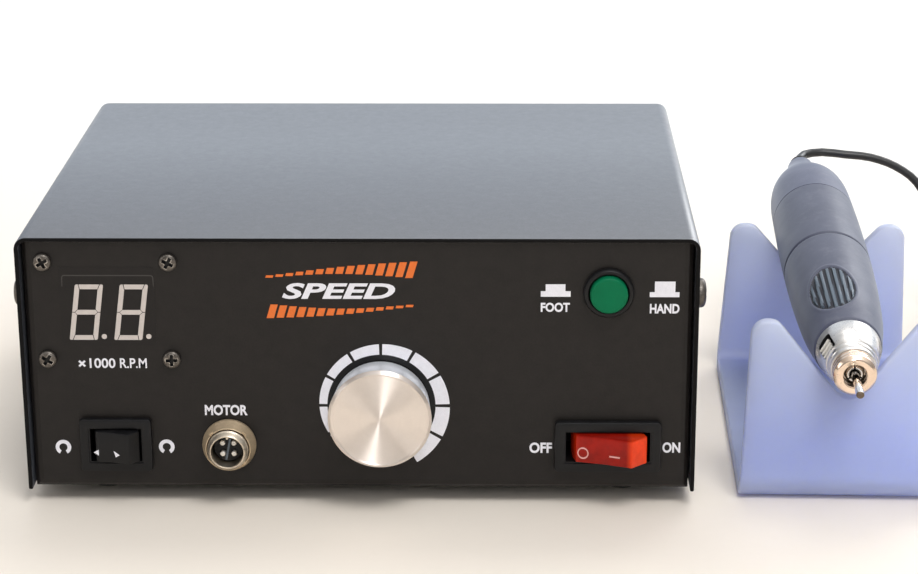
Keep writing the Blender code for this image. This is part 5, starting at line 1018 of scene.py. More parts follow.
class MICROMOTOR_OT_stage(bpy.types.Operator):
    """Camera, lamps, room and pale floor"""
    bl_idname = "micromotor.stage"
    bl_label = "Stage"

    def execute(self, context):
        stage = context.scene.micromotor_stage
        context.scene.view_settings.view_transform = 'Standard'
        make_camera(stage)
        make_floor(stage)
        make_world()
        make_lamp("key", (0.45, -0.95, 1.6), (0.03, 0.0, 0.03), 0.7, 0.6, 17.0)
        make_lamp("fill", (-1.3, -0.75, 0.5), (0.03, 0.0, 0.03), 0.6, 0.6, 2.6)
        make_lamp("rear", (0.2, 0.8, 1.9), (0.03, 0.0, 0.03), 1.2, 0.6, 8.0)
        make_lamp("window", (0.75, 0.8, 0.6), (0.15, 0.03, 0.03), 0.6, 0.5, 4.5)
        make_lamp("strip", (0.127, -1.23, 0.611), (0.0064, -0.0878, 0.0262), 0.07, 0.4, 1.6)
        return {'FINISHED'}


# Cord, its tie, its plug and its boot
LEAD_ROUTE = (
    (0.1492, 0.1108, 0.0500),
    (0.1560, 0.1136, 0.0502),
    (0.1646, 0.1130, 0.0495),
    (0.1734, 0.1128, 0.0485),
    (0.1824, 0.1122, 0.0454),
    (0.1902, 0.1104, 0.0398),
    (0.1956, 0.1066, 0.0300),
    (0.1980, 0.1010, 0.0175),
    (0.1974, 0.0940, 0.0065),
    (0.1955, 0.0865, -0.0008),
    (0.1947, 0.0800, -0.0032),
)
TAIL_ROUTE = (
    (0.1945, 0.0660, 0.0064),
    (0.1945, 0.0580, 0.0034),
    (0.1945, 0.0500, -0.0008),
    (0.1945, 0.0430, -0.0030),
    (0.1945, 0.0360, -0.0034),
    (0.1945, 0.0290, -0.0024),
    (0.1945, 0.0220, 0.0006),
    (0.1945, 0.0170, 0.0021),
)
TABLE_LEVEL = -0.005
BOOT_STATION = 0.1843
FIT_GAP = 0.0003


class CordSettings(bpy.types.PropertyGroup):
    diameter: length("Diameter", "Outside of the cord's jacket", 0.003)
    spacing: length("Point spacing", "Distance between points on the loose parts", 0.0035)
    coil_x: length("Coil place across", "Middle of the coil to the right", 0.2165)
    coil_y: length("Coil place behind", "Middle of the coil to the rear", 0.0725)
    coil_radius: length("Coil radius", "Middle of the cord in the widest turn", 0.0219)
    turn_pitch: length("Turn pitch", "Distance between turns beside each other", 0.0035)
    layer_pitch: length("Layer pitch", "Distance between turns on each other", 0.00345)
    layers: bpy.props.IntProperty(name="Layers", description="Layers of turns in the coil", default=4, min=1)
    layer_turns: bpy.props.FloatProperty(name="Turns per layer", description="Turns side by side in a layer",
                                         default=2.625, min=0.5)
    tie_width: length("Tie width", "Width of the tie round the coil", 0.006)
    tie_thickness: length("Tie thickness", "Thickness of the woven tie", 0.0005)


def smooth_route(points, spacing):
    """Points about one spacing apart on a smooth curve through the given ones."""
    knots = [2 * points[0] - points[1]] + points + [2 * points[-1] - points[-2]]
    route = [points[0]]
    for before, here, there, after in zip(knots, knots[1:], knots[2:], knots[3:]):
        count = max(1, round((there - here).length / spacing))
        for step in range(1, count + 1):
            t = step / count
            route.append(0.5 * (2 * here + (there - before) * t
                                + (2 * before - 5 * here + 4 * there - after) * t ** 2
                                + (3 * here - before - 3 * there + after) * t ** 3))
    return route


def coil_points(cord):
    """Centre line of the coil: in and out again, a layer higher at each turn back."""
    level = TABLE_LEVEL + cord.diameter / 2
    step = cord.turn_pitch / MEDIUM
    radius = cord.coil_radius
    places = [(radius, level)]
    inwards = -1
    for layer in range(cord.layers):
        if layer:
            for index in range(1, SMALL + 1):
                share = index / SMALL
                radius += (-inwards if index <= SMALL / 2 else inwards) * step
                places.append((radius, level + cord.layer_pitch * share * share * (3 - 2 * share)))
            level += cord.layer_pitch
        for _ in range(round(cord.layer_turns * MEDIUM)):
            radius += inwards * step
            places.append((radius, level))
        inwards = -inwards
    points = []
    for index, (reach, height) in enumerate(places):
        angle = math.pi + 2 * math.pi * index / MEDIUM
        points.append(Vector((cord.coil_x + reach * math.cos(angle), cord.coil_y + reach * math.sin(angle),
                              height)))
    return points


def cord_tube(name, points, diameter, finish):
    """A round cord along a list of points, as a mesh."""
    data = bpy.data.curves.new(name, 'CURVE')
    data.dimensions = '3D'
    data.bevel_depth = diameter / 2
    data.bevel_resolution = 4
    data.use_fill_caps = True
    spline = data.splines.new('POLY')
    spline.points.add(len(points) - 1)
    for point, place in zip(spline.points, points):
        point.co = (*place, 1)
    curve = bpy.data.objects.new(name, data)
    bpy.context.scene.collection.objects.link(curve)
    bpy.context.view_layer.update()
    solid = bpy.data.meshes.new_from_object(curve.evaluated_get(bpy.context.evaluated_depsgraph_get()))
    bpy.data.objects.remove(curve)
    bpy.data.curves.remove(data)
    mesh = bmesh.new()
    mesh.from_mesh(solid)
    bpy.data.meshes.remove(solid)
    bmesh.ops.remove_doubles(mesh, verts=mesh.verts, dist=MERGE_DISTANCE)
    return build(name, mesh, finish)


def make_tie(cord, coil):
    """A strap with an overlapped end round the turns, on the coil's front."""
    near = [point for point in coil if abs(point.x - cord.coil_x) < cord.tie_width / 2 and point.y < cord.coil_y]
    reach = cord.diameter / 2
    low_x = min(point.y for point in near) - reach
    high_x = max(point.y for point in near) + reach
    high_z = max(point.z for point in near) + reach
    turn = at(cord.coil_x, 0) @ turn_z(math.radians(90))
    corner = reach * 0.9
    outline = filleted([(low_x, TABLE_LEVEL + cord.tie_thickness, corner),
                        (high_x, TABLE_LEVEL + cord.tie_thickness, corner),
                        (high_x, high_z, corner), (low_x, high_z, corner)], 5)
    mesh = bmesh.new()
    verts = [mesh.verts.new((x, -cord.tie_width / 2, z)) for x, z in outline]
    edges = [mesh.edges.new((verts[index - 1], verts[index])) for index in range(len(verts))]
    side = bmesh.ops.extrude_edge_only(mesh, edges=edges)["geom"]
    side = [item for item in side if isinstance(item, bmesh.types.BMVert)]
    bmesh.ops.translate(mesh, vec=(0, cord.tie_width, 0), verts=side)
    bmesh.ops.recalc_face_normals(mesh, faces=mesh.faces)
    bmesh.ops.solidify(mesh, geom=mesh.faces, thickness=-cord.tie_thickness)
    lap = ((high_x - low_x) * 0.30 + low_x, -cord.tie_width / 2 * 0.86, high_z + cord.tie_thickness)
    box(mesh, lap, (high_x - corner, cord.tie_width / 2 * 0.86, high_z + 2.2 * cord.tie_thickness))
    return mount(build("coil_tie", mesh, material("tie"), turn, bevel=0.00012), "control_unit", "cord")


def make_cord(cord):
    """The whole cord, from the boot through its coil to the plug."""
    boot_end = hand_point(BOOT_STATION)
    coil = coil_points(cord)
    first = coil[0]
    last = coil[-1]
    back = Vector((0, 1, 0))
    plug_end = PLUG.translation.copy()
    lead = [hand_point(BOOT_STATION + cord.diameter)] + [Vector(point) for point in LEAD_ROUTE]
    lead += [first + back * (2 * cord.diameter + FIT_GAP), first + back * (cord.diameter + FIT_GAP)]
    tail = [last - back * (2 * cord.diameter + FIT_GAP)] + [Vector(point) for point in TAIL_ROUTE]
    tail += [plug_end + back * (FIT_GAP + cord.diameter)]
    route = ([boot_end] + smooth_route(lead, cord.spacing) + coil + smooth_route(tail, cord.spacing)
             + [plug_end + back * FIT_GAP])
    made = cord_tube("handpiece_cord", route, cord.diameter, material("cord"))
    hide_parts("cord_lead", "cord_coil", "cord_tail")
    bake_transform(made)
    length_along = sum((b - a).length for a, b in zip(route, route[1:]))
    return made, route, coil, length_along


def flute(verts, matrix, count, depth, low, high, least=0.0):
    """Press a ring of grooves into round verts between two heights of a frame."""
    inverse = matrix.inverted()
    for vert in verts:
        place = inverse @ vert.co
        radius = math.hypot(place.x, place.y)
        if radius < least or not low <= place.z <= high:
            continue
        angle = math.atan2(place.y, place.x)
        share = 1 - depth * (0.5 - 0.5 * math.cos(count * angle)) / radius
        vert.co = matrix @ Vector((place.x * share, place.y * share, place.z))


def make_plug():
    """Shell with a grooved waist, knurled coupling nut, and insert with four contact holes."""
    shell = [(0, 0), (0.0026, 0), (0.0038, 0.0002), (0.0038, 0.0008), (0.0035, 0.0010), (0.0035, 0.0014),
             (0.0038, 0.0016), (0.0038, 0.0022), (0.0035, 0.0024), (0.0035, 0.0028), (0.0038, 0.0030),
             (0.0039, 0.0036), (0.0060, 0.0068), (0.0062, 0.0074), (0.0062, 0.0100), (0.0059, 0.0104),
             (0.0059, 0.0168), (0.0062, 0.0172), (0.0062, 0.0198), (0.0060, 0.0200), (0.0055, 0.0200),
             (0.0055, 0.0298), (0.0053, 0.0300), (0.0047, 0.0300), (0.0045, 0.0298), (0.0045, 0.0180),
             (0, 0.0180)]
    mesh = lathed(soften(shell, 0.0003, 2), ROUND, PLUG)
    mesh.verts.ensure_lookup_table()
    flute(mesh.verts, PLUG, 24, 0.00025, 0.0105, 0.0167, 0.0055)
    shell_piece = mount(build("plug_body", mesh, material("plug_nickel")), "control_unit", "nickel", "plug_shell")
    nut = [(0.0058, 0.0203), (0.0070, 0.0203), (0.0073, 0.0207), (0.0073, 0.0216), (0.0071, 0.0218),
           (0.0071, 0.0220), (0.0073, 0.0222), (0.0073, 0.0310), (0.0071, 0.0312), (0.0071, 0.0314),
           (0.0073, 0.0316), (0.0073, 0.0324), (0.0070, 0.0328), (0.0061, 0.0328), (0.0058, 0.0325)]
    mesh = lathed(nut, ROUND * 2, PLUG)
    flute(mesh.verts, PLUG, 48, 0.00035, 0.0221, 0.0311, 0.0065)
    nut_piece = mount(build("plug_coupling", mesh, material("plug_nickel")), "plug_nut", "nickel", "plug_nut")
    core = build("plug_contacts", lathed(soften([(0, 0.0183), (0.0042, 0.0183), (0.0042, 0.0290), (0, 0.0290)],
                                                0.0003, 2), MEDIUM, PLUG), material("black"))
    holes = bmesh.new()
    for across in (-1, 1):
        for along in (-1, 1):
            lathe(holes, [(0, 0.024), (0.00085, 0.024), (0.00085, 0.030), (0, 0.030)], 16,
                  at(across * 0.00165, along * 0.00165))
    box(holes, (-0.0006, 0.0034, 0.022), (0.0006, 0.0050, 0.030))
    carve(core, holes, matrix=PLUG)
    mount(core, "control_unit", "black_plastic", "plug_insert")
    return [shell_piece, nut_piece, core]


def make_boot():
    """Ribbed rubber boot where the cord leaves the handpiece."""
    section = [(0, 0.1680), (0.0030, 0.1680), (0.0032, 0.1684), (0.0032, 0.1790)]
    for index in range(4):
        start = 0.1790 + index * 0.0012
        radius = 0.0036 - (start - 0.1788) * 0.06
        section += [(radius - 0.00035, start), (radius - 0.00035, start + 0.0004), (radius, start + 0.0006),
                    (radius - 0.00005, start + 0.0010)]
    section += [(0.0030, 0.1840), (0, 0.1840)]
    mesh = lathed(soften(section, 0.00015, 2), MEDIUM, HAND)
    mount(build("handpiece_boot", mesh, material("rubber")), "handpiece", "rubber", "cord_boot")


class MICROMOTOR_OT_cord(bpy.types.Operator):
    """Cord with its coil, tie, plug and boot"""
    bl_idname = "micromotor.cord"
    bl_label = "Cord and plug"

    def execute(self, context):
        cord = context.scene.micromotor_cord
        made, route, coil, length_along = make_cord(cord)
        pieces = make_plug() + [make_tie(cord, coil)]
        make_boot()
        return {'FINISHED'}


# Control unit
class UnitSettings(bpy.types.PropertyGroup):
    width: length("Case width", "Outside of the cover from left to right", 0.195)
    depth: length("Case depth", "Cover from front to rear", 0.155)
    height: length("Case height", "Bottom of the case to the top of the cover", 0.0774)
    sheet: length("Sheet", "Thickness of the cover", 0.0012)
    bend: length("Bend", "Outer radius of the cover's folds", 0.0035)
    screw_drop: length("Cover screw drop", "Cover screws below the top", 0.020)
    screw_inset: length("Cover screw inset", "Cover screws from the front and rear edge", 0.012)
    foot_x: length("Foot place across", "Feet from the middle", 0.0769)
    foot_y: length("Foot place in depth", "Feet from the middle", 0.057)


def make_cover(unit):
    """Folded sheet with eased edges and four screw holes."""
    half = unit.width / 2
    inner_bend = unit.bend - unit.sheet
    side = half - unit.bend
    high = unit.height - unit.bend
    outline = ([(-half, 0)] + arc_points(unit.bend, 180, 90, 14, (-side, high))
               + arc_points(unit.bend, 90, 0, 14, (side, high)) + [(half, 0), (half - unit.sheet, 0)]
               + arc_points(inner_bend, 0, 90, 14, (side, high))
               + arc_points(inner_bend, 90, 180, 14, (-side, high)) + [(-half + unit.sheet, 0)])
    mesh = bmesh.new()
    outline_plate(mesh, outline, -unit.depth / 2, unit.depth / 2, UPRIGHT)
    made = build("cover_sheet", mesh, material("cover"))
    holes = bmesh.new()
    across = Matrix.Rotation(math.radians(90), 4, 'Y')
    for front in (-1, 1):
        place = at(0, front * (unit.depth / 2 - unit.screw_inset), unit.height - unit.screw_drop)
        lathe(holes, [(0, -unit.width), (0.0021, -unit.width), (0.0021, unit.width), (0, unit.width)], SMALL,
              place @ across)
    carve(made, holes)
    edge = made.modifiers.new("edge", 'BEVEL')
    edge.width = 0.00028
    edge.segments = 2
    edge.limit_method = 'ANGLE'
    edge.angle_limit = math.radians(50)
    apply_modifiers(made)
    made.data.shade_smooth()
    made.data.set_sharp_from_angle(angle=SHARP_ANGLE)
    # The sheet's front and rear edges take the near-black finish: painted shade.
    made.data.materials.append(material("cover_edge"))
    for polygon in made.data.polygons:
        if abs(polygon.normal.y) > 0.6:
            polygon.material_index = 1
    mount(made, "control_unit", "cover", "cover")


def cross_screw(name, matrix, radius, height, shank, length_below, finish, slot, node, turned_by):
    """Pan head screw with a cross recess lined in black as painted shade; the finish gives the rim wear and a painted
    highlight.
    """
    crown = FIT_GAP + height
    section = [(0, -length_below), (shank, -length_below), (shank, FIT_GAP), (radius * 0.97, FIT_GAP),
               (radius, FIT_GAP + height * 0.12), (radius, FIT_GAP + height * 0.45),
               (radius * 0.93, FIT_GAP + height * 0.72), (radius * 0.74, FIT_GAP + height * 0.90),
               (radius * 0.45, crown - height * 0.02), (0, crown)]
    made = build(name, lathed(soften(section, radius * 0.12, 3), MEDIUM, matrix), finish)
    arm = radius * 0.66
    web = radius * 0.19
    quarter = [(web, web), (web, arm), (-web, arm)]
    outline = []
    for turns in range(4):
        for x, y in quarter:
            spot = Vector((x, y))
            spot.rotate(Matrix.Rotation(turned_by + turns * math.pi / 2, 2))
            outline.append(tuple(spot))
    cross = bmesh.new()
    outline_plate(cross, outline, FIT_GAP + height * 0.25, crown + height)
    # The recess walls take the black finish: painted shade.
    carve(made, cross, matrix=matrix, inner=material("black"))
    mount(made, "control_unit", slot, node)


def make_cover_screws(unit):
    for side, across in (("left", -1), ("right", 1)):
        for end, along in (("front", -1), ("rear", 1)):
            place = at(across * unit.width / 2, along * (unit.depth / 2 - unit.screw_inset),
                       unit.height - unit.screw_drop)
            turn = Matrix.Rotation(across * math.radians(90), 4, 'Y')
            cross_screw(f"side_screw_{side}_{end}", place @ turn, 0.0043, 0.0026, 0.0018, 0.0045,
                        material("screw"), "screw", f"cover_screw_{side}_{end}", math.radians(20 + 25 * along))


def make_feet(unit):
    for side, across in (("left", -1), ("right", 1)):
        for end, along in (("front", -1), ("rear", 1)):
            section = [(0, -FIT_GAP), (0.0075, -FIT_GAP), (0.0075, -0.0012), (0.0072, -0.0016),
                       (0.0066, -0.0044), (0.0062, -0.0050), (0.0040, -0.0050), (0.0034, -0.0046),
                       (0.0032, -0.0028), (0, -0.0028)]
            mesh = lathed(soften(section, 0.0004, 3), MEDIUM, at(across * unit.foot_x, along * unit.foot_y))
            mount(build(f"rubber_foot_{end}_{side}", mesh, material("rubber")), "control_unit", "rubber",
                  f"foot_{end}_{side}")


class MICROMOTOR_OT_case(bpy.types.Operator):
    """Cover with its screws and feet"""
    bl_idname = "micromotor.case"
    bl_label = "Case"

    def execute(self, context):
        unit = context.scene.micromotor_unit
        make_cover(unit)
        make_cover_screws(unit)
        make_feet(unit)
        return {'FINISHED'}


# Front panel print
class PrintSettings(bpy.types.PropertyGroup):
    digit_width: length("Digit width", "Width of a digit on the display", 0.0081)
    digit_height: length("Digit height", "Height of a digit on the display", 0.0168)
    stroke: length("Segment width", "Width of a digit's segment", 0.00142)
    joint: length("Segment gap", "Dark gap between segments", 0.00022)
    slant: bpy.props.FloatProperty(name="Slant", description="Lean of the digits", default=math.radians(8.0),
                                   subtype='ANGLE')
    scale_radius: length("Scale radius", "Inside of the ring round the knob", 0.0157)
    scale_thin: length("Scale thin end", "Outer radius where the scale starts", 0.0174)
    scale_thick: length("Scale thick end", "Outer radius where the scale ends", 0.0204)


def words(mesh, text, low, high, weight=0.0, shear=0.0, gap=1.0):
    """Printed words that fill a box on the front panel, given by two opposite corners."""
    middle = ((low[0] + high[0]) / 2, (low[1] + high[1]) / 2)
    lettering(mesh, text, abs(high[0] - low[0]), abs(high[1] - low[1]), FRONT @ at(*middle), weight, shear, gap)


def printed(mesh, points, matrix=None, lift=0.0):
    """A flat printed shape on the front panel."""
    low = PRINT_LIFT + lift
    outline_plate(mesh, points, low, low + PRINT_THICKNESS, FRONT @ (matrix or Matrix()))


def bar(mesh, low, high):
    printed(mesh, [low, (high[0], low[1]), high, (low[0], high[1])])


def arc_band(mesh, inner, outer, start, end, centre, steps=10, thick_end=None):
    """A ring segment. Its outer radius may change along it."""
    ends = (outer, outer if thick_end is None else thick_end)
    outline = arc_points(inner, start, end, steps)
    outer_points = []
    for step in range(steps, -1, -1):
        angle = math.radians(start + (end - start) * step / steps)
        radius = ends[0] + (ends[1] - ends[0]) * step / steps
        outer_points.append((radius * math.cos(angle), radius * math.sin(angle)))
    printed(mesh, outline + outer_points, at(*centre))


def make_scale(mesh, panel, centre):
    """Ten ring segments that grow clockwise from the lower left."""
    first = 240.0
    last = -60.0
    gap = math.degrees(0.00092 / (panel.scale_radius + 0.0018)) / 2
    marks = [first] + [210.0 - 30.0 * index for index in range(9)] + [last]
    growth = (panel.scale_thick - panel.scale_thin) / (first - last)
    for index, (start, end) in enumerate(zip(marks, marks[1:])):
        if first - start > 1:
            start -= gap
        if end - last > 1:
            end += gap
        arc_band(mesh, panel.scale_radius, panel.scale_thin + growth * (first - start), start, end, centre,
                 thick_end=panel.scale_thin + growth * (first - end))


def make_legends(panel):
    """Every white word and mark on the front panel, as one thin print."""
    mesh = bmesh.new()
    words(mesh, "×", (-0.0811, 0.03786), (-0.07895, 0.03996), 0.03)
    words(mesh, "1000", (-0.07785, 0.03756), (-0.07035, 0.04058), 0.018)
    words(mesh, "R.P.M", (-0.06905, 0.03756), (-0.06125, 0.04058), 0.014)
    words(mesh, "MOTOR", (-0.0450, 0.02300), (-0.03255, 0.02625), 0.034)
    words(mesh, "FOOT", (0.05237, 0.05506), (0.06068, 0.05785), 0.034)
    words(mesh, "HAND", (0.0835, 0.05468), (0.09197, 0.05757), 0.034)
    words(mesh, "OFF", (0.04935, 0.01150), (0.05595, 0.01480), 0.034)
    words(mesh, "ON", (0.08805, 0.01170), (0.09325, 0.01500), 0.034)
    words(mesh, "SPEED", (-0.0216, 0.0588), (0.0108, 0.0636), 0.03, 0.24)
    bar(mesh, (0.05235, 0.05965), (0.06086, 0.06132))
    bar(mesh, (0.05373, 0.06133), (0.05936, 0.06339))
    bar(mesh, (0.08339, 0.0596), (0.09185, 0.06109))
    bar(mesh, (0.0848, 0.0611), (0.09065, 0.06427))
    for place in ((-0.08688, 0.01283), (-0.05658, 0.01306)):
        arc_band(mesh, 0.0012, 0.0023, -60, 240, place, 24)
    make_scale(mesh, panel, (0.0064, 0.0262))
    mount(build("panel_print", mesh, material("legend")), "control_unit", "chassis")


def make_ramp():
    """Two orange sweeps made of bars that grow to the right, above and below the word."""
    mesh = bmesh.new()
    for index in range(15):
        share = index / 14
        left = -0.0262 + index * 0.00285
        height = 0.0007 + 0.0042 * share ** 1.6
        lean = height * 0.3
        base = 0.0652 + 0.0012 * math.sin(share * math.pi)
        printed(mesh, [(left, base), (left + 0.0021, base), (left + 0.0021 + lean, base + height),
                       (left + lean, base + height)])
        drop = 0.0007 + 0.0034 * (1 - share) ** 1.6
        low = 0.0571 - 0.0012 * math.sin(share * math.pi)
        printed(mesh, [(left, low - drop), (left + 0.0021, low - drop), (left + 0.0021 + drop * 0.3, low),
                       (left + drop * 0.3, low)])
    mount(build("speed_ramp", mesh, material("ramp")), "control_unit", "chassis")


def make_digit(mesh, panel, matrix):
    """Seven unlit segments with mitred ends that lean to the right."""
    lean = Matrix.Identity(4)
    lean[0][1] = math.tan(panel.slant)
    wide = panel.digit_width / 2
    tall = panel.digit_height / 2
    stroke = panel.stroke
    gap = panel.joint / 2
    half = stroke / 2
    long = wide - 0.7 * stroke
    short = wide - stroke
    flat = [(gap - long, tall), (long - gap, tall), (short - gap, tall - stroke), (gap - short, tall - stroke)]
    upright = [(wide, tall - stroke * 0.3), (wide - stroke * 0.09, tall - stroke * 0.09),
               (wide - stroke * 0.3, tall), (long + gap, tall), (short + gap, tall - stroke),
               (short, tall - stroke - gap), (short, half + gap), (wide - half, gap), (wide, gap)]
    middle = [(-wide + half + gap, 0), (-wide + stroke + gap, half), (wide - stroke - gap, half),
              (wide - half - gap, 0), (wide - stroke - gap, -half), (-wide + stroke + gap, -half)]
    outlines = [middle]
    for up in (-1, 1):
        outlines.append([(x, y * up) for x, y in flat])
        outlines += [[(x * side, y * up) for x, y in upright] for side in (-1, 1)]
    for outline in outlines:
        outline_plate(mesh, outline, 0, PRINT_THICKNESS, matrix @ lean)


DISPLAY_CENTRE = (-0.0718, 0.0564)
DISPLAY_FACE = -0.0005


def make_window_film():
    """Dark film over the display, and a painted highlight: the faint line where the window's top catches the light."""
    half_width = 0.0137
    half_height = 0.0119
    place = FRONT @ at(*DISPLAY_CENTRE)
    mesh = bmesh.new()
    outer = filleted([(-half_width, -half_height, 0.0008), (half_width, -half_height, 0.0008),
                      (half_width, half_height, 0.0012), (-half_width, half_height, 0.0012)], 6)
    outline_plate(mesh, outer, PRINT_LIFT / 2, PRINT_THICKNESS, place)
    mount(build("window_film", mesh, material("film")), "control_unit", "display")
    # Painted highlight: a thin pale line along the window's top, fading down its sides.
    across = 0.0123
    top = 0.0086
    corner = 0.0009
    thick = 0.0003
    rounded = arc_points(corner, 0, 90, 6, (across, top))
    inside = arc_points(corner - thick, 90, 0, 6, (across, top))
    fade = [(across + corner - thick * 0.6, top - 0.0026), (across + corner, top - 0.0026)]
    right = fade + rounded
    shape = right + [(-x, y) for x, y in rounded[::-1]] + [(-x, y) for x, y in fade[::-1]]
    shape += [(-x, y) for x, y in inside[::-1]] + inside
    mesh = bmesh.new()
    outline_plate(mesh, shape, PRINT_THICKNESS, PRINT_THICKNESS + PRINT_LIFT, place @ at(0.00035, 0))
    mount(build("window_glint", mesh, material("glint")), "control_unit", "display")


def make_display(panel):
    """Display body with a raised rim and smoked window, two digits, points, and its screws."""
    place = FRONT @ at(*DISPLAY_CENTRE)
    mesh = bmesh.new()
    slab(mesh, 0.0263, 0.0227, -0.0085, DISPLAY_FACE, 0.0004, 3, place)
    body = build("display_window", mesh, material("filter"))
    recess = bmesh.new()
    slab(recess, 0.0255, 0.0219, DISPLAY_FACE - 0.0003, 0.001, 0.0003, 3, place)
    carve(body, recess)
    mount(body, "control_unit", "display", "display_module")
    face = FRONT @ at(0, 0, PRINT_THICKNESS + PRINT_LIFT)
    mesh = bmesh.new()
    for middle in (-0.07796, -0.06508):
        make_digit(mesh, panel, face @ at(middle, 0.05465))
    for x, z in ((-0.07314, 0.04726), (-0.0603, 0.0473)):
        lathe(mesh, [(0, 0), (0.00076, 0), (0.00076, PRINT_THICKNESS), (0, PRINT_THICKNESS)], 20, face @ at(x, z))
    mount(build("display_digits", mesh, material("segment")), "control_unit", "display")
    make_window_film()
    for level, up in (("upper", 1), ("lower", -1)):
        for side, across in (("left", -1), ("right", 1)):
            place = FRONT @ at(-0.0718 + across * 0.01795, 0.0552 + up * 0.0147)
            cross_screw(f"panel_screw_{level}_{side}", place, 0.0026, 0.0015, 0.0012, 0.007, material("screw"),
                        "screw", f"display_screw_{level}_{side}", math.radians(15 + 31 * up + 17 * across))


class MICROMOTOR_OT_panel_print(bpy.types.Operator):
    """Words, scale and marks of the front panel, and the display"""
    bl_idname = "micromotor.panel_print"
    bl_label = "Panel print and display"

    def execute(self, context):
        panel = context.scene.micromotor_print
        make_legends(panel)
        make_ramp()
        make_display(panel)
        return {'FINISHED'}


# Switches and button
POWER = {"node": "power", "place": (0.0721, 0.0142), "bezel": (0.0309, 0.0156, 0.0025),
         "body": (0.0276, 0.0126, 0.0165), "opening": (0.0245, 0.0092), "ridge": 0.0045, "pivot": 0.0010,
         "throw": 17.0, "finish": "red", "slot": "red"}
DIRECTION = {"node": "direction", "place": (-0.0711, 0.0142), "bezel": (0.0210, 0.0164, 0.0022),
             "body": (0.0184, 0.0134, 0.0150), "opening": (0.0150, 0.0102), "ridge": 0.0029, "pivot": 0.0008,
             "throw": 14.0, "finish": "black", "slot": "black_plastic"}


def rocker_frame(switch):
    return (FRONT @ at(*switch["place"], switch["bezel"][2] - switch["pivot"])
            @ Matrix.Rotation(-math.radians(switch["throw"]), 4, 'Y'))


def make_switch(switch):
    """Bezel with eased edges and a stepped opening, body, two tabs, and the rocker."""
    width, height, thick = switch["bezel"]
    body_width, body_height, depth = switch["body"]
    open_width, open_height = switch["opening"]
    place = FRONT @ at(*switch["place"])
    mesh = bmesh.new()
    slab(mesh, width, height, FIT_GAP, thick, 0.0012, 5, place)
    housing = build(f"{switch['node']}_bezel", mesh, material("black"), bevel=0.0005)
    mesh = bmesh.new()
    slab(mesh, body_width, body_height, -depth, thick / 2, 0.0006, 3, place)
    carve(housing, mesh, 'UNION')
    for side in (-1, 1):
        mesh = bmesh.new()
        box(mesh, (side * 0.0035 - 0.0004, -0.0024, -depth - 0.0075), (side * 0.0035 + 0.0004, 0.0024, -depth + 0.001),
            place)
        carve(housing, mesh, 'UNION')
    mesh = bmesh.new()
    slab(mesh, open_width + 0.0010, open_height + 0.0010, thick - 0.0004, thick + 0.002, 0.0005, 3, place)
    carve(housing, mesh)
    mesh = bmesh.new()
    slab(mesh, open_width, open_height, -depth + 0.0025, thick + 0.002, 0.0002, 2, place)
    carve(housing, mesh)
    mount(housing, "control_unit", "black_plastic", f"{switch['node']}_switch_housing")

    half = open_width / 2
    ridge = switch["ridge"]
    right = [(half * 0.25, -ridge * 1.15, 0.0006), (half * 0.78, -ridge * 0.85, 0.0006),
             (half * 0.94, -ridge * 0.20, 0.0005), (half * 0.68, ridge, 0.0006)]
    left = [(-x, y, radius) for x, y, radius in reversed(right)]
    outline = filleted(right + [(0, ridge * 0.90, 0.012)] + left, 5)
    lie = rocker_frame(switch) @ Matrix.Rotation(math.radians(90), 4, 'X')
    reach = open_height / 2 - 0.0004
    mesh = bmesh.new()
    outline_plate(mesh, outline, -reach, reach, lie)
    rocker = build(f"{switch['node']}_key", mesh, material(switch["finish"]), bevel=0.0004)
    mount(rocker, f"{switch['node']}_rocker", switch["slot"], f"{switch['node']}_rocker")
    return rocker


def face_frame(switch, share, side):
    """A frame on one of the rocker's two faces. Its X runs outwards along the face."""
    half = switch["opening"][0] / 2
    ridge = switch["ridge"]
    inner = Vector((0, ridge * 0.90))
    outer = Vector((side * half * 0.68, ridge))
    spot = inner.lerp(outer, share)
    slope = math.atan2(ridge * 0.10, half * 0.68) * side
    turn = Matrix.Rotation(-slope, 4, 'Y')
    return rocker_frame(switch) @ at(spot.x, 0, spot.y) @ turn


def make_rocker_marks():
    """Circle and line on the power rocker, two arrows on the direction rocker."""
    mesh = bmesh.new()
    ring = arc_points(0.00135, 0, 360, 28)[:-1]
    hole = arc_points(0.00180, 0, 360, 28)[:-1]
    place = face_frame(POWER, 0.75, -1) @ at(0, -0.0011)
    low = PRINT_LIFT
    inner = [mesh.verts.new((x, y, low)) for x, y in ring]
    outer = [mesh.verts.new((x * 0.92, y, low)) for x, y in hole]
    for index in range(len(inner)):
        mesh.faces.new((inner[index - 1], inner[index], outer[index], outer[index - 1]))
    grown = bmesh.ops.extrude_face_region(mesh, geom=mesh.faces[:])["geom"]
    bmesh.ops.translate(mesh, vec=(0, 0, PRINT_THICKNESS),
                        verts=[item for item in grown if isinstance(item, bmesh.types.BMVert)])
    bmesh.ops.transform(mesh, matrix=place, verts=mesh.verts)
    outline_plate(mesh, [(-0.0016, -0.00022), (0.0016, -0.00022), (0.0016, 0.00022), (-0.0016, 0.00022)], low,
                  low + PRINT_THICKNESS, face_frame(POWER, 0.38, 1) @ at(0, -0.0013))
    mount(build("power_key_marks", mesh, material("key_mark")), "power_rocker", "red")
    mesh = bmesh.new()
    for share, side, points in ((0.95, -1, [(-0.0011, 0), (0.0005, -0.0009), (0.0005, 0.0009)]),
                                (0.2, 1, [(-0.0008, 0.0009), (0.0011, -0.0002), (-0.0002, -0.0010)])):
        outline_plate(mesh, points, low, low + PRINT_THICKNESS, face_frame(DIRECTION, share, side) @ at(0, -0.0018))
    mount(build("direction_key_marks", mesh, material("legend")), "direction_rocker", "black_plastic")


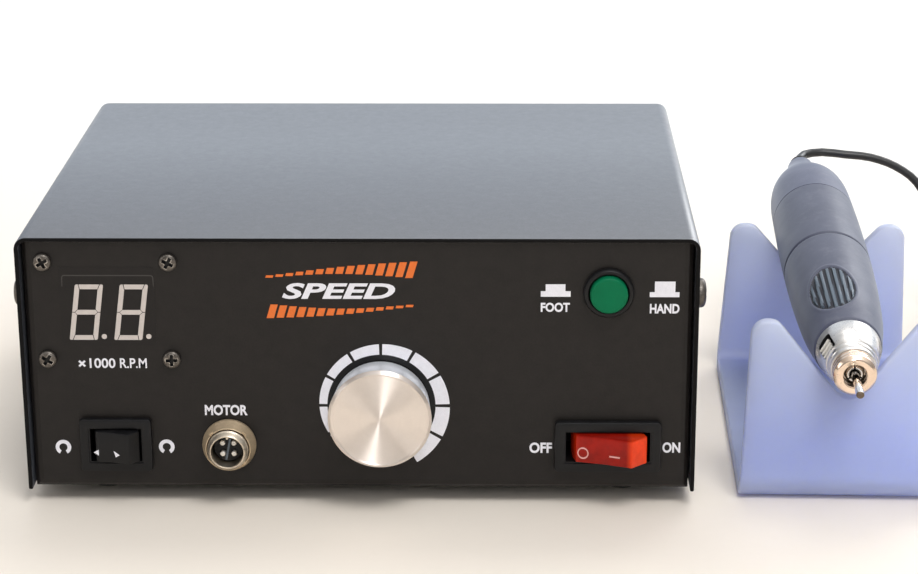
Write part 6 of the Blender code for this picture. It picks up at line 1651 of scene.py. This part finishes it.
def make_button():
    """Round bezel and sprung green cap."""
    place = FRONT @ at(0.0717, 0.0611)
    housing = [(0, -0.0160), (0.0062, -0.0160), (0.0062, FIT_GAP), (0.0073, FIT_GAP), (0.0073, 0.0014),
               (0.0068, 0.0022), (0.0059, 0.0022), (0.0057, 0.0020), (0.0057, -0.0038), (0.0035, -0.0038),
               (0.0035, -0.0118), (0, -0.0118)]
    mesh = lathed(soften(housing, 0.0002, 2), ROUND, place)
    mount(build("button_bezel", mesh, material("black")), "control_unit", "black_plastic", "mode_button_housing")
    cap = [(0, -0.0090), (0.0032, -0.0090), (0.0032, -0.0010), (0.0054, -0.0010), (0.0054, 0.0033),
           (0.00515, 0.0038), (0.0047, 0.0040), (0.0040, 0.00396), (0, 0.00388)]
    mesh = lathed(soften(cap, 0.0003, 3), ROUND, place)
    mount(build("button_cap", mesh, material("green")), "mode_button", "green", "mode_button_cap")


class MICROMOTOR_OT_switches(bpy.types.Operator):
    """Power switch, direction switch and button"""
    bl_idname = "micromotor.switches"
    bl_label = "Switches and button"

    def execute(self, context):
        make_switch(POWER)
        make_switch(DIRECTION)
        make_rocker_marks()
        make_button()
        return {'FINISHED'}


# Speed knob and motor socket
class KnobSettings(bpy.types.PropertyGroup):
    face_radius: length("Face radius", "Radius of the knob's face", 0.0149)
    base_radius: length("Base radius", "Radius of the knob at the panel", 0.0140)
    lift: length("Lift", "Gap between the knob and the panel", 0.0006)
    height: length("Height", "Knob from its base to its rim", 0.0112)
    chamfer: length("Chamfer", "Bright bevel at the rim", 0.0010)


def make_knob(knob):
    """Solid turned knob: bright chamfer, dished face, dark groove at its base."""
    place = FRONT @ at(0.0064, 0.0262)
    top = knob.lift + knob.height
    face = top - 0.0002
    section = [(0, 0.0095), (0.0033, 0.0095), (0.0033, 0.0064), (0.0072, 0.0064), (0.0072, knob.lift),
               (knob.base_radius - 0.0004, knob.lift), (knob.base_radius, knob.lift + 0.0004),
               (knob.base_radius + 0.0001, knob.lift + 0.0020), (knob.face_radius, top - knob.chamfer),
               (knob.face_radius - knob.chamfer * 0.85, top), (knob.face_radius - knob.chamfer * 1.1, top),
               (knob.face_radius - knob.chamfer * 1.4, face), (0.0090, face - 0.00002), (0.0060, face - 0.00003),
               (0.0030, face - 0.00002), (0, face)]
    mesh = lathed(soften(section, 0.00012, 2), ROUND * 2, place)
    inverse = place.inverted()
    for face in mesh.faces:
        spot = inverse @ face.calc_center_median()
        if math.hypot(spot.x, spot.y) > knob.base_radius - 0.0006 and spot.z < top - knob.chamfer:
            face.material_index = 1
    made = build("knob", mesh, material("knob"))
    made.data.materials.append(material("knob_side"))
    mount(made, "speed_knob", "knob", "speed_knob")
    # Painted shadow: a black ring printed on the panel round the knob's base.
    mesh = bmesh.new()
    arc_band(mesh, 0.0130, 0.0156, 0, 180, (0.0064, 0.0262), SMALL)
    arc_band(mesh, 0.0130, 0.0156, 180, 360, (0.0064, 0.0262), SMALL)
    mount(build("knob_shadow_ring", mesh, material("black")), "control_unit", "chassis")


def make_socket():
    """Threaded shell, notched ring nut, insert with a raised rib that stands for its groove, coloured as a painted
    highlight, four pins.
    """
    place = FRONT @ at(-0.0381, 0.0142)
    shell = [(0.00465, -0.0105), (0.0059, -0.0105), (0.0059, -0.0035), (0.0076, -0.0035), (0.0076, -0.0015),
             (0.0059, -0.0015), (0.0059, 0.0050)]
    for index in range(3):
        low = 0.0050 + index * 0.00033
        shell += [(0.00575, low + 0.00008), (0.0059, low + 0.00022)]
    shell += [(0.0057, 0.0061), (0.0053, 0.0070), (0.0050, 0.0073), (0.0048, 0.0073), (0.00465, 0.0071)]
    mesh = lathed(shell, ROUND, place)
    made = build("socket_barrel", mesh, material("nickel"))
    key = bmesh.new()
    outline_plate(key, [(-0.00085, 0.0053), (0.00085, 0.0053), (0.0002, 0.00375), (-0.0002, 0.00375)], 0.0021, 0.0064,
                  place)
    carve(made, key, 'UNION')
    mount(made, "control_unit", "nickel", "motor_socket_shell")
    ring = [(0.0062, FIT_GAP), (0.0077, FIT_GAP), (0.00785, 0.0006), (0.00785, 0.0016), (0.0076, 0.0022),
            (0.0067, 0.0046), (0.0065, 0.0050), (0.0063, 0.0050), (0.0062, 0.0048)]
    mesh = lathed(soften(ring, 0.00018, 3), ROUND, place)
    made = build("socket_ring", mesh, material("ring_nut_painted_warm_reflection"))
    for quarter in range(4):
        notch = bmesh.new()
        box(notch, (-0.0007, 0.0058, 0.0041), (0.0007, 0.0076, 0.0060), place @ turn_z(math.radians(45 + 90 * quarter)))
        carve(made, notch)
    mount(made, "control_unit", "nickel", "motor_socket_ring_nut")
    core = [(0, -0.0105), (0.00435, -0.0105), (0.00435, 0.0028), (0.00415, 0.0030), (0, 0.0030)]
    made = build("socket_insert", lathed(core, MEDIUM, place), material("black"))
    holes = bmesh.new()
    for across in (-0.00165, 0.00165):
        for up in (-0.00165, 0.00165):
            lathe(holes, [(0, -0.012), (0.0010, -0.012), (0.0010, 0.004), (0, 0.004)], 20, at(across, up))
    carve(made, holes, matrix=place)
    mount(made, "control_unit", "black_plastic", "motor_socket_insert")
    # A raised rib in the lighter rib finish: painted highlight along the insert's groove.
    rib = bmesh.new()
    box(rib, (-0.00032, -0.0040, 0.0029), (0.00032, 0.0038, 0.0033), place @ turn_z(math.radians(-12)))
    mount(build("socket_rib", rib, material("rib"), bevel=0.0001), "control_unit", "black_plastic")
    pin = [(0, -0.0145), (0.0007, -0.0145), (0.0007, 0.0034), (0.00078, 0.0036), (0.00078, 0.0040), (0.0006, 0.0042),
           (0, 0.0042)]
    spots = [(x, y) for y in (0.00165, -0.00165) for x in (-0.00165, 0.00165)]
    for index, (x, y) in enumerate(spots, 1):
        mesh = lathed(soften(pin, 0.0002, 3), SMALL, place @ at(x, y))
        mount(build(f"socket_contact_{index}", mesh, material("pin")), "control_unit", "nickel",
              f"motor_socket_pin_{index}")


class MICROMOTOR_OT_knob_and_socket(bpy.types.Operator):
    """Speed knob and motor socket"""
    bl_idname = "micromotor.knob_and_socket"
    bl_label = "Knob and motor socket"

    def execute(self, context):
        make_knob(context.scene.micromotor_knob)
        make_socket()
        return {'FINISHED'}


# Rear panel
INLET_PLACE = (0.0619, 0.024)
FUSE_PLACE = (0.0619, 0.055)
FOOT_SOCKET_PLACE = (-0.0659, 0.024)


def make_inlet():
    """Mains inlet: flange, mouth with two cut corners, three flat pins."""
    place = REAR @ at(*INLET_PLACE)
    mesh = bmesh.new()
    slab(mesh, 0.0310, 0.0240, FIT_GAP, 0.0025, 0.0022, 5, place)
    made = build("inlet_body", mesh, material("black"), bevel=0.0004)
    mesh = bmesh.new()
    slab(mesh, 0.0272, 0.0198, -0.0190, 0.0012, 0.0008, 3, place)
    carve(made, mesh, 'UNION')
    half_x = 0.0121
    half_y = 0.0084
    cut = 0.0045
    mouth = [(-half_x, -half_y, 0.0015), (half_x, -half_y, 0.0015), (half_x, half_y - cut, 0.0008),
             (half_x - cut, half_y, 0.0008), (-half_x + cut, half_y, 0.0008), (-half_x, half_y - cut, 0.0008)]
    mesh = bmesh.new()
    outline_plate(mesh, filleted(mouth, 4), -0.0140, 0.004, place)
    carve(made, mesh)
    mount(made, "control_unit", "black_plastic", "power_inlet")
    mesh = bmesh.new()
    for across, rise in ((-0.0070, -0.0020), (0, 0.0020), (0.0070, -0.0020)):
        box(mesh, (across - 0.0010, rise - 0.0020, -0.0145), (across + 0.0010, rise + 0.0020, -0.0035), place)
    mount(build("inlet_prongs", mesh, material("prong"), bevel=0.0005), "control_unit", "nickel")


def make_fuse_holder():
    place = REAR @ at(*FUSE_PLACE)
    section = [(0, -0.0280), (0.0060, -0.0280), (0.0060, FIT_GAP), (0.0078, FIT_GAP), (0.0078, 0.0018),
               (0.0074, 0.0022), (0.0060, 0.0022), (0.0058, 0.0026), (0.0058, 0.0068), (0.0053, 0.0074), (0, 0.0074)]
    mesh = lathed(soften(section, 0.0003, 3), ROUND * 2, place)
    flute(mesh.verts, place, 32, 0.00035, 0.0030, 0.0066, 0.0052)
    made = build("fuse_cap", mesh, material("black"))
    slot = bmesh.new()
    box(slot, (-0.0045, -0.0006, 0.0060), (0.0045, 0.0006, 0.0090), place)
    carve(made, slot)
    mount(made, "control_unit", "black_plastic", "fuse_holder")


def make_foot_socket():
    """Round socket for the foot control."""
    place = REAR @ at(*FOOT_SOCKET_PLACE)
    section = [(0, -0.0215), (0.0085, -0.0215), (0.0085, -0.0015), (0.0055, -0.0015), (0.0055, FIT_GAP),
               (0.0072, FIT_GAP), (0.0075, 0.0006), (0.0075, 0.0022), (0.0072, 0.0025), (0.0056, 0.0025),
               (0.00535, 0.0028), (0.0055, 0.0030), (0.00535, 0.0032), (0.0052, 0.0035), (0.0036, 0.0035),
               (0.0033, 0.0032), (0.0033, -0.0200), (0, -0.0200)]
    mesh = lathed(section, ROUND, place)
    flute(mesh.verts, place, 24, 0.00030, 0.0005, 0.0023, 0.0070)
    mount(build("foot_control_jack", mesh, material("rear_nickel")), "control_unit", "nickel",
          "foot_control_socket")


def make_rear_words():
    mesh = bmesh.new()
    for text, x, z, wide in (("AC IN", 0.0619, 0.0400, 0.0100), ("FUSE", 0.0619, 0.0660, 0.0088),
                             ("FOOT CONTROL", -0.0659, 0.0365, 0.0230)):
        lettering(mesh, text, wide, 0.0026, REAR @ at(x, z), 0.02)
    mount(build("rear_print", mesh, material("legend")), "control_unit", "chassis")


class MICROMOTOR_OT_rear_panel(bpy.types.Operator):
    """Mains inlet, fuse holder and foot control socket"""
    bl_idname = "micromotor.rear_panel"
    bl_label = "Rear panel"

    def execute(self, context):
        make_inlet()
        make_fuse_holder()
        make_foot_socket()
        make_rear_words()
        return {'FINISHED'}


# Handpiece
GRIP_STATIONS = (0.0160, 0.0221, 0.0360, 0.0580, 0.0799, 0.1061, 0.1280, 0.1400, 0.1460, 0.1500, 0.1540, 0.1581,
                 0.1630, 0.1680, 0.1730, 0.1770, 0.1796)
GRIP_RADII = (0.00933, 0.01025, 0.0120, 0.0132, 0.0137, 0.0138, 0.01355, 0.0133, 0.0128, 0.0122, 0.0112, 0.0099,
              0.0083, 0.0068, 0.0054, 0.0047, 0.0044)


class HandpieceSettings(bpy.types.PropertyGroup):
    seam: length("Seam", "Where the two grips meet, from the front", 0.080)
    cap_seam: length("Cap seam", "Where the rear cap starts, from the front", 0.1255)
    nose_end: length("Nose end", "Where the front grip starts, from the front", 0.0192)
    pad_middle: length("Pad place", "Middle of the ribbed pad, from the front", 0.040)
    pad_length: length("Pad length", "Ribbed pad along the handpiece", 0.027)
    pad_width: length("Pad width", "Ribbed pad round the handpiece", 0.015)
    pad_depth: length("Pad depth", "How deep the pad is pressed in", 0.0007)
    rib_pitch: length("Rib pitch", "Distance between ribs of the pad", 0.0020)
    pad_turn: bpy.props.FloatProperty(name="Pad turn", description="Pad turned from the top",
                                      default=math.radians(17), subtype='ANGLE')


def grip_outline(start, end, spacing):
    """Smooth (radius, station) points of the grips' outside between two stations."""
    knots = [Vector((radius, station, 0)) for radius, station in zip(GRIP_RADII, GRIP_STATIONS)]
    route = smooth_route(knots, 0.0004)
    points = []
    last = None
    for point in route:
        if start <= point.y <= end and (last is None or point.y - last >= spacing):
            points.append((point.x, point.y))
            last = point.y
    return points


def grip_radius(station):
    route = grip_outline(station - 0.0006, station + 0.0006, 0.0)
    return min(route, key=lambda point: abs(point[1] - station))[0]


def pad_depth_at(hand, across, along):
    """How far the pad's surface lies below the grip: a soft recess with slanted ribs."""
    reach = math.hypot(across / (hand.pad_width / 2), along / (hand.pad_length / 2))
    if reach > 1.12:
        return 0.0
    if reach > 1.0:
        return -0.00012 * math.sin((reach - 1.0) / 0.12 * math.pi)
    edge = min(1.0, (1.0 - reach) / 0.07)
    depth = hand.pad_depth * edge * edge * (3 - 2 * edge)
    ribs = min(1.0, max(0.0, (0.95 - reach) / 0.05))
    wave = 0.5 + 0.5 * math.cos(2 * math.pi * across / hand.rib_pitch)
    rise = min(1.0, max(0.0, (wave - 0.22) / 0.40))
    return depth - hand.pad_depth * 1.15 * ribs * rise * rise * (3 - 2 * rise)


def pad_place(hand, place):
    """Distance round and along from the pad's middle, for a point in the handpiece's frame."""
    radius = math.hypot(place.x, place.y)
    angle = math.atan2(place.x, -place.y) - hand.pad_turn * -1.0
    angle = (angle + math.pi) % (2 * math.pi) - math.pi
    return angle * radius, place.z - hand.pad_middle, radius


def press_pad(hand, mesh):
    """Press the ribbed pad into the front grip's outside, and give its ribs the second material, a painted highlight,
    and its grooves the third, painted shade.
    """
    inverse = HAND.inverted()
    for vert in mesh.verts:
        place = inverse @ vert.co
        if place.z < 0.018 or place.z > 0.062 or math.hypot(place.x, place.y) < 0.0092:
            continue
        across, along, radius = pad_place(hand, place)
        depth = pad_depth_at(hand, across, along)
        if depth:
            share = 1 - depth / radius
            vert.co = HAND @ Vector((place.x * share, place.y * share, place.z))
    for face in mesh.faces:
        place = inverse @ face.calc_center_median()
        across, along, radius = pad_place(hand, place)
        reach = math.hypot(across / (hand.pad_width / 2), along / (hand.pad_length / 2))
        if radius > 0.0092 and reach < 0.97:
            face.material_index = 1 if pad_depth_at(hand, across, along) < hand.pad_depth * 0.4 else 2


def make_grips(hand):
    """Front grip with its ribbed pad, and rear grip, with a fine seam between them."""
    front_end = hand.seam - FIT_GAP / 2
    rear_start = hand.seam + FIT_GAP / 2
    outer = grip_outline(hand.nose_end + 0.0004, front_end - 0.0012, 0.0004)
    first = grip_radius(hand.nose_end + 0.0004)
    joint = grip_radius(hand.seam)
    section = ([(0.0077, hand.nose_end), (first - 0.0007, hand.nose_end), (first - 0.0003, hand.nose_end + 0.0001)]
               + outer
               + [(joint, front_end - 0.0008), (joint - 0.0002, front_end - 0.0005), (joint - 0.0009, front_end),
                  (0.0113, front_end), (0.0113, 0.0375), (0.0077, 0.0360)])
    mesh = lathed(section, ROUND * 3, HAND)
    bmesh.ops.recalc_face_normals(mesh, faces=mesh.faces)
    press_pad(hand, mesh)
    grip = build("grip_front", mesh, material("grip"), sharp=math.radians(60))
    grip.data.materials.append(material("rib"))
    grip.data.materials.append(material("groove"))
    mount(grip, "handpiece", "grip", "front_grip")
    outer = grip_outline(rear_start + 0.0012, hand.cap_seam - 0.0005, 0.0006)
    ring = grip_radius(hand.cap_seam)
    outer += [(ring, hand.cap_seam - 0.0003), (ring - 0.0004, hand.cap_seam - 0.0001),
              (ring - 0.0004, hand.cap_seam + 0.0001), (ring, hand.cap_seam + 0.0003)]
    outer += grip_outline(hand.cap_seam + 0.0005, 0.1792, 0.0006)
    section = ([(0.0113, rear_start), (joint - 0.0009, rear_start), (joint - 0.0002, rear_start + 0.0005),
                (joint, rear_start + 0.0008)] + outer
               + [(0.0042, 0.1796), (0.0036, 0.1796), (0.0035, 0.1794), (0.0035, 0.1715), (0.0048, 0.1660),
                  (0.0070, 0.1600), (0.0096, 0.1545), (0.0113, 0.1505)])
    mesh = lathed(section, ROUND * 2, HAND)
    inverse = HAND.inverted()
    # The rear cap's faces take the lighter cap finish, partly painted light.
    for face in mesh.faces:
        if (inverse @ face.calc_center_median()).z > hand.cap_seam:
            face.material_index = 1
    grip = build("grip_rear", mesh, material("grip"), sharp=math.radians(60))
    grip.data.materials.append(material("cap"))
    mount(grip, "handpiece", "grip", "rear_grip")


def make_nose(hand):
    """Smooth cone behind two fine rings, and an index window with bright bars."""
    back = hand.nose_end - 0.0003
    section = [(0.0044, 0.0053), (0.0064, 0.0053), (0.0066, 0.0055), (0.0068, 0.0066), (0.0066, 0.0068),
               (0.0066, 0.0071), (0.0069, 0.0073), (0.0073, 0.0084), (0.0071, 0.0086), (0.0071, 0.0089),
               (0.0075, 0.0091), (0.0080, 0.0108), (0.0087, 0.0138), (grip_radius(back) - 0.00015, back),
               (0.0074, back), (0.0074, 0.0340), (0.0063, 0.0340), (0.0063, 0.0222), (0.0044, 0.0222)]
    mesh = lathed(soften(section, 0.00012, 2), ROUND * 2, HAND)
    made = build("nose_cone", mesh, material("nose"))
    turn = turn_z(math.radians(-62))
    window = bmesh.new()
    slab(window, 0.0056, 0.0066, -0.0035, 0.0035, 0.0006, 4,
         turn @ at(0, -0.0099, 0.0128) @ Matrix.Rotation(math.radians(90), 4, 'X'))
    # The window's walls take the black finish: painted shade in the opening.
    carve(made, window, matrix=HAND, inner=material("black"))
    mount(made, "handpiece", "nose", "nose_housing")
    bars = bmesh.new()
    for index in range(3):
        along = 0.0108 + index * 0.0018
        spot = turn @ at(0, -0.0075 - (along - 0.0108) * 0.23, along)
        box(bars, (-0.0028, -0.0002, -0.0003), (0.0016, 0.0009, 0.0003), HAND @ spot)
    mount(build("index_marks", bars, material("pin"), bevel=0.0001), "handpiece", "nose")


def make_lock_ring():
    """Lock ring with a flared mouth and two fine grooves."""
    section = [(0.0034, 0.0003), (0.0037, 0.0), (0.0050, 0.0), (0.0054, 0.0002), (0.0062, 0.0010),
               (0.0063, 0.0014), (0.0063, 0.0020), (0.0061, 0.0022), (0.0061, 0.0025), (0.0063, 0.0027),
               (0.0063, 0.0038), (0.0061, 0.0040), (0.0061, 0.0043), (0.0063, 0.0045), (0.0062, 0.0050),
               (0.0048, 0.0050), (0.0048, 0.0024), (0.0034, 0.0024)]
    mesh = lathed(soften(section, 0.00012, 2), ROUND * 2, HAND)
    mount(build("lock_collar", mesh, material("collar")), "lock_ring", "nose", "lock_ring")


def make_chuck():
    """Slotted collet and the bur's plain shank."""
    collet = [(0.00148, 0.0017), (0.00178, 0.0014), (0.0022, 0.0014), (0.0027, 0.0020), (0.0027, 0.0260),
              (0.00148, 0.0260)]
    made = build("collet_jaws", lathed(soften(collet, 0.0001, 2), MEDIUM, HAND), material("tool"))
    for third in range(3):
        slot = bmesh.new()
        box(slot, (0, -0.00025, 0.0), (0.004, 0.00025, 0.0124),
            HAND @ turn_z(2 * math.pi * third / 3 + math.pi / 7))
        carve(made, slot)
    mount(made, "collet", "tool_steel", "collet")
    shank = [(0, -0.0130), (0.00055, -0.0130), (0.00095, -0.0128), (0.001175, -0.0124), (0.001175, 0.0271),
             (0.00080, 0.0275), (0, 0.0275)]
    mesh = lathed(soften(shank, 0.0002, 3), MEDIUM, HAND)
    inverse = HAND.inverted()
    for face in mesh.faces:
        if (inverse @ face.calc_center_median()).z < -0.0125:
            face.material_index = 1
    made = build("bur_shank", mesh, material("bur"))
    made.data.materials.append(material("tip"))
    mount(made, "bur", "tool_steel", "bur")


class MICROMOTOR_OT_handpiece(bpy.types.Operator):
    """Grips, nose, lock ring, collet and bur"""
    bl_idname = "micromotor.handpiece"
    bl_label = "Handpiece"

    def execute(self, context):
        make_grips(context.scene.micromotor_handpiece)
        make_nose(context.scene.micromotor_handpiece)
        make_lock_ring()
        make_chuck()
        return {'FINISHED'}


# Cradle
class CradleSettings(bpy.types.PropertyGroup):
    length: length("Length", "Cradle from front to rear at the table", 0.119)
    sheet: length("Sheet", "Thickness of the cradle", 0.004)
    height: length("Height", "Top of the lobes above the table", 0.053)
    half_width: length("Half width", "Half the width at the table", 0.0312)
    top_half_width: length("Top half width", "Half the width at the lobes", 0.0282)
    bend: length("Bend", "Outer radius of the folds", 0.007)
    lobe: length("Lobe radius", "Rounding of the lobes", 0.0047)
    notch_height: length("Notch height", "Bottom of the notch above the table", 0.0282)
    notch: length("Notch radius", "Rounding of the notch", 0.005)
    lean: bpy.props.FloatProperty(name="Lean", description="Lean of the ends", default=math.radians(10.5),
                                  subtype='ANGLE')
    notch_angle: bpy.props.FloatProperty(name="Notch angle", description="Half the opening of the notch",
                                         default=math.radians(40), subtype='ANGLE')


def make_cradle(cradle):
    """One sheet bent up at both ends, each end cut to two lobes and a notch, its edges eased."""
    lean = math.tan(cradle.lean)
    across = cradle.sheet / math.cos(cradle.lean)
    top = cradle.height
    long = cradle.length
    low = lean * cradle.sheet + across
    inner = cradle.bend - cradle.sheet
    profile = filleted([
        (lean * top, top, 0), (0, 0, cradle.bend), (long, 0, cradle.bend), (long - lean * top, top, 0),
        (long - lean * top - across, top, 0), (long - low, cradle.sheet, inner), (low, cradle.sheet, inner),
        (lean * top + across, top, 0)], 14)
    sideways = Matrix(((0, 0, 1, 0), (1, 0, 0, 0), (0, 1, 0, 0), (0, 0, 0, 1)))
    reach = cradle.half_width + 0.002
    mesh = bmesh.new()
    outline_plate(mesh, profile, -reach, reach, STAND @ sideways)
    made = build("cradle_sheet", mesh, material("cradle"))
    flank = (top - cradle.notch_height) * math.tan(cradle.notch_angle)
    front_view = filleted([
        (-cradle.half_width, 0, 0), (cradle.half_width, 0, 0), (cradle.top_half_width, top, cradle.lobe),
        (flank, top, cradle.lobe), (0, cradle.notch_height, cradle.notch), (-flank, top, cradle.lobe),
        (-cradle.top_half_width, top, cradle.lobe)], 14)
    mesh = bmesh.new()
    outline_plate(mesh, front_view, -long - 0.002, 0.002, STAND @ UPRIGHT)
    carve(made, mesh, 'INTERSECT')
    edge = made.modifiers.new("edge", 'BEVEL')
    edge.width = 0.0006
    edge.segments = 3
    edge.limit_method = 'ANGLE'
    edge.angle_limit = math.radians(50)
    apply_modifiers(made)
    made.data.shade_smooth()
    made.data.set_sharp_from_angle(angle=math.radians(50))
    mount(made, "control_unit", "cradle", "cradle")


class MICROMOTOR_OT_cradle(bpy.types.Operator):
    """Cradle under the handpiece"""
    bl_idname = "micromotor.cradle"
    bl_label = "Cradle"

    def execute(self, context):
        make_cradle(context.scene.micromotor_cradle)
        return {'FINISHED'}


# Finishes of the CAD nodes that stay
KEPT_NODES = {
    "chassis": "panel", "display_board": "board", "main_board": "board", "power_transformer": "laminated",
    "heat_sink": "sink", "potentiometer": "pot", "potentiometer_nut": "pot", "potentiometer_shaft": "pot",
    "mode_button_nut": "pot", "motor_sleeve": "sleeve", "stator": "copper", "rotor": "laminated",
    "spindle": "tool", "front_bearing": "sleeve", "rear_bearing": "sleeve",
}


class MICROMOTOR_OT_inner_finishes(bpy.types.Operator):
    """Finishes of the chassis, the electronics and the motor"""
    bl_idname = "micromotor.inner_finishes"
    bl_label = "Inner finishes"

    def execute(self, context):
        for node, key in KEPT_NODES.items():
            slots = bpy.data.objects[node].material_slots
            for slot in slots:
                slot.material = material(key)
        return {'FINISHED'}


SETTINGS = {
    "micromotor_colours": MicromotorColours,
    "micromotor_stage": StageSettings,
    "micromotor_cord": CordSettings,
    "micromotor_unit": UnitSettings,
    "micromotor_print": PrintSettings,
    "micromotor_knob": KnobSettings,
    "micromotor_handpiece": HandpieceSettings,
    "micromotor_cradle": CradleSettings,
}
OPERATORS = (MICROMOTOR_OT_stage, MICROMOTOR_OT_cord, MICROMOTOR_OT_case, MICROMOTOR_OT_panel_print,
             MICROMOTOR_OT_switches, MICROMOTOR_OT_knob_and_socket, MICROMOTOR_OT_rear_panel,
             MICROMOTOR_OT_handpiece, MICROMOTOR_OT_cradle, MICROMOTOR_OT_inner_finishes)


class MICROMOTOR_PT_pieces(bpy.types.Panel):
    """Sizes and colours of the micromotor, and a button for each group of pieces"""
    bl_label = "Micromotor"
    bl_idname = "MICROMOTOR_PT_pieces"
    bl_space_type = 'VIEW_3D'
    bl_region_type = 'UI'
    bl_category = "Micromotor"

    def draw(self, context):
        for name, kind in SETTINGS.items():
            column = self.layout.column(align=True)
            for label in kind.__annotations__:
                column.prop(getattr(context.scene, name), label)
        for kind in OPERATORS:
            self.layout.operator(kind.bl_idname)


def register():
    for kind in (*SETTINGS.values(), *OPERATORS, MICROMOTOR_PT_pieces):
        bpy.utils.register_class(kind)
    for name, kind in SETTINGS.items():
        setattr(bpy.types.Scene, name, bpy.props.PointerProperty(type=kind))


def unregister():
    for name in SETTINGS:
        delattr(bpy.types.Scene, name)
    for kind in (MICROMOTOR_PT_pieces, *reversed(OPERATORS), *reversed(SETTINGS.values())):
        bpy.utils.unregister_class(kind)


def main():
    register()
    bpy.ops.micromotor.stage()
    bpy.ops.micromotor.cord()
    bpy.ops.micromotor.case()
    bpy.ops.micromotor.panel_print()
    bpy.ops.micromotor.switches()
    bpy.ops.micromotor.knob_and_socket()
    bpy.ops.micromotor.rear_panel()
    bpy.ops.micromotor.handpiece()
    bpy.ops.micromotor.cradle()
    bpy.ops.micromotor.inner_finishes()


if __name__ == "__main__":
    main()
